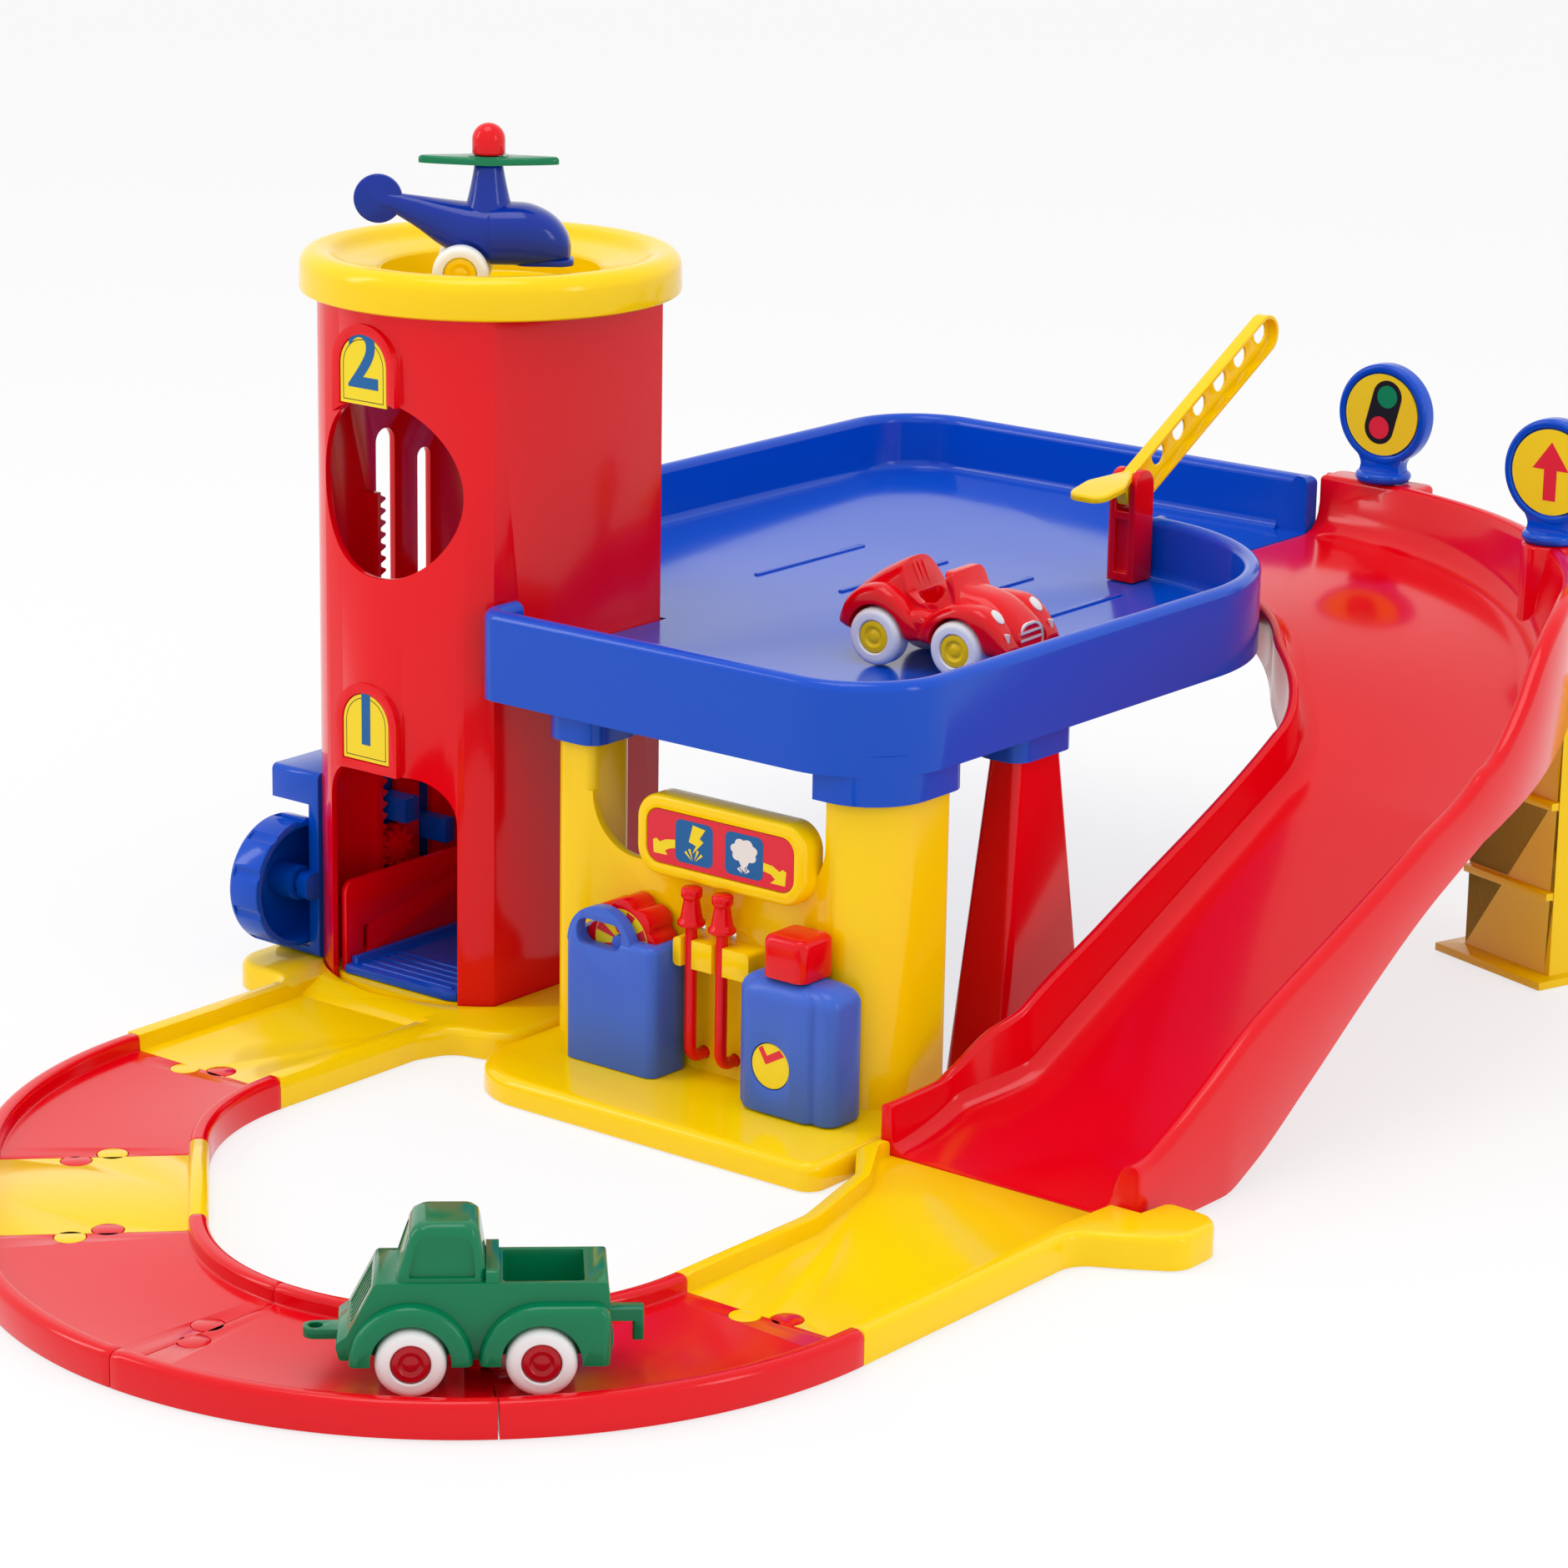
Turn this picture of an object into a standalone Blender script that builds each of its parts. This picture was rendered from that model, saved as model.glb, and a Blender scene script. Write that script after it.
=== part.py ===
"""Toy parking garage: a lift tower with a helipad, a parking deck, a pump wall,
a curved slide and a loop of track, with three small vehicles.

Metres, +Z up. The lift tower's axis is x = y = 0 and the floor is z = 0.
The lift door faces -Y, the deck lies to +X and +Y of the tower.
"""

import math

import bmesh
import bpy
from mathutils import Matrix, Vector

# Clearances
GAP = 0.0003
SLIP = 0.0004
OVER = 0.002

# Lift tower
TOWER_R = 0.055
TOWER_FLAT = 0.0374
TOWER_WALL = 0.0022
TOWER_BOTTOM = 0.0062
TOWER_TOP = 0.2363
DOOR_LEFT = -0.0245
DOOR_RIGHT = 0.0280
DOOR_TOP = 0.0825
DOOR_CORNER = 0.014
WINDOW_R = 0.0285
WINDOW_X = 0.0015
WINDOW_Z = 0.1740
PLAQUE_WIDTH = 0.0200
PLAQUE_BORDER = 0.0032
PLAQUE_X = -0.0025
PLAQUE_PROUD = 0.0016
PLAQUE_1_BOTTOM = 0.0855
PLAQUE_2_BOTTOM = 0.2000
PLAQUE_HEIGHT = 0.0225
LABEL_THICK = 0.0006
TOWER_LEDGE = 0.0030

# Rack, pinion and lift
RACK_MODULE = 0.00125
PINION_TEETH = 10
PRESSURE_ANGLE = math.radians(25)
TOOTH_TIP = 0.75
TOOTH_ROOT = 1.05
BACKLASH = 0.00035
PINION_Y = -0.0117
PINION_Z = 0.0426
PINION_WIDTH = 0.0044
RACK_BOTTOM = 0.0260
RACK_BACK = 0.0050
SLOT_BOTTOM = 0.0280
SLOT_1_WIDTH = 0.0088
SLOT_1_TOP = 0.1820
SLOT_2_Y = 0.0066
SLOT_2_WIDTH = 0.0062
SLOT_2_TOP = 0.1730
PLATFORM_TOP = 0.0120
PLATFORM_THICK = 0.0026
PLATFORM_LEFT = -0.0215
PLATFORM_RIGHT = 0.0260
PLATFORM_HALF_DEPTH = 0.0470
LIFT_WALL_TOP = 0.0395
LIFT_WALL_THICK = 0.0022
LIFT_TRAVEL = 0.1090
CARRIAGE_OUT = 0.0205
CARRIAGE_FRONT = -0.0420
CARRIAGE_BACK = 0.0180
CARRIAGE_BOTTOM = 0.0093
CARRIAGE_TOP = 0.0720
CARRIAGE_BLOCK = 0.0110
CARRIAGE_FLANGE = 0.0031
CARRIAGE_PLATE = 0.0042
WHEEL_R = 0.0215
WHEEL_DEPTH = 0.0130
WHEEL_WALL = 0.0024
WHEEL_Y = -0.0440
WHEEL_Z = 0.0345
WHEEL_RIBS = 10

# Helipad cap
PAD_R = 0.0606
PAD_TOP = 0.2434
PAD_LIP_BOTTOM = 0.2300
PAD_FLOOR = 0.2296
PAD_FLOOR_R = 0.0360

# Deck
DECK_TOP = 0.1412
DECK_BOTTOM = 0.1128
DECK_FLOOR = 0.1210
DECK_FLOOR_THICK = 0.0024
DECK_RIM = 0.0062
DECK_SKIRT = 0.0022
DECK_LEFT = -0.0597
DECK_RIGHT = 0.1971
DECK_FRONT = -0.0504
DECK_BACK = 0.2980
DECK_FRONT_R = 0.0326
DECK_TURN_R = 0.0780
DECK_TURN_Y = 0.1270
DECK_BACK_R = 0.0320
DECK_EXIT_X = 0.1245
DECK_TOWER_X = 0.0380
DECK_TOWER_Y = 0.0430
COLLAR_DEPTH = 0.0090
COLLAR_WALL = 0.0026
BAY_LINE = 0.0008

# Barrier
BARRIER_IN = 0.0145
BARRIER_RISE = 0.0330
ARM_LENGTH = 0.0930
ARM_HOLES = 6

# Pump wall
PUMP_FRONT = -0.0430
PUMP_WALL = 0.0030
PUMP_LEFT = 0.0640
PUMP_RIGHT = 0.1920
PUMP_COLUMN = 0.0165
PUMP_COLUMN_DEPTH = 0.0330
PUMP_TOP = 0.1170
PUMP_SILL = 0.0710
BASE_TOP = 0.0085
BASE_FRONT = -0.0885
BASE_LEFT = 0.0620
BASE_RIGHT = 0.2040
BEZEL_LEFT = 0.1030
BEZEL_RIGHT = 0.1685
BEZEL_BOTTOM = 0.0695
BEZEL_TOP = 0.0950
BEZEL_PROUD = 0.0060

# Hoses
HOSE_R = 0.0017
HOSE_X = (0.1262, 0.1382)
HOSE_Y = -0.0500
HOSE_FOOT_Z = 0.0145
HOSE_TOP = 0.0690
BRACKET_Z = 0.0440
BRACKET_HEIGHT = 0.0090
BRACKET_LEFT = 0.1210
BRACKET_RIGHT = 0.1505

# Jerrycan and oil can
JERRY_LEFT = 0.0845
JERRY_RIGHT = 0.1205
JERRY_FRONT = -0.0612
JERRY_TOP = 0.0500
JERRY_HANDLE_TOP = 0.0593
DIAL_R = 0.0135
OIL_X = 0.1710
OIL_Y = -0.0550
OIL_TOP = 0.0510
OIL_CAP = 0.0150
OIL_CAP_TOP = 0.0660
GAUGE_R = 0.0070

# Support column and slide leg
COLUMN_X = 0.1840
COLUMN_Y = 0.0400
COLUMN_TOP_X = 0.0120
COLUMN_TOP_Y = 0.0240
COLUMN_FOOT_X = 0.0230
COLUMN_FOOT_Y = 0.0460
COLUMN_WALL = 0.0022

# Slide
SLIDE_TURN_X = 0.1240
SLIDE_TURN_Y = 0.1270
SLIDE_OUTER_R = 0.1700
SLIDE_INNER_R = 0.0826
SLIDE_WALL = 0.0040
SLIDE_FLOOR = 0.0024
SLIDE_START_Z = 0.1210
SLIDE_SLOPE = 0.46
SLIDE_END_Y = -0.0575
SLIDE_END_LEFT = 0.2095
SLIDE_END_RIGHT = 0.2880
SLIDE_RUN_LEFT = 0.2220
SIGN_ANGLE = 48.905

# Signs
SIGN_R = 0.0145
SIGN_THICK = 0.0058
SIGN_HEIGHT = 0.0240
SIGN_FOOT_R = 0.0085

# Track
TRACK_X = 0.00335
TRACK_Y = -0.1363
TRACK_R = 0.1067
TRACK_HALF = 0.0332
TRACK_STRAIGHT = 0.0614
TRACK_FLOOR = 0.0050
TRACK_SHEET = 0.0024
RAIL_HEIGHT = 0.0100
RAIL_WIDTH = 0.0056
TAB_R = 0.0044
TAB_OUT = 0.0027
TAB_SPREAD = 0.0052
TAB_SLIP = 0.0004

# Vehicles
WHEEL_RADIUS = 0.0093
TYRE_WIDTH = 0.0082
AXLE_R = 0.0016
TYRE_SIDES = 14
HUB_R = 0.0052
WHEEL_BASE = 0.0300
WHEEL_TRACK = 0.0270

# Colours, sRGB hex
RED = "D2001E"
YELLOW = "FFD000"
BLUE = "0A46B4"
SOFT_BLUE = "3F66C4"
GREEN = "00784A"
WHITE = "F2F2F0"
LABEL = "F0D832"


def clear_scene():
    """Empty the scene that the script starts in."""
    for item in list(bpy.data.objects):
        bpy.data.objects.remove(item)


def plastic(name, hex_code, roughness=0.25):
    """One Principled material for a moulded plastic."""
    mat = bpy.data.materials.new(name)
    mat.use_nodes = True
    parts = [int(hex_code[i:i + 2], 16) / 255 for i in (0, 2, 4)]
    linear = [c / 12.92 if c <= 0.04045 else ((c + 0.055) / 1.055) ** 2.4 for c in parts]
    shader = mat.node_tree.nodes["Principled BSDF"]
    shader.inputs["Base Color"].default_value = (*linear, 1.0)
    shader.inputs["Roughness"].default_value = roughness
    shader.inputs["Metallic"].default_value = 0.0
    mat.diffuse_color = (*linear, 1.0)
    return mat


def finish(name, bm, colour, parent=None, sharp=35.0):
    """Turn a bmesh into a named object with its own material."""
    bmesh.ops.remove_doubles(bm, verts=bm.verts, dist=1e-7)
    bmesh.ops.recalc_face_normals(bm, faces=bm.faces)
    mesh = bpy.data.meshes.new(name)
    bm.to_mesh(mesh)
    bm.free()
    mesh.shade_smooth()
    mesh.set_sharp_from_angle(angle=math.radians(sharp))
    obj = bpy.data.objects.new(name, mesh)
    bpy.context.scene.collection.objects.link(obj)
    obj.data.materials.append(plastic(name + "_plastic", colour))
    if parent is not None:
        obj.parent = parent
    return obj


def frame_at(name, location, heading=0.0):
    """An empty that carries a vehicle or a moving piece."""
    empty = bpy.data.objects.new(name, None)
    empty.location = location
    empty.rotation_euler = (0.0, 0.0, heading)
    bpy.context.scene.collection.objects.link(empty)
    return empty


def combine(obj, bm, operation="DIFFERENCE"):
    """Add a Boolean against a hidden tool solid made from a bmesh."""
    bmesh.ops.remove_doubles(bm, verts=bm.verts, dist=1e-7)
    bmesh.ops.recalc_face_normals(bm, faces=bm.faces)
    count = len(obj.modifiers)
    mesh = bpy.data.meshes.new(f"{obj.name}_tool_{count}")
    bm.to_mesh(mesh)
    bm.free()
    tool = bpy.data.objects.new(mesh.name, mesh)
    tool.hide_render = True
    tool.display_type = "WIRE"
    tool.parent = obj.parent
    bpy.context.scene.collection.objects.link(tool)
    mod = obj.modifiers.new(f"{operation.lower()}_{count}", "BOOLEAN")
    mod.operation = operation
    mod.object = tool
    mod.solver = "EXACT"
    return obj


def arc(cx, cy, radius, start, end, steps):
    """Points on an arc, angles in degrees."""
    angles = [math.radians(start + (end - start) * i / steps) for i in range(steps + 1)]
    return [(cx + radius * math.cos(a), cy + radius * math.sin(a)) for a in angles]


def rounded(corners, inset=0.0, steps=4):
    """Outline of an anticlockwise polygon of (x, y, radius) corners, moved inward."""
    count = len(corners)
    points = []
    for i, (x, y, radius) in enumerate(corners):
        here = Vector((x, y))
        before = (here - Vector(corners[i - 1][:2])).normalized()
        after = (Vector(corners[(i + 1) % count][:2]) - here).normalized()
        turn = before.cross(after)
        n0 = Vector((-before.y, before.x))
        n1 = Vector((-after.y, after.x))
        shift = (n0 + n1) * (inset / (1.0 + n0.dot(n1)))
        corner = here + shift
        reach = radius - inset if turn > 0 else radius + inset
        if radius <= 0.0 or reach <= 1e-5:
            points.extend([tuple(corner)] if radius <= 0.0 else [tuple(corner)] * (steps + 1))
            continue
        half = math.atan2(abs(turn), before.dot(after)) / 2
        back = reach * math.tan(half)
        side = 1.0 if turn > 0 else -1.0
        centre = corner - before * back + n0 * reach * side
        a0 = math.atan2(*reversed(corner - before * back - centre))
        for k in range(steps + 1):
            a = a0 + side * 2 * half * k / steps
            points.append((centre.x + reach * math.cos(a), centre.y + reach * math.sin(a)))
    return points


def box_outline(x0, y0, x1, y1, radius=0.0, inset=0.0, steps=4):
    """Rounded rectangle outline."""
    corners = [(x0, y0, radius), (x1, y0, radius), (x1, y1, radius), (x0, y1, radius)]
    return rounded(corners, inset, steps)


def loft(bm, rings, caps=True, closed=False):
    """Skin a list of equal rings of 3-D points."""
    rows = [[bm.verts.new(p) for p in ring] for ring in rings]
    count = len(rows[0])
    pairs = list(zip(rows, rows[1:]))
    if closed:
        pairs.append((rows[-1], rows[0]))
    for lower, upper in pairs:
        for i in range(count):
            j = (i + 1) % count
            bm.faces.new((lower[i], lower[j], upper[j], upper[i]))
    if caps and not closed:
        bm.faces.new(list(reversed(rows[0])))
        bm.faces.new(rows[-1])
    return bm


def prism(outline, low, high, axis="z", bm=None, chamfer=0.0, steps=2, inset_outline=None):
    """Extrude an outline along an axis, with an optional rounded top edge."""
    bm = bm or bmesh.new()
    levels = [(low, 0.0), (high, 0.0)]
    if chamfer:
        angles = [math.pi / 2 * k / steps for k in range(steps + 1)]
        levels = [(low, 0.0)]
        levels += [(high - chamfer + chamfer * math.sin(a), chamfer * (1 - math.cos(a))) for a in angles]
    rings = []
    for level, inset in levels:
        shape = outline if inset == 0.0 or inset_outline is None else inset_outline(inset)
        rings.append([place(u, v, level, axis) for u, v in shape])
    return loft(bm, rings)


def place(u, v, w, axis):
    """A point at (u, v) in the plane square to axis, and w along it."""
    if axis == "x":
        return (w, u, v)
    if axis == "y":
        return (u, w, v)
    return (u, v, w)


def turned(profile, steps=24, centre=(0.0, 0.0, 0.0), axis="z", bm=None):
    """Revolve a closed or pole-to-pole (radius, height) profile."""
    bm = bm or bmesh.new()
    poles = profile[0][0] < 1e-9 and profile[-1][0] < 1e-9
    body = profile[1:-1] if poles else profile
    origin = Vector(centre)
    columns = []
    for k in range(steps):
        a = 2 * math.pi * k / steps
        c, s = math.cos(a), math.sin(a)
        columns.append([bm.verts.new(origin + Vector(place(r * c, r * s, h, axis))) for r, h in body])
    rows = len(body)
    for k in range(steps):
        here, there = columns[k], columns[(k + 1) % steps]
        for i in range(rows if not poles else rows - 1):
            j = (i + 1) % rows
            bm.faces.new((here[i], there[i], there[j], here[j]))
    if poles:
        for end, row in ((profile[0], 0), (profile[-1], rows - 1)):
            tip = bm.verts.new(origin + Vector(place(0.0, 0.0, end[1], axis)))
            for k in range(steps):
                pair = (columns[k][row], columns[(k + 1) % steps][row])
                bm.faces.new((*pair, tip))
    return bm


def cylinder(radius, low, high, centre=(0.0, 0.0, 0.0), axis="z", steps=18, bm=None):
    """A capped cylinder along an axis, low to high measured from centre."""
    return turned([(0.0, low), (radius, low), (radius, high), (0.0, high)], steps, centre, axis, bm)


def box(x0, y0, z0, x1, y1, z1, bm=None):
    """A plain block, used for cuts and small lugs."""
    return prism([(x0, y0), (x1, y0), (x1, y1), (x0, y1)], z0, z1, bm=bm)


def tube(path, radius, steps=8, bm=None):
    """A round rod along a list of points, with flat ends."""
    bm = bm or bmesh.new()
    points = [Vector(p) for p in path]
    rings = []
    side = None
    for i, point in enumerate(points):
        ahead = points[min(i + 1, len(points) - 1)] - points[max(i - 1, 0)]
        ahead.normalize()
        if side is None:
            side = ahead.orthogonal().normalized()
        side = (side - ahead * side.dot(ahead)).normalized()
        other = ahead.cross(side)
        ring = []
        for k in range(steps):
            a = 2 * math.pi * k / steps
            ring.append(point + (side * math.cos(a) + other * math.sin(a)) * radius)
        rings.append(ring)
    return loft(bm, rings)


def smooth_step(t):
    """Ease from 0 to 1."""
    t = min(max(t, 0.0), 1.0)
    return t * t * (3 - 2 * t)


def mix(a, b, t):
    """Linear blend."""
    return a + (b - a) * t


def tower_outline(radius, flat, steps=9):
    """Circle cut off by a flat on each side."""
    corner = math.degrees(math.acos(flat / radius))
    front = arc(0.0, 0.0, radius, corner - 180, -corner, steps)
    back = arc(0.0, 0.0, radius, corner, 180 - corner, steps)
    return front + back


def arch(x0, x1, low, high, radius, steps=4):
    """Doorway outline with a flat foot and rounded top corners."""
    corners = [(x0, low, 0.0), (x1, low, 0.0), (x1, high, radius), (x0, high, radius)]
    return rounded(corners, 0.0, steps)


def make_tower():
    """The red lift tower: shaft, doors, window, slots, plaques and rack in one moulding."""
    bm = bmesh.new()
    outer = tower_outline(TOWER_R, TOWER_FLAT)
    inner = tower_outline(TOWER_R - TOWER_WALL, TOWER_FLAT - TOWER_WALL)
    rings = [(outer, TOWER_BOTTOM), (outer, TOWER_TOP), (inner, TOWER_TOP), (inner, TOWER_BOTTOM)]
    loft(bm, [[(x, y, z) for x, y in shape] for shape, z in rings], closed=True)
    tower = finish("tower_shell", bm, RED)
    for bottom in (PLAQUE_1_BOTTOM, PLAQUE_2_BOTTOM):
        combine(tower, prism(plaque_outline(bottom, PLAQUE_BORDER), -TOWER_R - PLAQUE_PROUD,
                             -TOWER_R + 0.0045, "y"), "UNION")
        combine(tower, prism(plaque_outline(bottom, 0.0), -TOWER_R - PLAQUE_PROUD - OVER,
                             -TOWER_R - PLAQUE_PROUD + LABEL_THICK + 0.0004, "y"))
    combine(tower, tower_ledge(), "UNION")
    combine(tower, prism(rack_outline(), -TOWER_FLAT + TOWER_WALL - 0.0005,
                         -TOWER_FLAT + TOWER_WALL + RACK_BACK, "x"), "UNION")
    door = arch(DOOR_LEFT, DOOR_RIGHT, TOWER_BOTTOM - OVER, DOOR_TOP, DOOR_CORNER)
    combine(tower, prism(door, -TOWER_R - OVER, -0.040, "y"))
    combine(tower, cylinder(WINDOW_R, -TOWER_R - PLAQUE_PROUD - OVER, -0.040,
                            (WINDOW_X, 0.0, WINDOW_Z), "y", 28))
    upper = arch(DOOR_LEFT, DOOR_RIGHT, DECK_FLOOR + GAP, DECK_FLOOR + DOOR_TOP - PLATFORM_TOP, DOOR_CORNER)
    combine(tower, prism(upper, 0.040, TOWER_R + OVER, "y"))
    for y, width, top in ((PINION_Y, SLOT_1_WIDTH, SLOT_1_TOP), (SLOT_2_Y, SLOT_2_WIDTH, SLOT_2_TOP)):
        slot = box_outline(y - width / 2, SLOT_BOTTOM, y + width / 2, top, width / 2 - 1e-5, steps=3)
        combine(tower, prism(slot, -TOWER_FLAT - OVER, -TOWER_FLAT + TOWER_WALL + OVER, "x"))
    return tower


def plaque_outline(bottom, border):
    """Arch-topped plaque, seen from the front."""
    half = PLAQUE_WIDTH / 2 + border
    low = bottom - border
    high = bottom + PLAQUE_HEIGHT + border
    return arch(PLAQUE_X - half, PLAQUE_X + half, low, high, half - 1e-4, 5)


def tower_ledge():
    """The ledge on the tower's right flat that carries the deck floor."""
    top = DECK_FLOOR - DECK_FLOOR_THICK - GAP
    profile = [(TOWER_FLAT - 0.001, top - 0.006), (TOWER_FLAT + TOWER_LEDGE, top - 0.0015),
               (TOWER_FLAT + TOWER_LEDGE, top), (TOWER_FLAT - 0.001, top)]
    return prism(profile, -0.026, 0.030, "y")


def rack_pitch():
    """Distance between rack teeth."""
    return math.pi * RACK_MODULE


def rack_outline():
    """Rack seen along the pinion's axis: teeth point to +Y and mesh with the pinion."""
    pitch_y = PINION_Y - PINION_TEETH * RACK_MODULE / 2
    tip = pitch_y + TOOTH_TIP * RACK_MODULE
    root = pitch_y - TOOTH_ROOT * RACK_MODULE
    slope = math.tan(PRESSURE_ANGLE)
    half = rack_pitch() / 4 - BACKLASH / 2
    tip_half = half - TOOTH_TIP * RACK_MODULE * slope
    root_half = half + TOOTH_ROOT * RACK_MODULE * slope
    first = PINION_Z - rack_pitch() * int((PINION_Z - RACK_BOTTOM) / rack_pitch())
    count = int((PINION_Z + LIFT_TRAVEL + 0.016 - first) / rack_pitch())
    points = [(root, first - root_half - 0.001)]
    for k in range(count):
        z = first + k * rack_pitch()
        points += [(root, z - root_half), (tip, z - tip_half), (tip, z + tip_half), (root, z + root_half)]
    points.append((root, points[-1][1] + 0.001))
    return points + [(root - 0.0032, points[-1][1]), (root - 0.0032, points[0][1])]


def gear_outline(teeth, module, flank_steps=2):
    """Involute gear outline about the origin, one tooth gap facing -U."""
    pitch_r = teeth * module / 2
    base_r = pitch_r * math.cos(PRESSURE_ANGLE)
    tip_r = pitch_r + TOOTH_TIP * module
    root_r = pitch_r - TOOTH_ROOT * module
    inv = math.tan(PRESSURE_ANGLE) - PRESSURE_ANGLE
    half = math.pi / (2 * teeth) - BACKLASH / (2 * pitch_r) + inv
    points = []
    for k in range(teeth):
        middle = math.pi + (2 * k + 1) * math.pi / teeth
        flank = []
        for i in range(flank_steps + 1):
            r = mix(max(base_r, root_r), tip_r, i / flank_steps)
            roll = math.sqrt(max((r / base_r) ** 2 - 1, 0.0))
            flank.append((r, half - (roll - math.atan(roll))))
        flank.insert(0, (root_r, flank[0][1] + 0.02))
        points += [(r * math.cos(middle - a), r * math.sin(middle - a)) for r, a in flank]
        points += [(r * math.cos(middle + a), r * math.sin(middle + a)) for r, a in reversed(flank)]
    return points


def make_lift():
    """Platform, side wall, carriage, hand wheel and pinion of the lift."""
    inside = TOWER_FLAT - TOWER_WALL
    bore = TOWER_R - TOWER_WALL - SLIP
    corner = math.sqrt(bore ** 2 - PLATFORM_HALF_DEPTH ** 2)
    reach_left = math.sqrt(bore ** 2 - PLATFORM_LEFT ** 2)
    reach_right = math.sqrt(bore ** 2 - PLATFORM_RIGHT ** 2)
    low, high = PLATFORM_TOP - PLATFORM_THICK, PLATFORM_TOP
    plan = [(PLATFORM_LEFT, -PLATFORM_HALF_DEPTH), (corner, -PLATFORM_HALF_DEPTH),
            (PLATFORM_RIGHT, -reach_right), (PLATFORM_RIGHT, reach_right),
            (corner, PLATFORM_HALF_DEPTH), (PLATFORM_LEFT, PLATFORM_HALF_DEPTH)]
    platform = finish("lift_platform", prism(plan, low, high), BLUE)
    for k in range(5):
        y = -PLATFORM_HALF_DEPTH + 0.0035 + k * 0.0042
        ridge = box(PLATFORM_LEFT + 0.004, y, high - 0.0005, corner - 0.001, y + 0.0016, high + 0.0006)
        combine(platform, ridge, "UNION")
    lip = box(PLATFORM_LEFT + 0.0002, -reach_left + 0.004, high - 0.0005,
              PLATFORM_LEFT + 0.0026, reach_left - 0.004, high + 0.0022)
    combine(platform, lip, "UNION")

    wall_x = PLATFORM_LEFT - GAP
    wall_y = math.sqrt(bore ** 2 - (wall_x - LIFT_WALL_THICK) ** 2) - 0.0008
    corners = [(-wall_y, low, 0.0), (wall_y, low, 0.0), (wall_y, LIFT_WALL_TOP, 0.004),
               (-wall_y, LIFT_WALL_TOP, 0.004)]
    wall = finish("lift_side_wall", prism(rounded(corners), wall_x - LIFT_WALL_THICK, wall_x, "x"), RED)
    slit = box_outline(-0.0375, 0.0140, -0.0350, 0.0230, 0.0012, steps=3)
    combine(wall, prism(slit, wall_x - LIFT_WALL_THICK - OVER, wall_x + OVER, "x"))

    make_carriage(wall_x - LIFT_WALL_THICK, inside)

    shaft_out = -TOWER_FLAT - CARRIAGE_PLATE + 0.0002
    gear = [(PINION_Y + u, PINION_Z + v) for u, v in gear_outline(PINION_TEETH, RACK_MODULE)]
    pinion_x = -inside + SLIP
    pinion = finish("lift_pinion", prism(gear, pinion_x, pinion_x + PINION_WIDTH, "x"), RED)
    stub = cylinder(0.0022, shaft_out, pinion_x + PINION_WIDTH + 0.0008, (0, PINION_Y, PINION_Z), "x", 12)
    combine(pinion, stub, "UNION")


def make_carriage(wall_face, inside):
    """The blue lift carriage outside the tower, with hooks that pass through the slots."""
    face = -TOWER_FLAT - GAP
    out = face - CARRIAGE_OUT
    outline = [(CARRIAGE_FRONT, CARRIAGE_BOTTOM, 0.002), (CARRIAGE_BACK, CARRIAGE_BOTTOM, 0.004),
               (CARRIAGE_BACK, CARRIAGE_TOP, 0.004), (CARRIAGE_FRONT, CARRIAGE_TOP, 0.002)]
    carriage = finish("lift_carriage", prism(rounded(outline, 0.0, 3), out, face, "x"), BLUE)
    low = CARRIAGE_BOTTOM + CARRIAGE_FLANGE
    high = CARRIAGE_TOP - CARRIAGE_BLOCK
    room = WHEEL_Y + WHEEL_R + 0.0012
    well = rounded([(CARRIAGE_FRONT - OVER, low, 0.0), (room, low, 0.004), (room, high, 0.004),
                    (CARRIAGE_FRONT - OVER, high, 0.0)], 0.0, 4)
    combine(carriage, prism(well, out - OVER, face - CARRIAGE_PLATE, "x"))
    combine(carriage, box(out + 0.0022, room + 0.0032, -0.010, face - 0.0022, CARRIAGE_BACK - 0.0022,
                          CARRIAGE_TOP - 0.0022))
    pin = cylinder(0.0026, -0.0005, -0.0175, (face - CARRIAGE_PLATE + 0.001, WHEEL_Y, WHEEL_Z), "x", 16)
    boss_y = max(CARRIAGE_FRONT + 0.0045, WHEEL_Y)
    boss = prism(rounded([(CARRIAGE_FRONT - 0.006, WHEEL_Z - 0.0045, 0.003),
                          (boss_y + 0.004, WHEEL_Z - 0.0045, 0.0), (boss_y + 0.004, WHEEL_Z + 0.0045, 0.0),
                          (CARRIAGE_FRONT - 0.006, WHEEL_Z + 0.0045, 0.003)], 0.0, 3),
                 face - CARRIAGE_PLATE, face, "x")
    combine(carriage, boss, "UNION")
    combine(carriage, pin, "UNION")
    bearing = cylinder(0.0026, -CARRIAGE_PLATE - 0.004, OVER, (face, PINION_Y, PINION_Z), "x", 16)
    combine(carriage, bearing)
    reach = wall_face - GAP
    for y, z, width in ((PINION_Y, PINION_Z + 0.0135, 0.0066), (SLOT_2_Y, PINION_Z + 0.0025, 0.0046)):
        hook = box(face - 0.001, y - width / 2, z - 0.004, reach, y + width / 2, z + 0.004)
        combine(carriage, hook, "UNION")
    hand_wheel(face - CARRIAGE_PLATE - 0.0012)


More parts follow.
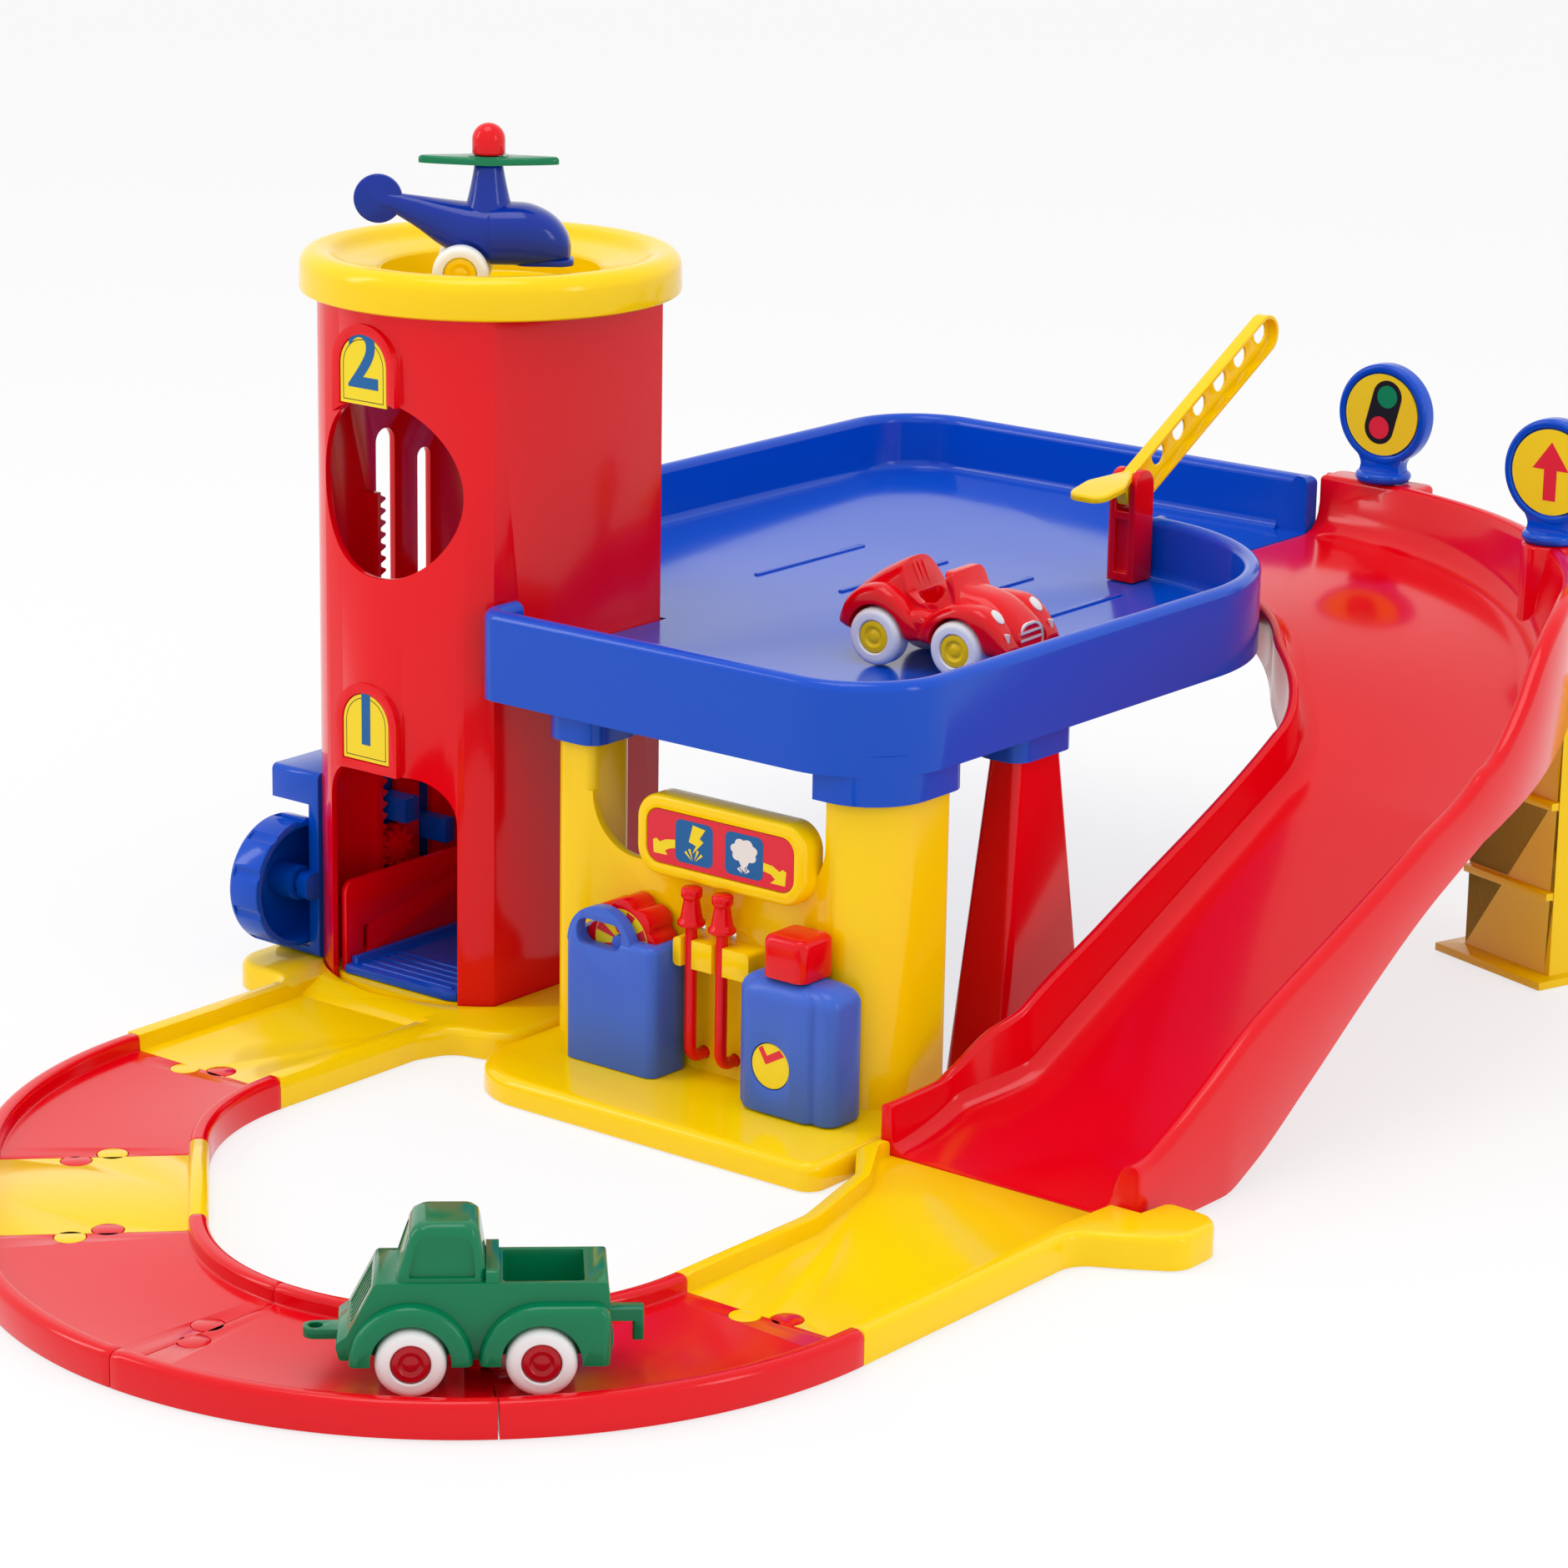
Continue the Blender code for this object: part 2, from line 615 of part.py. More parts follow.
def hand_wheel(near):
    """The cup-shaped hand wheel that raises the lift, hollow side to the tower."""
    far = near - WHEEL_DEPTH
    r = WHEEL_R
    profile = [(0.0030, near - 0.001), (0.0058, near - 0.001), (0.0058, far + WHEEL_WALL),
               (r - WHEEL_WALL - 0.0012, far + WHEEL_WALL), (r - WHEEL_WALL, far + WHEEL_WALL + 0.0012),
               (r - WHEEL_WALL, near), (r - 0.0008, near), (r, near - 0.0008), (r, far + 0.002),
               (r - 0.0006, far + 0.0006), (r - 0.002, far), (0.0030, far)]
    wheel = finish("lift_hand_wheel", turned(profile, 20, (0.0, WHEEL_Y, WHEEL_Z), "x"), BLUE)
    for k in range(WHEEL_RIBS):
        a = 2 * math.pi * (k + 0.5) / WHEEL_RIBS
        c, s = math.cos(a), math.sin(a)
        centre = (0.0, WHEEL_Y + (r + 0.0022) * c, WHEEL_Z + (r + 0.0022) * s)
        combine(wheel, cylinder(0.0030, far + 0.0022, near + OVER, centre, "x", 6))


def make_helipad():
    """The yellow helipad: a shallow bowl with a thick rounded lip over the tower's top."""
    seat = TOWER_TOP + GAP
    lip = PAD_R
    top = PAD_TOP
    under = PAD_FLOOR - 0.0022
    profile = [(0.0, PAD_FLOOR), (PAD_FLOOR_R - 0.002, PAD_FLOOR), (PAD_FLOOR_R, PAD_FLOOR + 0.0006)]
    profile += [(PAD_FLOOR_R + 0.0150, top - 0.0022), (lip - 0.0076, top - 0.0006), (lip - 0.0056, top),
                (lip - 0.0028, top - 0.0003), (lip - 0.0010, top - 0.0018), (lip, top - 0.0042),
                (lip, PAD_LIP_BOTTOM + 0.0014), (lip - 0.0004, PAD_LIP_BOTTOM + 0.0004),
                (lip - 0.0014, PAD_LIP_BOTTOM), (TOWER_R + SLIP, PAD_LIP_BOTTOM), (TOWER_R + SLIP, seat)]
    profile += [(TOWER_FLAT - TOWER_WALL - SLIP, seat), (TOWER_FLAT - TOWER_WALL - SLIP, under), (0.0, under)]
    return finish("helipad_cap", turned(profile, 28), YELLOW)


def deck_outline(inset, steps=5):
    """Deck outline, anticlockwise from the front corner beside the tower."""
    turn_x = DECK_RIGHT - DECK_TURN_R
    r = DECK_TURN_R - inset
    end = math.degrees(math.acos((DECK_EXIT_X - inset - turn_x) / r))
    points = arc(DECK_TOWER_X + 0.008, DECK_FRONT + 0.008, 0.008 - min(inset, 0.0078), 180, 270, 3)
    points += arc(DECK_RIGHT - DECK_FRONT_R, DECK_FRONT + DECK_FRONT_R, DECK_FRONT_R - inset, 270, 360, 6)
    points += arc(turn_x, DECK_TURN_Y, r, 0, end, 9)
    points += [(DECK_EXIT_X - inset, DECK_BACK - inset)]
    points += arc(DECK_LEFT + DECK_BACK_R, DECK_BACK - DECK_BACK_R, DECK_BACK_R - inset, 90, 180, 6)
    points += arc(DECK_LEFT + 0.010, DECK_TOWER_Y + 0.010, 0.010 - min(inset, 0.0098), 180, 270, 3)
    points += [(DECK_TOWER_X + inset, DECK_TOWER_Y + inset)]
    return points


def make_deck():
    """The blue parking deck: floor, hollow rounded rim, sockets for the supports."""
    top, low, floor = DECK_TOP, DECK_BOTTOM, DECK_FLOOR
    rim = DECK_RIM
    under = floor - DECK_FLOOR_THICK
    levels = [(0.0, low), (0.0, top - 0.0026), (0.0012, top - 0.0006), (0.0030, top - 0.0001),
              (rim - 0.0012, top - 0.0006), (rim, top - 0.0026), (rim + 0.0008, floor + 0.0022),
              (rim + 0.0022, floor)]
    bm = bmesh.new()
    loft(bm, [[(x, y, z) for x, y in deck_outline(d)] for d, z in levels])
    deck = finish("deck", bm, BLUE)
    pocket = [[(x, y, z) for x, y in deck_outline(d)] for d, z in ((DECK_SKIRT, low - OVER), (DECK_SKIRT, under))]
    combine(deck, loft(bmesh.new(), pocket))
    notch = box(DECK_TOWER_X - 0.030, -0.034, floor, DECK_TOWER_X + 0.020, DECK_TOWER_Y + 0.020, top + OVER)
    combine(deck, notch)
    back_notch = box(-0.0420, DECK_TOWER_Y - 0.010, floor, DECK_TOWER_X + 0.019, 0.0630, top + OVER)
    combine(deck, back_notch)
    skirt = box(-0.0420, -0.0350, low - OVER, DECK_TOWER_X + DECK_SKIRT + 0.0005, 0.0600, under)
    combine(deck, skirt)
    bore = [(x, y, z) for z in (low - OVER, top + OVER) for x, y in
            tower_outline(TOWER_R + SLIP, TOWER_FLAT + SLIP)]
    half = len(bore) // 2
    combine(deck, loft(bmesh.new(), [bore[:half], bore[half:]]))
    opening = box(DECK_EXIT_X - 0.012, DECK_TURN_Y + DECK_TURN_R + 0.0002, floor,
                  DECK_EXIT_X + 0.010, DECK_BACK - rim - 0.0005, top + OVER)
    combine(deck, opening)
    for outline, inner in sockets():
        combine(deck, prism(outline, low - COLLAR_DEPTH, under + 0.0005), "UNION")
        combine(deck, prism(inner, low - COLLAR_DEPTH - OVER, under))
    for k in range(5):
        x = 0.020 + k * 0.036
        line = box(x, 0.110, floor - 0.001, x + 0.0022, 0.170, floor + BAY_LINE)
        combine(deck, line, "UNION")
    return deck


def sockets():
    """Outer and inner outlines of the three sockets under the deck."""
    wall = COLLAR_WALL + SLIP
    outlines = []
    for corners in (left_column(), right_column(), top_of_column()):
        outlines.append((rounded(corners, -wall), rounded(corners, -SLIP)))
    return outlines


def left_column():
    """Plan of the pump wall's left column."""
    x0, x1, y0 = PUMP_LEFT, PUMP_LEFT + PUMP_COLUMN, PUMP_FRONT
    y1 = y0 + PUMP_COLUMN_DEPTH * 0.6
    return [(x0, y0, 0.006), (x1, y0, 0.003), (x1, y1, 0.005), (x0, y1, 0.005)]


def right_column():
    """Plan of the pump wall's right column, which follows the deck's corner."""
    x0, x1 = PUMP_RIGHT - PUMP_COLUMN - 0.004, PUMP_RIGHT
    y0, y1 = PUMP_FRONT, PUMP_FRONT + PUMP_COLUMN_DEPTH + 0.004
    return [(x0, y0, 0.0), (x1, y0, 0.0175), (x1, y1, 0.005), (x0, y1, 0.005)]


def top_of_column():
    """Plan of the red support column at the deck."""
    hx, hy = COLUMN_TOP_X / 2, COLUMN_TOP_Y / 2
    x, y = COLUMN_X, COLUMN_Y
    return [(x - hx, y - hy, 0.003), (x + hx, y - hy, 0.003), (x + hx, y + hy, 0.003), (x - hx, y + hy, 0.003)]


def set_origin(obj, point):
    """Move an object's origin to a point of its parent's frame, geometry staying put."""
    obj.data.transform(Matrix.Translation(-Vector(point)))
    obj.location = point
    return obj


def make_pump_wall():
    """The yellow pump wall: base plate, two columns, low wall, bezel and hose bracket."""
    plate = rounded([(BASE_LEFT, BASE_FRONT, 0.026), (BASE_RIGHT, BASE_FRONT, 0.006),
                     (BASE_RIGHT, -0.0020, 0.004), (BASE_LEFT, -0.0020, 0.010)], 0.0, 6)

    def inset_plate(d):
        return rounded([(BASE_LEFT, BASE_FRONT, 0.026), (BASE_RIGHT, BASE_FRONT, 0.006),
                        (BASE_RIGHT, -0.0020, 0.004), (BASE_LEFT, -0.0020, 0.010)], d, 6)

    wall = finish("pump_wall", prism(plate, 0.0, BASE_TOP, chamfer=0.0026, inset_outline=inset_plate), YELLOW)
    combine(wall, prism(rounded(left_column(), 0.0, 4), BASE_TOP - 0.001, PUMP_TOP), "UNION")
    combine(wall, prism(rounded(right_column(), 0.0, 7), BASE_TOP - 0.001, PUMP_TOP), "UNION")
    low_left = PUMP_LEFT + PUMP_COLUMN
    low_right = PUMP_RIGHT - PUMP_COLUMN - 0.004
    rise = 0.018
    face = [(low_left - 0.004, BASE_TOP - 0.001), (low_right + 0.004, BASE_TOP - 0.001),
            (low_right + 0.004, PUMP_SILL + rise)]
    face += arc(low_right - rise, PUMP_SILL + rise, rise, 0, -90, 6)
    face += arc(low_left + rise, PUMP_SILL + rise, rise, 270, 180, 6)
    face += [(low_left - 0.004, PUMP_SILL + rise)]
    combine(wall, prism(face, PUMP_FRONT, PUMP_FRONT + PUMP_WALL, "y"), "UNION")
    for corners, steps in ((left_column(), 4), (right_column(), 7)):
        inner = rounded(corners, 0.0024, steps)
        combine(wall, prism(inner, -OVER, PUMP_TOP - 0.0024))
    bezel = box_outline(BEZEL_LEFT, BEZEL_BOTTOM, BEZEL_RIGHT, BEZEL_TOP, 0.0085)
    combine(wall, prism(bezel, PUMP_FRONT - BEZEL_PROUD, PUMP_FRONT + PUMP_WALL - 0.0002, "y"), "UNION")
    recess = sign_recess(0.0)
    combine(wall, prism(recess, PUMP_FRONT - BEZEL_PROUD - OVER, PUMP_FRONT - BEZEL_PROUD + 0.0012, "y"))
    bracket = box_outline(BRACKET_LEFT, BRACKET_Z, BRACKET_RIGHT, BRACKET_Z + BRACKET_HEIGHT, 0.0015, steps=3)
    combine(wall, prism(bracket, PUMP_FRONT - 0.0095, PUMP_FRONT + 0.001, "y"), "UNION")
    for x in HOSE_X:
        room = HOSE_R + SLIP
        slot = box(x - room, PUMP_FRONT - 0.012, BRACKET_Z - OVER, x + room, HOSE_Y + room + 0.0012,
                   BRACKET_Z + BRACKET_HEIGHT + OVER)
        combine(wall, slot)
        gap = box_outline(x - 0.0046, BRACKET_Z + BRACKET_HEIGHT, x - 0.0002, BRACKET_Z + 0.0125, 0.0008, steps=2)
        combine(wall, prism(gap, PUMP_FRONT - 0.0002, PUMP_FRONT + PUMP_WALL + OVER, "y"))
        hole = (x, PUMP_FRONT, HOSE_FOOT_Z)
        combine(wall, cylinder(HOSE_R + SLIP, -OVER, PUMP_WALL + OVER, hole, "y", 12))
    pocket = box(BASE_LEFT + 0.022, BASE_FRONT + 0.012, -OVER, PUMP_RIGHT - PUMP_COLUMN - 0.006,
                 PUMP_FRONT - 0.0030, BASE_TOP - 0.0026)
    combine(wall, pocket)
    label = prism(sign_recess(SLIP), PUMP_FRONT - BEZEL_PROUD + 0.0012 - GAP - LABEL_THICK,
                  PUMP_FRONT - BEZEL_PROUD + 0.0012 - GAP, "y")
    finish("pump_sign_label", label, "DC3C3C")


def sign_recess(inset):
    """Outline of the label's recess in the bezel."""
    return box_outline(BEZEL_LEFT + 0.0040, BEZEL_BOTTOM + 0.0040, BEZEL_RIGHT - 0.0040, BEZEL_TOP - 0.0040,
                       0.0050, inset)


def make_hoses():
    """Two red hoses with nozzles; each foot turns back into a hole in the wall."""
    for name, x in zip(("hose_left", "hose_right"), HOSE_X):
        bend = 0.0040
        path = [(x, HOSE_Y, HOSE_TOP - 0.012), (x, HOSE_Y, HOSE_FOOT_Z + bend)]
        for k in range(1, 5):
            a = math.pi / 2 * k / 4
            path.append((x, HOSE_Y + bend * (1 - math.cos(a)), HOSE_FOOT_Z + bend * (1 - math.sin(a))))
        path.append((x, PUMP_FRONT + PUMP_WALL - 0.0004, HOSE_FOOT_Z))
        hose = finish(name, tube(path, HOSE_R, 8), RED)
        low = HOSE_TOP - 0.0125
        nozzle = [(0.0, low), (0.0022, low), (0.0042, low + 0.0022), (0.0042, low + 0.0030),
                  (0.0026, low + 0.0044), (0.0023, HOSE_TOP - 0.0032), (0.0031, HOSE_TOP - 0.0026),
                  (0.0031, HOSE_TOP - 0.0004), (0.0027, HOSE_TOP), (0.0, HOSE_TOP)]
        combine(hose, turned(nozzle, 12, (x, HOSE_Y, 0.0)), "UNION")


def make_jerrycan():
    """Blue jerrycan with an arched handle and a red scalloped dial behind it."""
    low = BASE_TOP + GAP
    back = PUMP_FRONT - GAP
    x0, x1, y0 = JERRY_LEFT, JERRY_RIGHT, JERRY_FRONT
    body_back = back
    corners = [(x0, y0, 0.0030), (x1, y0, 0.0030), (x1, body_back, 0.0040), (x0, body_back, 0.0030)]
    can = finish("jerrycan", prism(rounded(corners, 0.0, 3), low, JERRY_TOP, chamfer=0.0020,
                                   inset_outline=lambda d: rounded(corners, d, 3)), SOFT_BLUE)
    hx = 0.0985
    handle = arc(hx, JERRY_TOP - 0.0034, JERRY_HANDLE_TOP - JERRY_TOP + 0.0034, 0, 180, 10)
    front = y0 + 0.0004
    combine(can, prism(handle, front, front + 0.0042, "y"), "UNION")
    grip = box_outline(hx - 0.0090, JERRY_TOP - 0.0036, hx + 0.0090, JERRY_TOP + 0.0048, 0.0036, steps=4)
    combine(can, prism(grip, y0 - OVER, front + 0.0042 + OVER, "y"))
    dial_y = y0 + 0.0052
    deep = back - 0.0020 - dial_y
    well = cylinder(DIAL_R + 0.0008, 0.0, back - dial_y + OVER, (0.1030, dial_y, JERRY_TOP - 0.0020), "y", 32)
    combine(can, well)
    pin = cylinder(0.0024, -0.001, deep, (0.1030, dial_y, JERRY_TOP - 0.0020), "y", 12)
    combine(can, pin, "UNION")
    lobes = []
    for k in range(8):
        a = 2 * math.pi * k / 8
        for off, r in ((-0.27, DIAL_R), (0.0, DIAL_R + 0.0003), (0.27, DIAL_R), (0.33, DIAL_R - 0.0022),
                       (0.455, DIAL_R - 0.0022)):
            lobes.append((0.1030 + r * math.cos(a + off), JERRY_TOP - 0.0020 + r * math.sin(a + off)))
    dial = finish("jerrycan_dial", prism(lobes, dial_y + 0.0007, back - 0.0010, "y"), RED)
    hub = cylinder(0.0024 + SLIP, -OVER, 0.03, (0.1030, dial_y, JERRY_TOP - 0.0020), "y", 16)
    combine(dial, hub)
    set_origin(dial, (0.1030, dial_y + 0.0007, JERRY_TOP - 0.0020))


def make_oil_can():
    """Blue oil can with a lobed body, a square red cap and a gauge."""
    low = BASE_TOP + GAP

    def plan(inset):
        w, d = 0.0190 - inset, 0.0097 - inset
        rings = []
        for k in range(28):
            a = 2 * math.pi * k / 28
            c, s = math.cos(a), math.sin(a)
            r = 1.0 / (abs(c / w) ** 4 + abs(s / d) ** 4) ** 0.25
            waist = 1.0 - 0.09 * math.exp(-((abs(c) - 0.62) / 0.10) ** 2)
            rings.append((OIL_X + r * c * waist, OIL_Y + 0.0018 + r * s * waist))
        return rings

    bm = bmesh.new()
    levels = [(low, 0.0006), (low + 0.0008, 0.0), (OIL_TOP - 0.0055, 0.0), (OIL_TOP - 0.0028, 0.0009),
              (OIL_TOP - 0.0010, 0.0030), (OIL_TOP, 0.0062)]
    loft(bm, [[(x, y, z) for x, y in plan(i)] for z, i in levels])
    can = finish("oil_can", bm, SOFT_BLUE)
    cx, cy = OIL_X - 0.0010, OIL_Y + 0.0018
    combine(can, cylinder(0.0036, -0.001, OIL_CAP_TOP - OIL_TOP - 0.0030, (cx, cy, OIL_TOP), "z", 20), "UNION")
    gauge = (OIL_X - 0.0035, OIL_Y - 0.0080, 0.0244)
    combine(can, cylinder(GAUGE_R + SLIP, -0.006, 0.0020, gauge, "y", 28))
    half = OIL_CAP / 2
    corners = [(cx - half, cy - half, 0.0022), (cx + half, cy - half, 0.0022),
               (cx + half, cy + half, 0.0022), (cx - half, cy + half, 0.0022)]
    cap = finish("oil_can_cap", prism(rounded(corners, 0.0, 3), OIL_TOP + GAP, OIL_CAP_TOP, chamfer=0.0018,
                                      inset_outline=lambda d: rounded(corners, d, 3)), RED)
    combine(cap, cylinder(0.0036 + SLIP, -OVER, OIL_CAP_TOP - OIL_TOP - 0.0026, (cx, cy, OIL_TOP), "z", 20))
    set_origin(cap, (cx, cy, OIL_TOP + GAP))
    disc = cylinder(GAUGE_R, 0.0020 - GAP - 0.0012, 0.0020 - GAP, gauge, "y", 28)
    finish("oil_can_gauge", disc, LABEL)


def make_column():
    """The red support column: hollow and tapered."""
    x, y = COLUMN_X, COLUMN_Y

    def ring(hx, hy, z):
        corners = [(x - hx, y - hy, 0.003), (x + hx, y - hy, 0.003),
                   (x + hx, y + hy, 0.003), (x - hx, y + hy, 0.003)]
        return [(u, v, z) for u, v in rounded(corners, 0.0, 3)]

    neck = DECK_BOTTOM - COLLAR_DEPTH - 0.002
    tops = (COLUMN_TOP_X / 2, COLUMN_TOP_Y / 2)
    feet = (COLUMN_FOOT_X / 2, COLUMN_FOOT_Y / 2)
    rings = [ring(feet[0], feet[1], 0.0), ring(tops[0], tops[1], neck), ring(tops[0], tops[1], PUMP_TOP)]
    column = finish("support_column", loft(bmesh.new(), rings), RED)
    w = COLUMN_WALL
    inner = [ring(feet[0] - w + 0.0003, feet[1] - w + 0.0003, -OVER), ring(tops[0] - w, tops[1] - w, neck),
             ring(tops[0] - w, tops[1] - w, PUMP_TOP - w)]
    combine(column, loft(bmesh.new(), inner))


def table(values, u):
    """Piecewise linear lookup."""
    if u <= values[0][0]:
        return values[0][1]
    for (a, low), (b, high) in zip(values, values[1:]):
        if u <= b:
            return mix(low, high, (u - a) / (b - a))
    return values[-1][1]


OUTER_TOP = ((0.0, 0.1412), (64.0, 0.1411), (70.0, 0.1385), (76.5, 0.1300), (81.0, 0.1170), (89.0, 0.1005),
             (125.0, 0.0846), (171.0, 0.0660), (214.0, 0.0490), (240.0, 0.0350), (256.0, 0.0270),
             (268.0, 0.0226), (276.0, 0.0220))
INNER_TOP = ((0.0, 0.1221), (20.0, 0.1221), (50.0, 0.1185), (71.0, 0.1120), (91.0, 0.0980), (183.0, 0.0580),
             (232.0, 0.0360), (243.0, 0.0240), (249.0, 0.0210), (276.0, 0.0205))
SKIRT_LOW = ((0.0, 0.1100), (60.0, 0.0980), (90.0, 0.0790), (128.0, 0.0600), (155.0, 0.0440), (186.0, 0.0240),
             (216.0, 0.0060), (230.0, 0.0010), (276.0, 0.0010))


def slide_outer(u):
    """Radius of the slide's outer side after a turn of u degrees."""
    return mix(SLIDE_OUTER_R + 0.001, SLIDE_END_RIGHT - SLIDE_TURN_X, smooth_step((u - 20.0) / 70.0))


def sign_spots():
    """Where the two signs stand on the slide's outer side: beside the deck, and half way round."""
    beside = (SLIDE_TURN_X + 0.0230, SLIDE_TURN_Y + slide_outer(0.0) + 0.0070)
    a = math.radians(SIGN_ANGLE)
    r = slide_outer(90.0 - SIGN_ANGLE) + 0.0070
    return beside, (SLIDE_TURN_X + r * math.cos(a), SLIDE_TURN_Y + r * math.sin(a))


def slide_stations():
    """Slide stations as (u, inner point, outer point, floor z, wall width inside)."""
    stations = []
    for k in range(12):
        u = 90.0 * k / 11
        a = math.radians(90.0 - u)
        c, s = math.cos(a), math.sin(a)
        inner = mix(SLIDE_INNER_R, SLIDE_RUN_LEFT - SLIDE_TURN_X, smooth_step((u - 55.0) / 35.0))
        outer = slide_outer(u)
        floor = SLIDE_START_Z - 0.0400 * (u / 90.0) ** 2
        near = Vector((SLIDE_TURN_X + inner * c, SLIDE_TURN_Y + inner * s))
        far = Vector((SLIDE_TURN_X + outer * c, SLIDE_TURN_Y + outer * s))
        stations.append((u, near, far, floor))
    end = SLIDE_TURN_Y - SLIDE_END_Y
    for k in range(1, 14):
        run = end * k / 13
        y = SLIDE_TURN_Y - run
        floor = SLIDE_START_Z - 0.0400 - SLIDE_SLOPE * 0.976 * run
        ease = 0.147
        if run > ease:
            floor = 0.0150 - 0.449 * (run - ease) + 0.449 / 0.0872 * (run - ease) ** 2
        near_x = mix(SLIDE_RUN_LEFT, SLIDE_END_LEFT, smooth_step((-0.006 - y) / 0.024))
        stations.append((90.0 + run * 1000, Vector((near_x, y)), Vector((SLIDE_END_RIGHT, y)), floor))
    return stations


def slide_section(u, near, far, floor):
    """One closed cross-section of the slide."""
    across = (far - near).normalized()
    inner_top = table(INNER_TOP, u)
    outer_top = table(OUTER_TOP, u)
    under = floor - SLIDE_FLOOR
    low = min(table(SKIRT_LOW, u), under - 0.0008)
    low_in = max(under - 0.0080, 0.0010) if under - 0.0080 > 0.0010 else 0.0010
    low_in = min(low_in, under - 0.0008)
    edge = inner_top - floor
    wall = SLIDE_WALL
    rise = outer_top - floor
    points = [(near, -wall, low_in), (near, -wall, inner_top - 0.0012), (near, -wall + 0.0011, inner_top),
              (near, -0.0010, inner_top), (near, 0.0, inner_top - min(0.0012, edge * 0.4)),
              (near, 0.0008, floor + min(0.0040, edge * 0.35)), (near, 0.0035, floor + min(0.0008, edge * 0.2)),
              (near, 0.0080, floor),
              (far, -0.0090, floor), (far, -0.0042, floor + 0.0009), (far, -0.0012, floor + 0.0035),
              (far, 0.0006, floor + 0.0090), (far, 0.0030, mix(floor + 0.0090, outer_top, 0.75)),
              (far, 0.0044, outer_top - 0.0012), (far, 0.0060, outer_top), (far, 0.0078, outer_top - 0.0007),
              (far, 0.0090, outer_top - 0.0030), (far, 0.0090, low), (far, 0.0068, low),
              (far, 0.0068, under), (near, -wall + 0.0022, under), (near, -wall + 0.0022, low_in)]
    assert rise > 0.0
    return [(base.x + across.x * d, base.y + across.y * d, z) for base, d, z in points]


def make_slide():
    """The red slide: a quarter turn from the deck's exit and a straight run to the ground."""
    rings = [slide_section(*station) for station in slide_stations()]
    for ring in rings[:1]:
        for i, point in enumerate(ring):
            ring[i] = (DECK_EXIT_X + GAP + 0.0004, point[1], point[2])
    slide = finish("slide", loft(bmesh.new(), rings), RED)
    x0 = DECK_EXIT_X + GAP + 0.0004
    beside, half_way = sign_spots()
    y0, y1, x1 = beside[1] - 0.0060, beside[1] + 0.0070, beside[0] + 0.0180
    corners = [(x0, y0, 0.0), (x1, y0, 0.0), (x1, y1, 0.004), (x0, y1, 0.004)]
    block = prism(rounded(corners, 0.0, 3), 0.1110, DECK_TOP, chamfer=0.0015,
                  inset_outline=lambda d: rounded([(c[0], c[1], c[2]) for c in corners], d, 3))
    combine(slide, block, "UNION")
    combine(slide, turned([(0.0, 0.1140), (0.0098, 0.1140), (0.0098, 0.1400), (0.0086, 0.1413), (0.0, 0.1413)],
                          22, (*half_way, 0.0)), "UNION")
    for x, y in (beside, half_way):
        combine(slide, cylinder(0.0026 + SLIP, 0.1413 - 0.0085, 0.1413 + OVER, (x, y, 0.0), "z", 16))
    return slide


def make_sign(name, spot, turn):
    """A round blue sign on a turning foot, with a yellow face."""
    x, y = spot
    foot = 0.1413 + GAP
    centre = foot + SIGN_HEIGHT + 0.0030
    half = SIGN_THICK / 2
    rim = 0.0014
    profile = [(0.0, -half + 0.0012), (SIGN_R - 0.0030, -half + 0.0012), (SIGN_R - 0.0024, -half),
               (SIGN_R - rim, -half), (SIGN_R - 0.0003, -half + 0.0006), (SIGN_R, -half + rim),
               (SIGN_R, half - rim), (SIGN_R - rim, half), (0.0, half)]
    sign = finish(name, turned(profile, 20, (x, y, centre), "y"), BLUE)
    neck = [(0.0, foot - 0.0070), (0.0026, foot - 0.0070), (0.0026, foot), (SIGN_FOOT_R, foot),
            (SIGN_FOOT_R, foot + 0.0018), (SIGN_FOOT_R - 0.0012, foot + 0.0030), (0.0052, foot + 0.0042),
            (0.0040, foot + 0.0062), (0.0036, foot + 0.0150), (0.0, foot + 0.0150)]
    stem = turned(neck, 12, (x, y, 0.0))
    for vert in stem.verts:
        if vert.co.z > foot + 0.0060:
            vert.co.y = y + (vert.co.y - y) * 0.68
    combine(sign, stem, "UNION")
    disc = cylinder(SIGN_R - 0.0034, 0.0, 0.0008, (x, y - half + 0.0012 - GAP - 0.0008, centre), "y", 20)
    face = finish(name + "_face", disc, LABEL)
    for obj in (sign, face):
        set_origin(obj, (x, y, foot))
        obj.rotation_euler = (0.0, 0.0, turn)
    for mod in sign.modifiers:
        tool = mod.object
        set_origin(tool, (x, y, foot))
        tool.rotation_euler = (0.0, 0.0, turn)


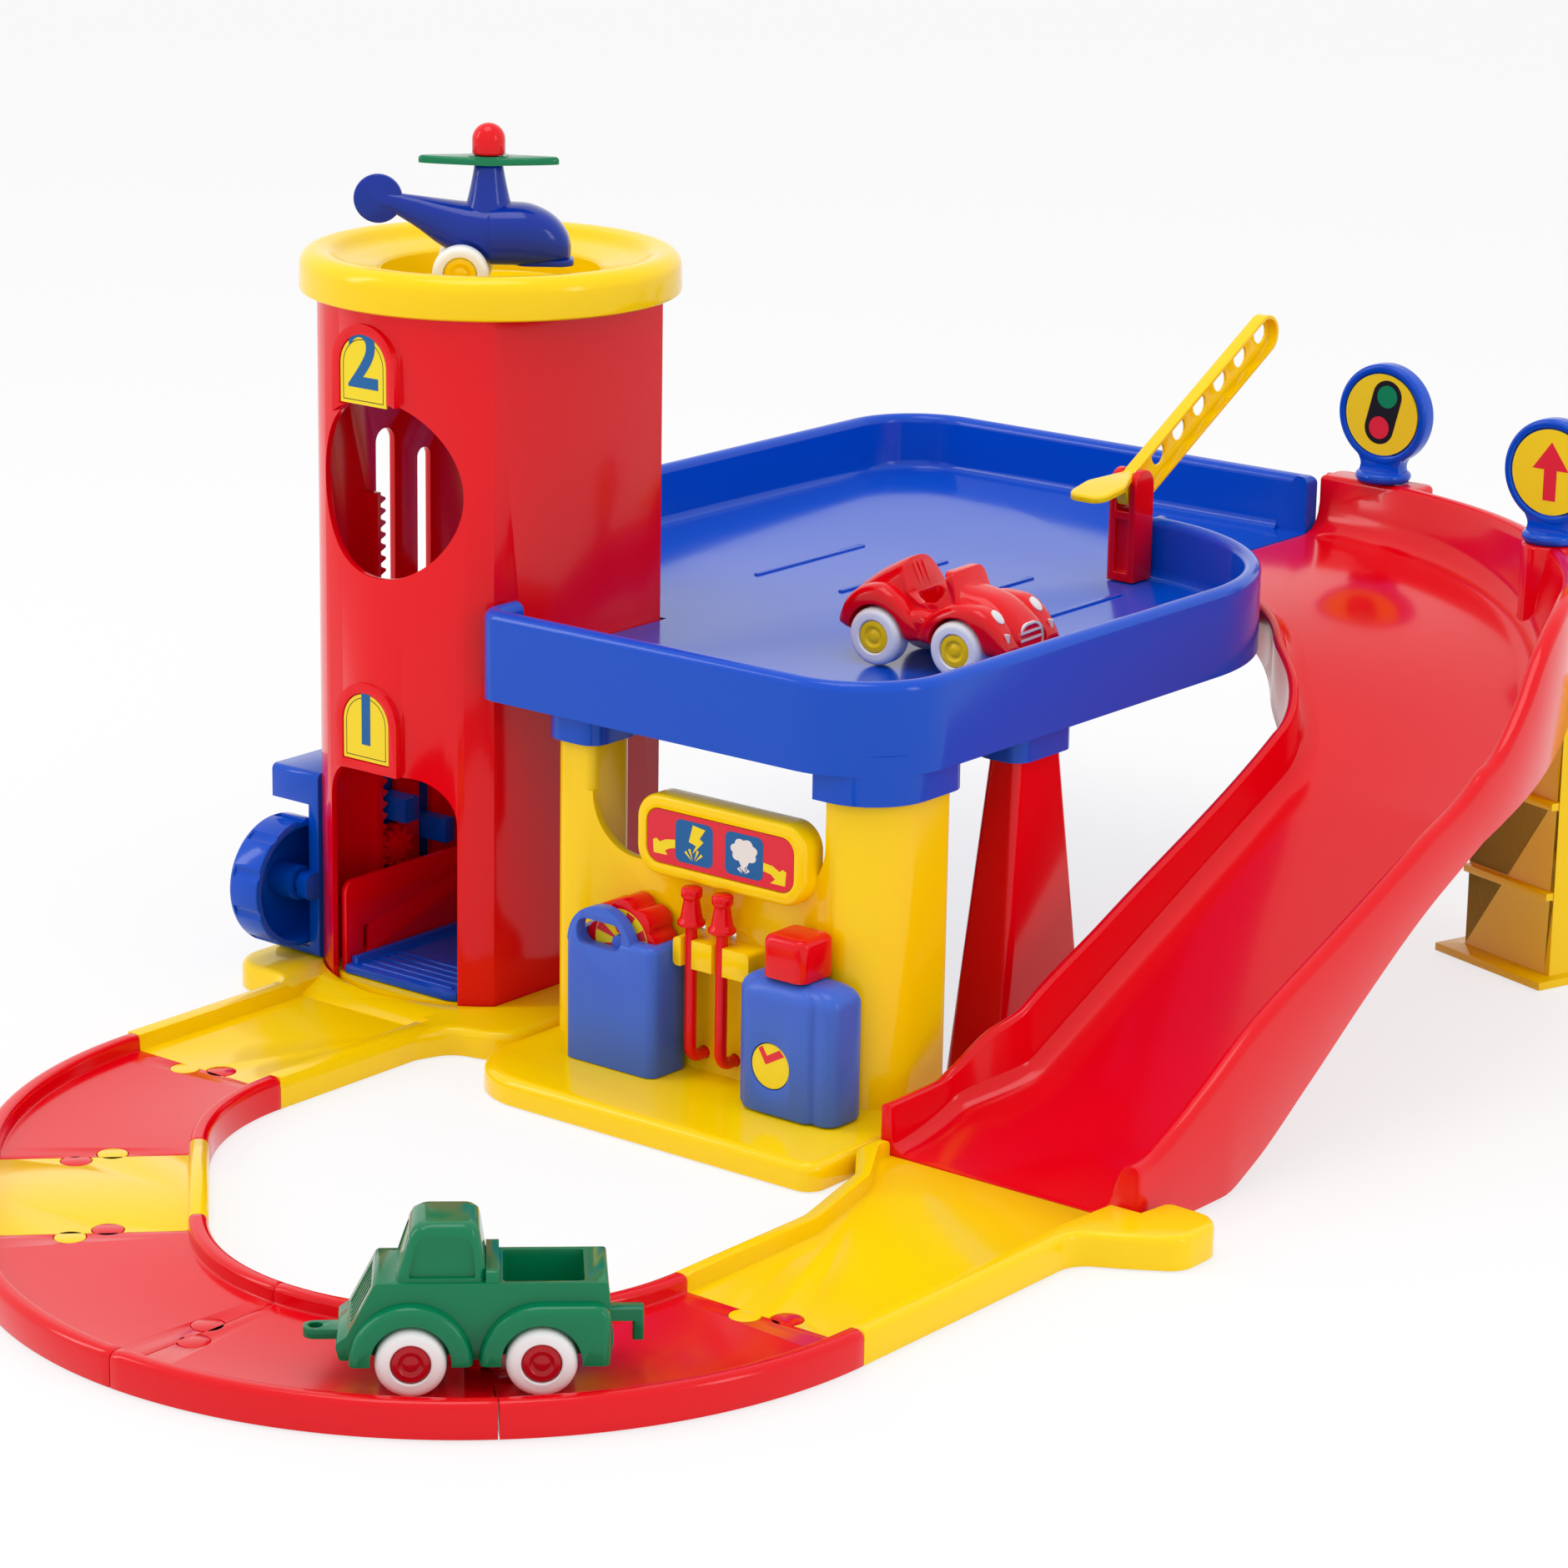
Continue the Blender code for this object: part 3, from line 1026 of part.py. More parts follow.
def make_leg():
    """The yellow leg under the slide: a ribbed panel with a return and flanged feet."""
    x0, y0, x1, y1 = 0.2270, 0.2410, 0.2670, 0.2280
    high = 0.0984
    origin = Vector((x0, y0))
    along = (Vector((x1, y1)) - origin)
    length = along.length
    along.normalize()
    back = Vector((-along.y, along.x))

    def slab(u0, u1, v0, v1, low, top):
        corners = [origin + along * u + back * v for u, v in ((u0, v0), (u1, v0), (u1, v1), (u0, v1))]
        return prism([tuple(c) for c in corners], low, top)

    leg = finish("slide_leg", slab(0.0, length, 0.0, 0.0026, 0.0, high), YELLOW)
    for u0, u1, v0, v1, low, top in ((0.0, 0.0026, 0.0, 0.0300, 0.0, high),
                                     (length - 0.0026, length, 0.0, 0.0300, 0.0, high),
                                     (-0.0060, length + 0.0040, -0.0080, 0.0340, 0.0, 0.0028),
                                     (0.0004, length - 0.0004, -0.0030, 0.0010, 0.0290, 0.0316),
                                     (0.0004, length - 0.0004, -0.0030, 0.0010, 0.0600, 0.0626),
                                     (-0.0006, length + 0.0006, -0.0016, 0.0306, high - 0.0022, high + 0.0004)):
        combine(leg, slab(u0, u1, v0, v1, low, top), "UNION")


def make_barrier():
    """Barrier post with two cheeks and a swinging arm with round holes."""
    x = DECK_RIGHT - DECK_TURN_R - 0.0006
    y = DECK_TURN_Y + DECK_TURN_R - BARRIER_IN
    z = DECK_FLOOR + BARRIER_RISE
    width = 0.0108
    slot = 0.0052
    side = [(y - 0.0058, DECK_FLOOR + GAP), (y + 0.0052, DECK_FLOOR + GAP), (y + 0.0052, z)]
    side += arc(y - 0.0003, z, 0.0055, 0, 180, 8)[1:]
    post = finish("barrier_post", prism(side, x - width / 2, x + width / 2, "x"), RED)
    combine(post, box(x - slot / 2, y - 0.010, z - 0.0085, x + slot / 2, y + 0.010, z + 0.010))
    combine(post, box(x - slot / 2, y - 0.010, DECK_FLOOR + 0.0035, x + slot / 2, y - 0.0036, z - 0.0115))
    combine(post, cylinder(0.0020 + SLIP, -width, width, (x, y, z), "x", 16))
    tilt = math.radians(29)
    thick = slot - 2 * GAP
    local = [(-0.0042, -0.0045), (0.0020, -0.0052), (ARM_LENGTH - 0.0060, -0.0052)]
    local += arc(ARM_LENGTH - 0.0060, 0.0, 0.0052, -90, 90, 8)[1:]
    local += [(0.0020, 0.0052), (-0.0042, 0.0045)]
    c, s = math.cos(tilt), math.sin(tilt)
    outline = [(y + u * c - v * s, z + u * s + v * c) for u, v in local]
    arm = finish("barrier_arm", prism(outline, x - thick / 2, x + thick / 2, "x"), YELLOW)
    paddle = [(y + 0.0010, z + 0.0060), (y - 0.0080, z + 0.0048), (y - 0.0260, z + 0.0070),
              (y - 0.0262, z + 0.0040), (y - 0.0080, z + 0.0012), (y + 0.0010, z + 0.0010)]
    blade = prism([(v, w) for v, w in paddle], x - 0.0022, x + 0.0022, "x")
    combine(arm, blade, "UNION")
    wide = rounded([(x - 0.0065, y - 0.0285, 0.0050), (x + 0.0065, y - 0.0285, 0.0050),
                    (x + 0.0024, y - 0.0085, 0.0), (x - 0.0024, y - 0.0085, 0.0)], 0.0, 4)
    plate = prism(wide, z + 0.0036, z + 0.0064)
    combine(arm, plate, "UNION")
    for k in range(ARM_HOLES):
        u = 0.0180 + k * (ARM_LENGTH - 0.0290) / (ARM_HOLES - 1)
        centre = (x, y + u * c, z + u * s)
        combine(arm, cylinder(0.0028, -0.006, 0.006, centre, "x", 10))
    tray = [(0.0105, -0.0040), (ARM_LENGTH - 0.0060, -0.0040)]
    tray += arc(ARM_LENGTH - 0.0060, 0.0, 0.0040, -90, 90, 6)[1:]
    tray += [(0.0105, 0.0040)]
    pocket = [(y + u * c - v * s, z + u * s + v * c) for u, v in tray]
    combine(arm, prism(pocket, x + thick / 2 - 0.0016, x + thick, "x"))
    pin = cylinder(0.0020, -width / 2 + 0.0004, width / 2 - 0.0004, (x, y, z), "x", 16)
    combine(arm, pin, "UNION")
    set_origin(arm, (x, y, z))


def tab_points(end, heading, side, out):
    """Centre of a joint tab at a road end: heading points out of the piece."""
    ahead = Vector((math.cos(heading), math.sin(heading)))
    left = Vector((-ahead.y, ahead.x))
    return Vector(end) + left * side + ahead * out


def road_piece(name, colour, outline, channel, pocket, ends):
    """A road: solid outline, sunken lane, hollow underside, and a tab and socket at each end."""
    road = finish(name, prism(outline, 0.0, RAIL_HEIGHT), colour)
    combine(road, prism(channel, TRACK_FLOOR, RAIL_HEIGHT + OVER))
    if pocket:
        combine(road, prism(pocket, -OVER, TRACK_FLOOR - TRACK_SHEET))
    for end, heading in ends:
        male = tab_points(end, heading, -TAB_SPREAD, TAB_OUT)
        female = tab_points(end, heading, TAB_SPREAD, -TAB_OUT + GAP)
        low, top = 0.0, TRACK_FLOOR
        combine(road, cylinder(TAB_R, low, top, (male.x, male.y, 0.0), "z", 14), "UNION")
        combine(road, cylinder(TAB_R + TAB_SLIP, -OVER, top + OVER, (female.x, female.y, 0.0), "z", 14))
    return road


def curved_lane(centre, start, end, half, steps, trim=0.0):
    """Outline of part of a ring, trimmed at both ends by a length."""
    cx, cy = centre
    turn = math.degrees(trim / TRACK_R)
    outer = arc(cx, cy, TRACK_R + half, start + turn, end - turn, steps)
    inner = arc(cx, cy, TRACK_R - half, start + turn, end - turn, steps)
    return outer + list(reversed(inner))


def make_track():
    """The loop of road pieces: four curves and one straight."""
    first = (TRACK_X + TRACK_R, TRACK_Y)
    step = TRACK_STRAIGHT * math.cos(math.radians(45))
    second = (first[0] + step, first[1] - step)
    pieces = (("track_curve_1", first, 180), ("track_curve_2", second, 225),
              ("track_curve_3", second, 270), ("track_curve_4", second, 315))
    for name, centre, start in pieces:
        end = start + 45
        ends = []
        for angle, way in ((start, -90), (end, 90)):
            a = math.radians(angle)
            point = (centre[0] + TRACK_R * math.cos(a), centre[1] + TRACK_R * math.sin(a))
            ends.append((point, math.radians(angle + way)))
        outline = curved_lane(centre, start, end, TRACK_HALF, 10, GAP / 2)
        channel = curved_lane(centre, start, end, TRACK_HALF - RAIL_WIDTH, 10, -0.004)
        pocket = curved_lane(centre, start, end, TRACK_HALF - 0.0024, 8, 0.012)
        road_piece(name, RED, outline, channel, pocket, ends)
    a = math.radians(225)
    ahead = Vector((math.cos(a + math.pi / 2), math.sin(a + math.pi / 2)))
    side = Vector((math.cos(a), math.sin(a)))
    begin = Vector(first) + side * TRACK_R

    def strip(half, trim):
        near, far = begin + ahead * trim, begin + ahead * (TRACK_STRAIGHT - trim)
        return [tuple(p) for p in (near + side * half, far + side * half, far - side * half, near - side * half)]

    ends = [(tuple(begin), a - math.pi / 2), (tuple(begin + ahead * TRACK_STRAIGHT), a + math.pi / 2)]
    road_piece("track_straight", YELLOW, strip(TRACK_HALF, GAP / 2), strip(TRACK_HALF - RAIL_WIDTH, -0.004),
               strip(TRACK_HALF - 0.0024, 0.012), ends)
    return second


def make_base_road():
    """The yellow base under the tower, with its road from the lift door to the loop."""
    left, right = TRACK_X - TRACK_HALF, TRACK_X + TRACK_HALF
    end = TRACK_Y + GAP / 2
    corners = [(left, end, 0.0), (right, end, 0.0), (right, -0.0760, 0.010), (0.0410, -0.0640, 0.010),
               (0.0605, -0.0600, 0.013), (0.0605, -0.0180, 0.014), (0.0480, 0.0, 0.03), (0.0600, 0.0300, 0.013),
               (0.0600, 0.0620, 0.013), (-0.0600, 0.0620, 0.013), (-0.0610, 0.0200, 0.013),
               (-0.0620, -0.0150, 0.013), (-0.0620, -0.0600, 0.013), (-0.0350, -0.0620, 0.008),
               (left, -0.0760, 0.008)]
    pad = rounded(corners, 0.0, 3)
    road = finish("tower_base_road", prism(pad, 0.0, 0.0090, chamfer=0.0022,
                                           inset_outline=lambda d: rounded(corners, d, 3)), YELLOW)
    for side in (left, right - RAIL_WIDTH):
        rail = box(side + 0.0002, end, 0.001, side + RAIL_WIDTH - 0.0002, -0.0700, RAIL_HEIGHT)
        combine(road, rail, "UNION")
    lane = box(left + RAIL_WIDTH, end - OVER, TRACK_FLOOR, right - RAIL_WIDTH, -0.0640, 0.0200)
    combine(road, lane)
    ramp = [(-0.0645, TRACK_FLOOR), (-0.0540, 0.0092), (-0.0540, 0.0200), (-0.0645, 0.0200)]
    combine(road, prism(ramp, DOOR_LEFT - 0.001, DOOR_RIGHT, "x"))
    seat = tower_outline(TOWER_R + SLIP, TOWER_FLAT + SLIP)
    inner = tower_outline(TOWER_R - TOWER_WALL - SLIP, TOWER_FLAT - TOWER_WALL - SLIP)
    groove = [[(x, y, z) for x, y in shape] for shape, z in
              ((seat, TOWER_BOTTOM - GAP), (seat, 0.0120), (inner, 0.0120), (inner, TOWER_BOTTOM - GAP))]
    combine(road, loft(bmesh.new(), groove, closed=True))
    combine(road, box(-0.0300, 0.0060, -OVER, 0.0300, 0.0440, 0.0034))
    combine(road, box(-0.0300, -0.0440, -OVER, 0.0300, -0.0060, 0.0034))
    combine(road, box(left + 0.0024, end + 0.012, -OVER, right - 0.0024, -0.0640, TRACK_FLOOR - TRACK_SHEET))
    point, heading = (TRACK_X, TRACK_Y), -math.pi / 2
    male = tab_points(point, heading, -TAB_SPREAD, TAB_OUT)
    female = tab_points(point, heading, TAB_SPREAD, -TAB_OUT + GAP)
    combine(road, cylinder(TAB_R, 0.0, TRACK_FLOOR, (male.x, male.y, 0.0), "z", 14), "UNION")
    combine(road, cylinder(TAB_R + TAB_SLIP, -OVER, 0.02, (female.x, female.y, 0.0), "z", 14))


def make_end_road(loop):
    """The yellow road at the foot of the slide."""
    x = loop[0] + TRACK_R
    left, right = x - TRACK_HALF, x + TRACK_HALF
    end = loop[1] + GAP / 2
    start = SLIDE_END_Y - GAP
    corners = [(left, end, 0.0), (right, end, 0.0), (right, -0.0840, 0.010), (0.3060, -0.0770, 0.008),
               (0.3200, -0.0680, 0.009), (0.3200, -0.0470, 0.009), (0.2995, -0.0460, 0.004),
               (0.2980, start, 0.0), (0.2046, start, 0.003), (0.2052, -0.0690, 0.004), (0.2170, -0.0850, 0.010),
               (left, -0.1220, 0.020)]
    lane = [(left + RAIL_WIDTH, end - OVER), (right - RAIL_WIDTH, end - OVER), (right - RAIL_WIDTH, -0.0800),
            (0.2895, start + OVER), (0.2090, start + OVER), (0.2095, -0.0640), (0.2225, -0.0850),
            (left + RAIL_WIDTH, -0.1220)]
    pocket = [(left + 0.0024, end + 0.012), (right - 0.0024, end + 0.012), (right - 0.0024, -0.0850),
              (0.2860, -0.0640), (0.2150, -0.0640), (0.2230, -0.0850), (left + 0.0024, -0.1220)]
    road_piece("slide_end_road", YELLOW, rounded(corners, 0.0, 4), lane, pocket,
               [((x, loop[1]), -math.pi / 2)])


def make_labels():
    """The two numbered floor labels."""
    for name, bottom in (("floor_label_1", PLAQUE_1_BOTTOM), ("floor_label_2", PLAQUE_2_BOTTOM)):
        front = -TOWER_R - PLAQUE_PROUD + 0.0004 - GAP
        finish(name, prism(plaque_outline(bottom, -SLIP), front, front + LABEL_THICK, "y"), LABEL)


def hull(stations, sides=12, power=3.0, bm=None):
    """Loft of rounded sections along x: each station is (x, half width, low, high)."""
    rings = []
    for x, half, low, high in stations:
        mid, tall = (low + high) / 2, (high - low) / 2
        ring = []
        for k in range(sides):
            a = 2 * math.pi * k / sides
            c, s = math.cos(a), math.sin(a)
            r = 1.0 / (abs(c) ** power + abs(s) ** power) ** (1.0 / power)
            ring.append((x, half * r * c, mid + tall * r * s))
        rings.append(ring)
    return loft(bm or bmesh.new(), rings)


def add_wheels(prefix, base, axle_x, colour, radius, track, parent, width=TYRE_WIDTH):
    """Hub-and-axle pieces with white tyres, and the axle bores in the body."""
    for tag, x in axle_x:
        inner = track / 2 - width / 2
        outer = track / 2 + width / 2
        profile = [(0.0, -outer + 0.0004), (HUB_R, -outer + 0.0004),
                   (HUB_R, -inner - 0.0002), (AXLE_R, -inner - 0.0002), (AXLE_R, inner + 0.0002),
                   (HUB_R, inner + 0.0002), (HUB_R, outer - 0.0004), (0.0, outer - 0.0004)]
        name = f"{prefix}_{tag}axle"
        axle = finish(name, turned(profile, 10, (x, 0.0, radius), "y"), colour, parent)
        set_origin(axle, (x, 0.0, radius))
        for side, y in (("left", track / 2), ("right", -track / 2)):
            half = width / 2
            r0 = (HUB_R + 0.0001) / math.cos(math.pi / TYRE_SIDES)
            section = [(r0, y - half), (radius - 0.0022, y - half), (radius, y - half + 0.0020),
                       (radius, y + half - 0.0020), (radius - 0.0022, y + half), (r0, y + half)]
            tyre = finish(f"{prefix}_{tag}tyre_{side}", turned(section, TYRE_SIDES, (x, 0.0, radius),
                                                                "y"), WHITE, parent)
            set_origin(tyre, (x, 0.0, radius))
        well = cylinder(radius + 0.0012, inner - 0.0006, outer + 0.010, (x, 0.0, radius), "y", 14)
        combine(base, well)
        well = cylinder(radius + 0.0012, -outer - 0.010, -inner + 0.0006, (x, 0.0, radius), "y", 14)
        combine(base, well)
        combine(base, cylinder(AXLE_R + 0.0003, -0.03, 0.03, (x, 0.0, radius), "y", 10))


def make_roadster():
    """The red roadster on the deck; local x points forward."""
    base = frame_at("roadster_frame", (0.1400, 0.0560, DECK_FLOOR + GAP), math.radians(4))
    stations = [(-0.0310, 0.0070, 0.0090, 0.0150), (-0.0290, 0.0105, 0.0062, 0.0180),
                (-0.0200, 0.0125, 0.0048, 0.0205), (-0.0080, 0.0128, 0.0045, 0.0195),
                (0.0040, 0.0125, 0.0045, 0.0200), (0.0140, 0.0115, 0.0045, 0.0208),
                (0.0240, 0.0100, 0.0050, 0.0190), (0.0290, 0.0080, 0.0060, 0.0165),
                (0.0312, 0.0052, 0.0080, 0.0140)]
    body = finish("roadster_body", hull(stations), RED, base)
    for x in (-WHEEL_BASE / 2, WHEEL_BASE / 2):
        fender = [(x - 0.0150, 0.0100, 0.0070, 0.0090), (x - 0.0120, 0.0150, 0.0062, 0.0140),
                  (x - 0.0060, 0.0168, 0.0055, 0.0196), (x, 0.0172, 0.0055, 0.0212),
                  (x + 0.0060, 0.0168, 0.0055, 0.0196), (x + 0.0120, 0.0150, 0.0062, 0.0140),
                  (x + 0.0150, 0.0100, 0.0070, 0.0090)]
        combine(body, hull(fender, 10), "UNION")
    seat = prism(box_outline(-0.0165, -0.0082, 0.0020, 0.0082, 0.003, steps=3), 0.0120, 0.0300)
    combine(body, seat)
    rest = hull([(-0.0185, 0.0070, 0.0110, 0.0240), (-0.0165, 0.0078, 0.0110, 0.0252),
                 (-0.0140, 0.0072, 0.0110, 0.0235)], 10)
    combine(body, rest, "UNION")
    screen = prism([(0.0015, 0.0150), (0.0045, 0.0150), (0.0010, 0.0268), (-0.0008, 0.0266)], -0.0085, 0.0085, "y")
    combine(body, screen, "UNION")
    add_wheels("roadster", body, (("rear_", -WHEEL_BASE / 2), ("front_", WHEEL_BASE / 2)), YELLOW,
               WHEEL_RADIUS, WHEEL_TRACK, base)


def make_truck(loop):
    """The green pickup on the track; local x points forward."""
    a = math.radians(-47)
    r = TRACK_R + 0.0010
    spot = (loop[0] + r * math.cos(a), loop[1] + r * math.sin(a), TRACK_FLOOR + GAP)
    base = frame_at("truck_frame", spot, math.radians(222))
    chassis = [(-0.0330, 0.0120, 0.0070, 0.0170), (-0.0320, 0.0140, 0.0060, 0.0180),
               (0.0100, 0.0140, 0.0055, 0.0190), (0.0220, 0.0130, 0.0055, 0.0225),
               (0.0300, 0.0115, 0.0055, 0.0215), (0.0335, 0.0090, 0.0070, 0.0190)]
    body = finish("truck_body", hull(chassis, 16, 5.0), GREEN, base)
    for x in (-WHEEL_BASE * 0.55, WHEEL_BASE * 0.57):
        fender = [(x - 0.0160, 0.0124, 0.0051, 0.0085), (x - 0.0130, 0.0163, 0.0052, 0.0151),
                  (x - 0.0060, 0.0177, 0.0053, 0.0207), (x, 0.0180, 0.0053, 0.0217),
                  (x + 0.0061, 0.0177, 0.0053, 0.0206), (x + 0.0131, 0.0162, 0.0052, 0.0149),
                  (x + 0.0161, 0.0123, 0.0051, 0.0084)]
        combine(body, hull(fender, 12, 4.0), "UNION")
    cab = [(-0.0030, 0.0118, 0.0150, 0.0395), (-0.0018, 0.0128, 0.0150, 0.0412),
           (0.0070, 0.0126, 0.0150, 0.0416), (0.0110, 0.0122, 0.0150, 0.0400), (0.0165, 0.0120, 0.0150, 0.0225)]
    combine(body, hull(cab, 16, 5.0), "UNION")
    bed = prism(box_outline(-0.0345, -0.0150, -0.0035, 0.0150, 0.0015, steps=2), 0.0150, 0.0285)
    combine(body, bed, "UNION")
    load = prism(box_outline(-0.0325, -0.0128, -0.0060, 0.0128, 0.0015, steps=2), 0.0185, 0.0400)
    combine(body, load)
    for x0, x1 in ((0.0300, 0.0420), (-0.0420, -0.0300)):
        combine(body, prism(box_outline(x0, -0.0030, x1, 0.0030, 0.0020, steps=3), 0.0105, 0.0135), "UNION")
    combine(body, cylinder(0.0014, 0.008, 0.016, (0.0395, 0.0, 0.0), "z", 12))
    hook = prism(box_outline(-0.0440, -0.0024, -0.0405, 0.0024, 0.0012, steps=2), 0.0105, 0.0175)
    combine(body, hook, "UNION")
    add_wheels("truck", body, (("rear_", -WHEEL_BASE * 0.55), ("front_", WHEEL_BASE * 0.57)), "8C1428",
               WHEEL_RADIUS, WHEEL_TRACK + 0.0010, base)


def make_helicopter():
    """The blue helicopter on the pad; local x points forward."""
    heading = math.radians(38.3)
    spot = (0.0063 - 0.0, -0.0080, PAD_FLOOR + GAP)
    base = frame_at("helicopter_frame", spot, heading)
    stations = [(-0.0400, 0.0012, 0.0270, 0.0310), (-0.0330, 0.0022, 0.0265, 0.0320),
                (-0.0240, 0.0040, 0.0220, 0.0312), (-0.0140, 0.0072, 0.0150, 0.0300),
                (-0.0050, 0.0098, 0.0110, 0.0292), (0.0040, 0.0112, 0.0100, 0.0290),
                (0.0110, 0.0110, 0.0100, 0.0288), (0.0170, 0.0096, 0.0102, 0.0270),
                (0.0220, 0.0074, 0.0106, 0.0235), (0.0250, 0.0045, 0.0115, 0.0190), (0.0258, 0.0016, 0.0130, 0.0160)]
    body = finish("helicopter_body", hull(stations, 12, 2.4), BLUE, base)
    fin = turned([(0.0, -0.0010), (0.0070, -0.0010), (0.0077, -0.0003), (0.0077, 0.0010), (0.0070, 0.0018),
                  (0.0, 0.0018)], 24, (-0.0346, -0.0008, 0.0300), "y")
    combine(body, fin, "UNION")
    mast = turned([(0.0, 0.0240), (0.0066, 0.0240), (0.0052, 0.0310), (0.0040, 0.0400), (0.0040, 0.0412),
                   (0.0, 0.0412)], 20)
    combine(body, mast, "UNION")
    combine(body, cylinder(0.0022, 0.0400, 0.0480, axis="z", steps=14), "UNION")
    bm = bmesh.new()
    blade = []
    for k in range(20):
        a = 2 * math.pi * k / 20
        c, s = math.cos(a), math.sin(a)
        blade.append((0.0220 * c, (0.0042 + 0.0020 * (1 - abs(c)) ** 2) * s))
    low = 0.0415
    loft(bm, [[(x, y, z) for x, y in blade] for z in (low, low + 0.0018)])
    rotor = finish("helicopter_rotor", bm, GREEN, base)
    combine(rotor, cylinder(0.0064, low - 0.0000, low + 0.0024, axis="z", steps=20), "UNION")
    combine(rotor, cylinder(0.0022 + 0.0003, low - OVER, low + 0.01, axis="z", steps=14))
    set_origin(rotor, (0.0, 0.0, low))
    knob = [(0.0, 0.0443)]
    for k in range(7):
        a = math.radians(-62 + 152 * k / 6)
        if k < 6:
            knob.append((0.0052 * math.cos(a), 0.0490 + 0.0052 * math.sin(a)))
    knob.append((0.0, 0.0542))
    top = finish("helicopter_knob", turned(knob, 12), RED, base)
    combine(top, cylinder(0.0022 + 0.0003, 0.04, 0.0484, axis="z", steps=14))
    add_wheels("helicopter", body, (("", -0.0080),), YELLOW, 0.0088, 0.0250, base, 0.0070)


def main():
    """Build every piece."""
    clear_scene()
    make_tower()
    make_labels()
    make_base_road()
    make_helipad()
    make_lift()
    make_deck()
    make_pump_wall()
    make_hoses()
    make_jerrycan()
    make_oil_can()
    make_column()
    make_slide()
    for name, spot in zip(("light_sign", "arrow_sign"), sign_spots()):
        make_sign(name, spot, 0.0)
    make_leg()
    make_barrier()
    loop = make_track()
    make_end_road(loop)
    make_roadster()
    make_truck(loop)
    make_helicopter()


main()
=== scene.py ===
"""Looks of a toy parking garage: every visible piece, its finish, the light and the camera.

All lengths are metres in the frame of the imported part: +Z is up, the lift tower's axis is
x = y = 0, the lift door faces -Y, and the deck and the slide lie to +X.
"""

import logging
import math
from dataclasses import dataclass
from enum import Enum
from typing import Callable, Dict, Iterable, List, Optional, Sequence, Tuple

import bmesh
import bpy
from mathutils import Matrix, Vector


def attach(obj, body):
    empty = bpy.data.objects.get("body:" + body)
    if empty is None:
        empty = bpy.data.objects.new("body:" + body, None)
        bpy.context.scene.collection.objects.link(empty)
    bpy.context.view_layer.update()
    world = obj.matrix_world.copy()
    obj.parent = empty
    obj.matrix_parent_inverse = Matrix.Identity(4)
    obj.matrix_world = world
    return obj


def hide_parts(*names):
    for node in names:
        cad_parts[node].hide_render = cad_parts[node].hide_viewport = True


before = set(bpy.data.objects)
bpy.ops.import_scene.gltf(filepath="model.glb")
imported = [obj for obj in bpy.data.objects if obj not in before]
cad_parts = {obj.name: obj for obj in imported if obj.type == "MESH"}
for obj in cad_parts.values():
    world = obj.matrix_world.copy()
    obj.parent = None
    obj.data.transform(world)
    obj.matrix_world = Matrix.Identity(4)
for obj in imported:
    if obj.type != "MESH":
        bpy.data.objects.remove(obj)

LOG = logging.getLogger("garage")
Point2 = Tuple[float, float]
Point3 = Tuple[float, float, float]
Outline = List[Point2]
Corner = Tuple[float, float, float]

# Room between pieces that sit on each other, and between pieces that slide or turn.
GAP = 0.0003
SLIP = 0.0004
# How far a cutting tool reaches past the surface that it cuts.
OVER = 0.002
MM = 0.001
# Thickness of a printed layer.
PRINT = 0.00005


class Axis(Enum):
    """Direction that a solid is swept or turned along."""

    X = "x"
    Y = "y"
    Z = "z"


class Operation(Enum):
    """What a Boolean step does with its tool."""

    CUT = "DIFFERENCE"
    JOIN = "UNION"


@dataclass(frozen=True)
class Finish:
    """A plastic or print finish.

    Attributes:
        name: Name of the real material and its finish.
        colour: Base colour as an sRGB hex code.
        roughness: Mean roughness of the surface.
        mottle: How far roughness varies over the piece.
        coat: Weight of the clear gloss over the colour.
        bump: Height of the surface's slight unevenness, in metres.
        glow: Share of light let through, as thin plastic does.
    """

    name: str
    colour: str
    roughness: float = 0.16
    mottle: float = 0.05
    coat: float = 0.25
    bump: float = 0.00004
    glow: float = 0.0


# Moulded ABS in the four toy colours: hard, glossy, coloured in the mass.
RED_ABS = Finish("abs_red_gloss", "E60012", 0.15, 0.05, 0.1, 0.00004, 0.04)
YELLOW_ABS = Finish("abs_yellow_gloss", "FFD400", 0.16, 0.05, 0.1, 0.00004, 0.08)
BLUE_ABS = Finish("abs_blue_gloss", "004CC8", 0.15, 0.05, 0.1, 0.00004, 0.02)
GREEN_ABS = Finish("abs_green_gloss", "00794E", 0.16, 0.05, 0.1, 0.00004, 0.02)
NAVY_ABS = Finish("abs_dark_blue_gloss", "0A2E9E", 0.15, 0.05, 0.1, 0.00004, 0.02)
# The cans are a softer, lighter blue plastic with a satin skin.
SOFT_BLUE_PE = Finish("polyethylene_soft_blue_satin", "3F68D2", 0.30, 0.06, 0.05, 0.00005, 0.03)
# Tyres are white soft vinyl.
WHITE_VINYL = Finish("vinyl_white_satin", "F2F2F2", 0.32, 0.05, 0.1, 0.00005, 0.05)
WINE_ABS = Finish("abs_dark_red_gloss", "B40C1C", 0.18, 0.05, 0.1)
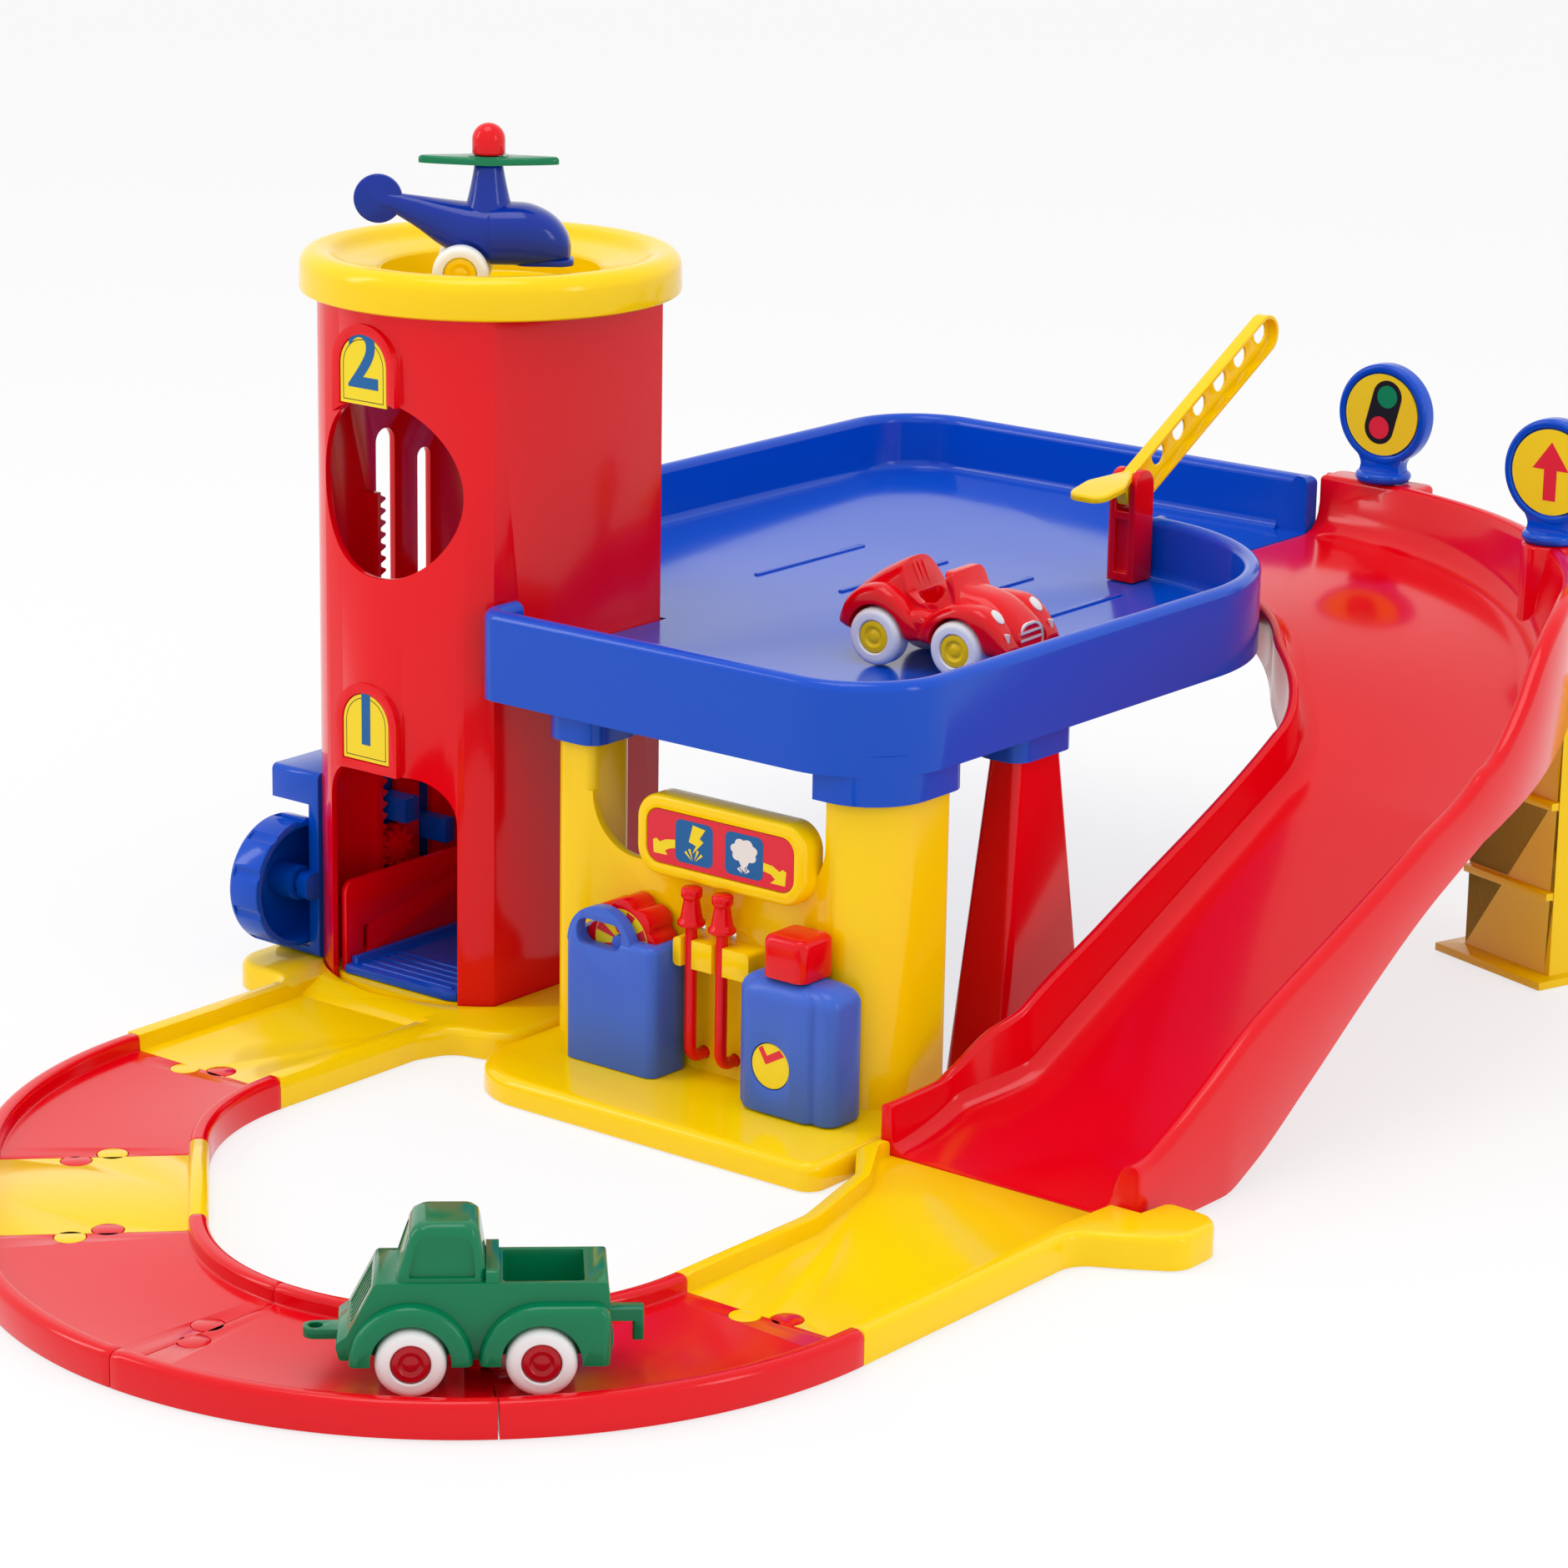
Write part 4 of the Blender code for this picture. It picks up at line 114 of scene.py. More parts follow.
# Printed film labels: satin, even colour.
LABEL_FILM = Finish("label_film_yellow_satin", "F4DA1E", 0.34, 0.03, 0.1, 0.0)
INK_BLUE = Finish("label_ink_blue_satin", "0A5FA0", 0.34, 0.02, 0.1, 0.0)
INK_RED = Finish("label_ink_red_satin", "E0283C", 0.34, 0.02, 0.1, 0.0)
INK_BLACK = Finish("label_ink_black_satin", "141414", 0.34, 0.02, 0.1, 0.0)
INK_GREEN = Finish("label_ink_green_satin", "008C5A", 0.34, 0.02, 0.1, 0.0)
INK_WHITE = Finish("label_ink_white_satin", "E8E4E4", 0.34, 0.02, 0.1, 0.0)


def linear_rgba(hex_code: str) -> Tuple[float, float, float, float]:
    """Turn an sRGB hex code into a linear colour.

    Args:
        hex_code: Six hex digits.

    Returns:
        Linear red, green, blue and an alpha of 1.
    """
    parts = [int(hex_code[i:i + 2], 16) / 255 for i in (0, 2, 4)]
    linear = [c / 12.92 if c <= 0.04045 else ((c + 0.055) / 1.055) ** 2.4 for c in parts]
    return (linear[0], linear[1], linear[2], 1.0)


def add_node(tree: bpy.types.NodeTree, kind: str, inputs: Optional[Dict[str, object]] = None,
             **values: object) -> bpy.types.Node:
    """Add a node.

    Args:
        tree: Node tree to add to.
        kind: Node type identifier.
        inputs: Constants of its input sockets.
        **values: Property names and values.

    Returns:
        The new node.
    """
    node = tree.nodes.new(kind)
    for key, value in values.items():
        setattr(node, key, value)
    for key, value in (inputs or {}).items():
        node.inputs[key].default_value = value
    return node


def connect(tree: bpy.types.NodeTree, *links: Tuple[bpy.types.NodeSocket, bpy.types.NodeSocket]) -> None:
    """Link pairs of sockets, each from an output to an input."""
    for source, target in links:
        tree.links.new(source, target)


_materials = {}


def plastic(finish: Finish) -> bpy.types.Material:
    """Build, once, the procedural material of a finish.

    Args:
        finish: The finish.

    Returns:
        The material.
    """
    if finish.name in _materials:
        return _materials[finish.name]
    mat = bpy.data.materials.new(finish.name)
    mat.use_nodes = True
    tree = mat.node_tree
    shader = tree.nodes["Principled BSDF"]
    base = linear_rgba(finish.colour)
    for key, value in (("Base Color", base), ("Coat Weight", finish.coat), ("Coat Roughness", 0.05),
                       ("IOR", 1.5), ("Specular IOR Level", 0.25), ("Subsurface Weight", finish.glow),
                       ("Subsurface Radius", (0.004, 0.004, 0.004))):
        shader.inputs[key].default_value = value
    coords = add_node(tree, "ShaderNodeTexCoord")
    broad = add_node(tree, "ShaderNodeTexNoise", {"Scale": 22.0, "Detail": 3.0})
    rough = add_node(tree, "ShaderNodeMapRange", {"To Min": finish.roughness - finish.mottle,
                                                  "To Max": finish.roughness + finish.mottle})
    connect(tree, (coords.outputs["Object"], broad.inputs["Vector"]),
            (broad.outputs["Fac"], rough.inputs["Value"]),
            (rough.outputs["Result"], shader.inputs["Roughness"]))
    if finish.bump:
        fine = add_node(tree, "ShaderNodeTexNoise", {"Scale": 60.0, "Detail": 2.0})
        bump = add_node(tree, "ShaderNodeBump", {"Strength": 0.25, "Distance": finish.bump * 4})
        connect(tree, (coords.outputs["Object"], fine.inputs["Vector"]),
                (fine.outputs["Fac"], bump.inputs["Height"]),
                (bump.outputs["Normal"], shader.inputs["Normal"]))
    mat.diffuse_color = base
    _materials[finish.name] = mat
    return mat


def place(u: float, v: float, w: float, axis: Axis) -> Point3:
    """Put a point in the plane square to an axis.

    Args:
        u: First coordinate in the plane.
        v: Second coordinate in the plane.
        w: Place along the axis.
        axis: The axis.

    Returns:
        The point.
    """
    if axis is Axis.X:
        return (w, u, v)
    if axis is Axis.Y:
        return (u, w, v)
    return (u, v, w)


def radians(*degrees: float) -> List[float]:
    """Angles in radians."""
    return [math.radians(v) for v in degrees]


def metres(*rows: Sequence[float]) -> List[Tuple[float, ...]]:
    """Rows of lengths, from millimetres to metres."""
    return [tuple(v / 1000 for v in row) for row in rows]


def about(x: float, y: float, *rows: Sequence[float]) -> List[Tuple[float, ...]]:
    """Points in millimetres about a point, in metres, with a corner radius each where given."""
    return [(x + row[0] / 1000, y + row[1] / 1000, *(v / 1000 for v in row[2:])) for row in rows]


def stack(slices: Iterable[Tuple[Outline, float]]) -> List[List[Point3]]:
    """Rings of flat outlines, each at its height."""
    return [[(x, y, z) for x, y in outline] for outline, z in slices]


def arc(cx: float, cy: float, radius: float, start: float, end: float, steps: int) -> Outline:
    """Points on an arc.

    Args:
        cx: Centre, first coordinate.
        cy: Centre, second coordinate.
        radius: Radius.
        start: First angle in degrees.
        end: Last angle in degrees.
        steps: Number of chords.

    Returns:
        The points, both ends included.
    """
    angles = [math.radians(start + (end - start) * i / steps) for i in range(steps + 1)]
    return [(cx + radius * math.cos(a), cy + radius * math.sin(a)) for a in angles]


def circle(cx: float, cy: float, radius: float, steps: int = 60) -> Outline:
    """Closed circle of points."""
    return arc(cx, cy, radius, 0, 360 - 360 / steps, steps - 1)


def rounded(corners: Sequence[Corner], inset: float = 0.0, steps: int = 8) -> Outline:
    """Round the corners of an anticlockwise polygon, moved inward.

    Args:
        corners: (x, y, radius) of each corner.
        inset: Distance that the outline moves inward.
        steps: Chords in each rounded corner.

    Returns:
        The outline.
    """
    count = len(corners)
    points: Outline = []
    for i, (x, y, radius) in enumerate(corners):
        here = Vector((x, y))
        before = (here - Vector(corners[i - 1][:2])).normalized()
        after = (Vector(corners[(i + 1) % count][:2]) - here).normalized()
        turn = before.cross(after)
        n0 = Vector((-before.y, before.x))
        n1 = Vector((-after.y, after.x))
        corner = here + (n0 + n1) * (inset / (1.0 + n0.dot(n1)))
        reach = radius - inset if turn > 0 else radius + inset
        if radius <= 0.0:
            points.append(tuple(corner))
            continue
        reach = max(reach, 0.00004)
        half = math.atan2(abs(turn), before.dot(after)) / 2
        back = reach * math.tan(half)
        side = 1.0 if turn > 0 else -1.0
        centre = corner - before * back + n0 * reach * side
        offset = corner - before * back - centre
        a0 = math.atan2(offset.y, offset.x)
        for k in range(steps + 1):
            a = a0 + side * 2 * half * k / steps
            points.append((centre.x + reach * math.cos(a), centre.y + reach * math.sin(a)))
    return points


def rectangle(x0: float, y0: float, x1: float, y1: float, radius: float) -> List[Corner]:
    """Corners of a rectangle, all with the same radius."""
    return [(x0, y0, radius), (x1, y0, radius), (x1, y1, radius), (x0, y1, radius)]


def box_outline(x0: float, y0: float, x1: float, y1: float, radius: float = 0.0, inset: float = 0.0,
                steps: int = 8) -> Outline:
    """Rounded rectangle outline."""
    return rounded(rectangle(x0, y0, x1, y1, radius), inset, steps)


def loft(rings: Sequence[Sequence[Point3]], closed: bool = False) -> bmesh.types.BMesh:
    """Skin equal rings of points.

    Args:
        rings: The rings, in order.
        closed: Whether the last ring joins the first, in place of two end caps.

    Returns:
        The mesh.
    """
    bm = bmesh.new()
    rows = [[bm.verts.new(p) for p in ring] for ring in rings]
    count = len(rows[0])
    pairs = list(zip(rows, rows[1:]))
    if closed:
        pairs.append((rows[-1], rows[0]))
    for lower, upper in pairs:
        for i in range(count):
            j = (i + 1) % count
            bm.faces.new((lower[i], lower[j], upper[j], upper[i]))
    if not closed:
        bm.faces.new(list(reversed(rows[0])))
        bm.faces.new(rows[-1])
    return bm


def prism(outline: Outline, low: float, high: float, axis: Axis = Axis.Z) -> bmesh.types.BMesh:
    """Extrude an outline along an axis."""
    return loft([[place(u, v, w, axis) for u, v in outline] for w in (low, high)])


def pillow(shape: Callable[[float], Outline], low: float, high: float, radius: float,
           axis: Axis = Axis.Z, steps: int = 5) -> bmesh.types.BMesh:
    """Extrude an outline and round its far edge.

    Args:
        shape: Gives the outline at an inset.
        low: Plain end.
        high: Rounded end.
        radius: Radius of the rounded edge.
        axis: Direction of the extrusion.
        steps: Chords in the rounded edge.

    Returns:
        The mesh.
    """
    rings = [[place(u, v, low, axis) for u, v in shape(0.0)]]
    for k in range(steps + 1):
        a = math.pi / 2 * k / steps
        level = high - radius + radius * math.sin(a)
        rings.append([place(u, v, level, axis) for u, v in shape(radius * (1 - math.cos(a)))])
    return loft(rings)


def turned(profile: Sequence[Point2], steps: int = 72, centre: Point3 = (0.0, 0.0, 0.0),
           axis: Axis = Axis.Z) -> bmesh.types.BMesh:
    """Revolve a closed, or pole-to-pole, (radius, height) profile.

    Args:
        profile: The profile's points.
        steps: Chords in a turn.
        centre: Origin of the profile.
        axis: Axis of the turn.

    Returns:
        The mesh.
    """
    bm = bmesh.new()
    poles = profile[0][0] < 1e-9 and profile[-1][0] < 1e-9
    body = profile[1:-1] if poles else profile
    origin = Vector(centre)
    columns = []
    for k in range(steps):
        a = 2 * math.pi * k / steps
        c, s = math.cos(a), math.sin(a)
        columns.append([bm.verts.new(origin + Vector(place(r * c, r * s, h, axis))) for r, h in body])
    rows = len(body)
    for k in range(steps):
        here, there = columns[k], columns[(k + 1) % steps]
        for i in range(rows - 1 if poles else rows):
            j = (i + 1) % rows
            bm.faces.new((here[i], there[i], there[j], here[j]))
    if poles:
        for row in (0, rows - 1):
            bm.faces.new([column[row] for column in columns])
    return bm


def cylinder(radius: float, low: float, high: float, centre: Point3 = (0.0, 0.0, 0.0),
             axis: Axis = Axis.Z, steps: int = 40) -> bmesh.types.BMesh:
    """A capped cylinder, low to high measured from centre along the axis."""
    return turned([(0.0, low), (radius, low), (radius, high), (0.0, high)], steps, centre, axis)


def box(x0: float, y0: float, z0: float, x1: float, y1: float, z1: float) -> bmesh.types.BMesh:
    """A block, used as a cutting tool or for small lugs."""
    return prism([(x0, y0), (x1, y0), (x1, y1), (x0, y1)], z0, z1)


def mix(a: float, b: float, t: float) -> float:
    """Blend two numbers."""
    return a + (b - a) * t


def ease(t: float) -> float:
    """Ease from 0 to 1, flat at both ends."""
    t = min(max(t, 0.0), 1.0)
    return t * t * (3 - 2 * t)


def lookup(values: Sequence[Point2], u: float) -> float:
    """Read a smooth curve through (u, value) points.

    Args:
        values: Points in order of u.
        u: Where to read.

    Returns:
        The value, by monotone cubic steps between points.
    """
    if u <= values[0][0]:
        return values[0][1]
    last = len(values) - 1
    slopes = [(values[i + 1][1] - values[i][1]) / (values[i + 1][0] - values[i][0]) for i in range(last)]
    for i in range(last):
        a, low = values[i]
        b, high = values[i + 1]
        if u <= b:
            m0 = slopes[0] if i == 0 else (0.0 if slopes[i - 1] * slopes[i] <= 0 else
                                           2 * slopes[i - 1] * slopes[i] / (slopes[i - 1] + slopes[i]))
            m1 = slopes[i] if i == last - 1 else (0.0 if slopes[i] * slopes[i + 1] <= 0 else
                                                  2 * slopes[i] * slopes[i + 1] / (slopes[i] + slopes[i + 1]))
            t = (u - a) / (b - a)
            w = b - a
            return ((2 * t ** 3 - 3 * t * t + 1) * low + (t ** 3 - 2 * t * t + t) * w * m0
                    + (-2 * t ** 3 + 3 * t * t) * high + (t ** 3 - t * t) * w * m1)
    return values[-1][1]


def linked(name: str, data: bpy.types.ID) -> bpy.types.Object:
    """Make an object of some data and link it to the scene."""
    obj = bpy.data.objects.new(name, data)
    bpy.context.scene.collection.objects.link(obj)
    return obj


def solid_object(name: str, solid: bmesh.types.BMesh) -> bpy.types.Object:
    """Make an object from a mesh under construction.

    Args:
        name: Name of the object.
        solid: The mesh, which is used up.

    Returns:
        The object.
    """
    bmesh.ops.remove_doubles(solid, verts=solid.verts, dist=1e-7)
    bmesh.ops.recalc_face_normals(solid, faces=solid.faces)
    mesh = bpy.data.meshes.new(name)
    solid.to_mesh(mesh)
    solid.free()
    return linked(name, mesh)


def bake_modifiers(obj: bpy.types.Object) -> None:
    """Keep what an object's modifiers make as its mesh, and drop them.

    Args:
        obj: The object.
    """
    bpy.context.view_layer.update()
    graph = bpy.context.evaluated_depsgraph_get()
    mesh = bpy.data.meshes.new_from_object(obj.evaluated_get(graph))
    obj.modifiers.clear()
    old = obj.data
    obj.data = mesh
    bpy.data.meshes.remove(old)


def dress(obj: bpy.types.Object, body: str, nodes: Sequence[str] = ()) -> None:
    """Shade a finished object and hang it on its body.

    Args:
        obj: The object.
        body: CAD body that it rides on.
        nodes: CAD nodes that it stands for.
    """
    obj.data.shade_smooth()
    obj.data.set_sharp_from_angle(angle=math.radians(40))
    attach(obj, body)
    if nodes:
        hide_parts(*nodes)
    LOG.info("%s: %d faces on %s", obj.name, len(obj.data.polygons), body)


class Moulding:
    """A moulded piece: a base solid, Boolean steps, and softened edges.

    Args:
        name: Name of the finished piece.
        solid: Base solid.
        finish: Finish of the piece.
        turn: Placement of the solid's own frame in the part's frame.
    """

    def __init__(self, name: str, solid: bmesh.types.BMesh, finish: Finish,
                 turn: Optional[Matrix] = None) -> None:
        self.name = name
        self.finish = finish
        self.turn = turn
        self.tools: List[bpy.types.Object] = []
        self.obj = solid_object(name, solid)

    def _step(self, solid: bmesh.types.BMesh, operation: Operation) -> None:
        """Add one Boolean step.

        Args:
            solid: The step's tool.
            operation: What the tool does.
        """
        tool = solid_object(f"{self.name}_tool", solid)
        tool.hide_render = True
        self.tools.append(tool)
        mod = self.obj.modifiers.new(operation.name.lower(), "BOOLEAN")
        mod.operation = operation.value
        mod.object = tool
        mod.solver = "EXACT"

    def cut(self, solid: bmesh.types.BMesh) -> None:
        """Cut a solid away."""
        self._step(solid, Operation.CUT)

    def join(self, solid: bmesh.types.BMesh) -> None:
        """Fuse a solid on."""
        self._step(solid, Operation.JOIN)

    def bake(self) -> None:
        """Apply what the modifiers make, and drop them and their tools."""
        if not self.obj.modifiers:
            return
        bake_modifiers(self.obj)
        for tool in self.tools:
            data = tool.data
            bpy.data.objects.remove(tool)
            bpy.data.meshes.remove(data)
        self.tools.clear()

    def done(self, body: str, nodes: Iterable[str] = (), bevel: float = 0.0006, segments: int = 3,
             angle: float = 32.0) -> None:
        """Finish the piece and hang it on its body.

        Args:
            body: CAD body that it rides on.
            nodes: CAD nodes that it stands for.
            bevel: Width of the rounded edges, or 0 for none.
            segments: Chords in a rounded edge.
            angle: Edges sharper than this many degrees are rounded.
        """
        self.bake()
        if bevel:
            weld = self.obj.modifiers.new("weld", "WELD")
            weld.merge_threshold = 0.00002
            mod = self.obj.modifiers.new("edges", "BEVEL")
            mod.width = bevel
            mod.segments = segments
            mod.limit_method = "ANGLE"
            mod.angle_limit = math.radians(angle)
            self.bake()
        mesh = self.obj.data
        if self.turn is not None:
            mesh.transform(self.turn)
        mesh.materials.clear()
        mesh.materials.append(plastic(self.finish))
        self.obj.name = self.name
        nodes = list(nodes)
        dress(self.obj, body, nodes)


def printed(name: str, outline: Outline, face: float, ink: Finish, body: str) -> None:
    """Add a thin print that faces -Y.

    Args:
        name: Name of the piece.
        outline: Shape of the print.
        face: Where its front lies.
        ink: Finish of the print.
        body: CAD body that it rides on.
    """
    Moulding(name, prism(outline, face, face + PRINT, Axis.Y), ink).done(body, bevel=0.0)


@dataclass
class TowerSizes:
    """Sizes of the lift tower."""

    radius: float = 0.0550
    flat: float = 0.0374
    wall: float = 0.0022
    bottom: float = 0.0062
    top: float = 0.2363
    door: Tuple[float, float] = (-0.0245, 0.0280)
    door_top: float = 0.0825
    door_corner: float = 0.0140
    window_r: float = 0.0285
    window: Point2 = (0.0015, 0.1740)
    plaque_x: float = -0.0025
    plaque_half: float = 0.0100
    plaque_border: float = 0.0032
    plaque_height: float = 0.0225
    plaque_proud: float = 0.0016
    plaques: Tuple[float, float] = (0.0855, 0.2000)


def tower_outline(radius: float, flat: float) -> Outline:
    """Circle cut off by a flat on each side.

    Args:
        radius: Radius of the circle.
        flat: Distance of the flats from the centre.

    Returns:
        The outline.
    """
    steps = 44
    corner = math.degrees(math.acos(flat / radius))
    front = arc(0.0, 0.0, radius, corner - 180, -corner, steps)
    back = arc(0.0, 0.0, radius, corner, 180 - corner, steps)
    return front + back


def arch(x0: float, x1: float, low: float, high: float, radius: float, steps: int = 12) -> Outline:
    """Doorway outline with a flat foot and rounded top corners."""
    return rounded([(x0, low, 0.0), (x1, low, 0.0), (x1, high, radius), (x0, high, radius)], 0.0, steps)


@dataclass
class RackSizes:
    """Sizes of the rack and the pinion that climbs it."""

    module: float = 0.00125
    teeth: int = 10
    pressure: float = math.radians(25)
    tip: float = 0.75
    root: float = 1.05
    backlash: float = 0.00035
    y: float = -0.0117
    z: float = 0.0426
    bottom: float = 0.0260
    travel: float = 0.1090

    def rack(self) -> Outline:
        """Rack in the plane square to the pinion's axis.

        Returns:
            The outline.
        """
        pitch = math.pi * self.module
        line = self.y - self.teeth * self.module / 2
        tip, root = line + self.tip * self.module, line - self.root * self.module
        slope = math.tan(self.pressure)
        half = pitch / 4 - self.backlash / 2
        tip_half, root_half = half - self.tip * self.module * slope, half + self.root * self.module * slope
        first = self.z - pitch * int((self.z - self.bottom) / pitch)
        count = int((self.z + self.travel + 0.016 - first) / pitch)
        points: Outline = [(root, first - root_half - 0.001)]
        for k in range(count):
            z = first + k * pitch
            points += [(root, z - root_half), (tip, z - tip_half), (tip, z + tip_half), (root, z + root_half)]
        points.append((root, points[-1][1] + 0.001))
        return points + [(root - 0.0032, points[-1][1]), (root - 0.0032, points[0][1])]

    def gear(self, steps: int = 6) -> Outline:
        """Involute pinion about its own centre.

        Args:
            steps: Chords in a flank.

        Returns:
            The outline.
        """
        pitch_r = self.teeth * self.module / 2
        base_r = pitch_r * math.cos(self.pressure)
        tip_r, root_r = pitch_r + self.tip * self.module, pitch_r - self.root * self.module
        half = (math.pi / (2 * self.teeth) - self.backlash / (2 * pitch_r)
                + math.tan(self.pressure) - self.pressure)
        points: Outline = []
        for k in range(self.teeth):
            middle = math.pi + (2 * k + 1) * math.pi / self.teeth
            flank = []
            for i in range(steps + 1):
                r = mix(max(base_r, root_r), tip_r, i / steps)
                roll = math.sqrt(max((r / base_r) ** 2 - 1, 0.0))
                flank.append((r, half - (roll - math.atan(roll))))
            flank.insert(0, (root_r, flank[0][1] + 0.02))
            points += [(r * math.cos(middle - a), r * math.sin(middle - a)) for r, a in flank]
            points += [(r * math.cos(middle + a), r * math.sin(middle + a)) for r, a in reversed(flank)]
        return points


class Tower:
    """The lift tower, its numbered plaques, base road and helipad."""

    def __init__(self, sizes: TowerSizes, rack: RackSizes) -> None:
        self.s = sizes
        self.rack = rack

    def plaque(self, bottom: float, border: float) -> Outline:
        """Arch-topped plaque seen from the front.

        Args:
            bottom: Height of its foot.
            border: Distance that its outline moves outward.

        Returns:
            The outline.
        """
        s = self.s
        half = s.plaque_half + border
        return arch(s.plaque_x - half, s.plaque_x + half, bottom - border,
                    bottom + s.plaque_height + border, half - 1e-4, 14)

    def shell(self) -> None:
        """Shaft with doors, window, slots, plaque frames and rack."""
        s = self.s
        outer = tower_outline(s.radius, s.flat)
        inner = tower_outline(s.radius - s.wall, s.flat - s.wall)
        rings = stack(((outer, s.bottom), (outer, s.top), (inner, s.top), (inner, s.bottom)))
        tower = Moulding("tower", loft(rings, closed=True), RED_ABS)
        for bottom in s.plaques:
            front = -s.radius - s.plaque_proud
            tower.join(prism(self.plaque(bottom, s.plaque_border), front, -s.radius + 0.0045, Axis.Y))
            tower.cut(prism(self.plaque(bottom, 0.0), front - OVER, front + 0.0012, Axis.Y))
        top = 0.1183
        tower.join(prism(about(s.flat, top, (-1, -6), (3, -1.5), (3, 0), (-1, 0)), -0.026, 0.030, Axis.Y))
        inside = -s.flat + s.wall
        tower.join(prism(self.rack.rack(), inside - 0.0005, inside + 0.0050, Axis.X))
        door = arch(s.door[0], s.door[1], s.bottom - OVER, s.door_top, s.door_corner)
        tower.cut(prism(door, -s.radius - OVER, -0.040, Axis.Y))
        tower.cut(cylinder(s.window_r, -s.radius - 0.004, -0.040, (s.window[0], 0.0, s.window[1]), Axis.Y,
                           96))
        upper = arch(s.door[0], s.door[1], 0.1213, 0.1915, s.door_corner)
        tower.cut(prism(upper, 0.040, s.radius + OVER, Axis.Y))
        for y, width, high in ((self.rack.y, 0.0088, 0.1820), (0.0066, 0.0062, 0.1730)):
            slot = box_outline(y - width / 2, 0.0280, y + width / 2, high, width / 2 - 1e-5)
            tower.cut(prism(slot, -s.flat - OVER, inside + OVER, Axis.X))
        tower.done("garage", ["tower_shell"], 0.0005, 2)

    def labels(self) -> None:
        """Yellow floor labels with a dark keyline and a rounded digit each."""
        s = self.s
        for digit, bottom in zip("12", s.plaques):
            back = -s.radius - s.plaque_proud + 0.0012
            node = f"floor_label_{digit}"
            film = prism(self.plaque(bottom, -SLIP), back - 0.0009, back - GAP, Axis.Y)
            Moulding(node + "_film", film, LABEL_FILM).done("garage", [node], 0.0)
            rings = [[place(u, v, w, Axis.Y) for u, v in self.plaque(bottom, d)]
                     for d, w in ((-0.0015, back - 0.00088), (-0.0015, back - 0.00093),
                                  (-0.00175, back - 0.00093), (-0.00175, back - 0.00088))]
            line = Moulding(node + "_keyline", loft(rings, closed=True), INK_BLACK)
            line.done("garage", bevel=0.0)
            write_digit(node + "_digit", digit, (s.plaque_x, back - 0.00094, bottom + 0.0062))

    def base(self) -> None:
        """Yellow base pad with its road, ramp and groove for the shaft."""
        s = self.s
        x, half, end = 0.00335, 0.0332, -0.13615
        left, right = x - half, x + half
        corners = [(left, end, 0.0), (right, end, 0.0), (right, -0.0760, 0.010), (0.0410, -0.0640, 0.010),
                   (0.0605, -0.0600, 0.013), (0.0605, -0.0180, 0.014), (0.0480, 0.0, 0.03),
                   (0.0600, 0.0300, 0.013), (0.0600, 0.0620, 0.013), (-0.0600, 0.0620, 0.013),
                   (-0.0610, 0.0200, 0.013), (-0.0620, -0.0150, 0.013), (-0.0620, -0.0600, 0.013),
                   (-0.0350, -0.0620, 0.008), (left, -0.0760, 0.008)]
        pad = Moulding("base_road", pillow(lambda d: rounded(corners, d), 0.0, 0.0090, 0.0028), YELLOW_ABS)
        for side in (left, right - 0.0056):
            pad.join(box(side + 0.0002, end, 0.001, side + 0.0054, -0.0700, 0.0100))
        pad.cut(box(left + 0.0056, end - OVER, 0.0050, right - 0.0056, -0.0640, 0.0200))
        ramp = metres((-64.5, 5), (-54, 9.2), (-54, 20), (-64.5, 20))
        pad.cut(prism(ramp, s.door[0] - 0.001, s.door[1], Axis.X))
        seat = tower_outline(s.radius + SLIP, s.flat + SLIP)
        inner = tower_outline(s.radius - s.wall - SLIP, s.flat - s.wall - SLIP)
        groove = stack(((seat, s.bottom - GAP), (seat, 0.0120), (inner, 0.0120), (inner, s.bottom - GAP)))
        pad.cut(loft(groove, closed=True))
        Road.joints(pad, [((x, -0.1363), -math.pi / 2)])
        pad.done("garage", ["tower_base_road"], 0.0010, 3)

    def helipad(self) -> None:
        """Shallow yellow bowl with a thick rounded lip, over the shaft's top."""
        r, top, floor = 0.0606, 0.2434, 0.2296
        profile: Outline = [(0.0, floor), (0.0328, floor), (0.0337, floor + 0.0003), (0.0343, floor + 0.0012),
                            (0.0349, 0.2362), (0.0354, 0.2370), (0.0366, 0.2376), (0.0450, 0.2388),
                            (0.0478, 0.2396), (0.0494, 0.2408), (0.0506, 0.2422), (0.0522, top - 0.0004)]
        profile += arc(r - 0.0052, top - 0.0050, 0.0050, 100, 0, 16)
        profile += [(r, 0.2316), (r - 0.0003, 0.2306), (r - 0.0014, 0.2300), (0.0554, 0.2300),
                    (0.0554, 0.2366), (0.0348, 0.2366), (0.0336, floor - 0.0022), (0.0, floor - 0.0022)]
        pad = Moulding("helipad", turned(profile, 128), YELLOW_ABS)
        pad.done("helipad", ["helipad_cap"], 0.0)

    def build(self) -> None:
        """Build the tower's pieces."""
        self.shell()
        self.labels()
        self.base()
        self.helipad()


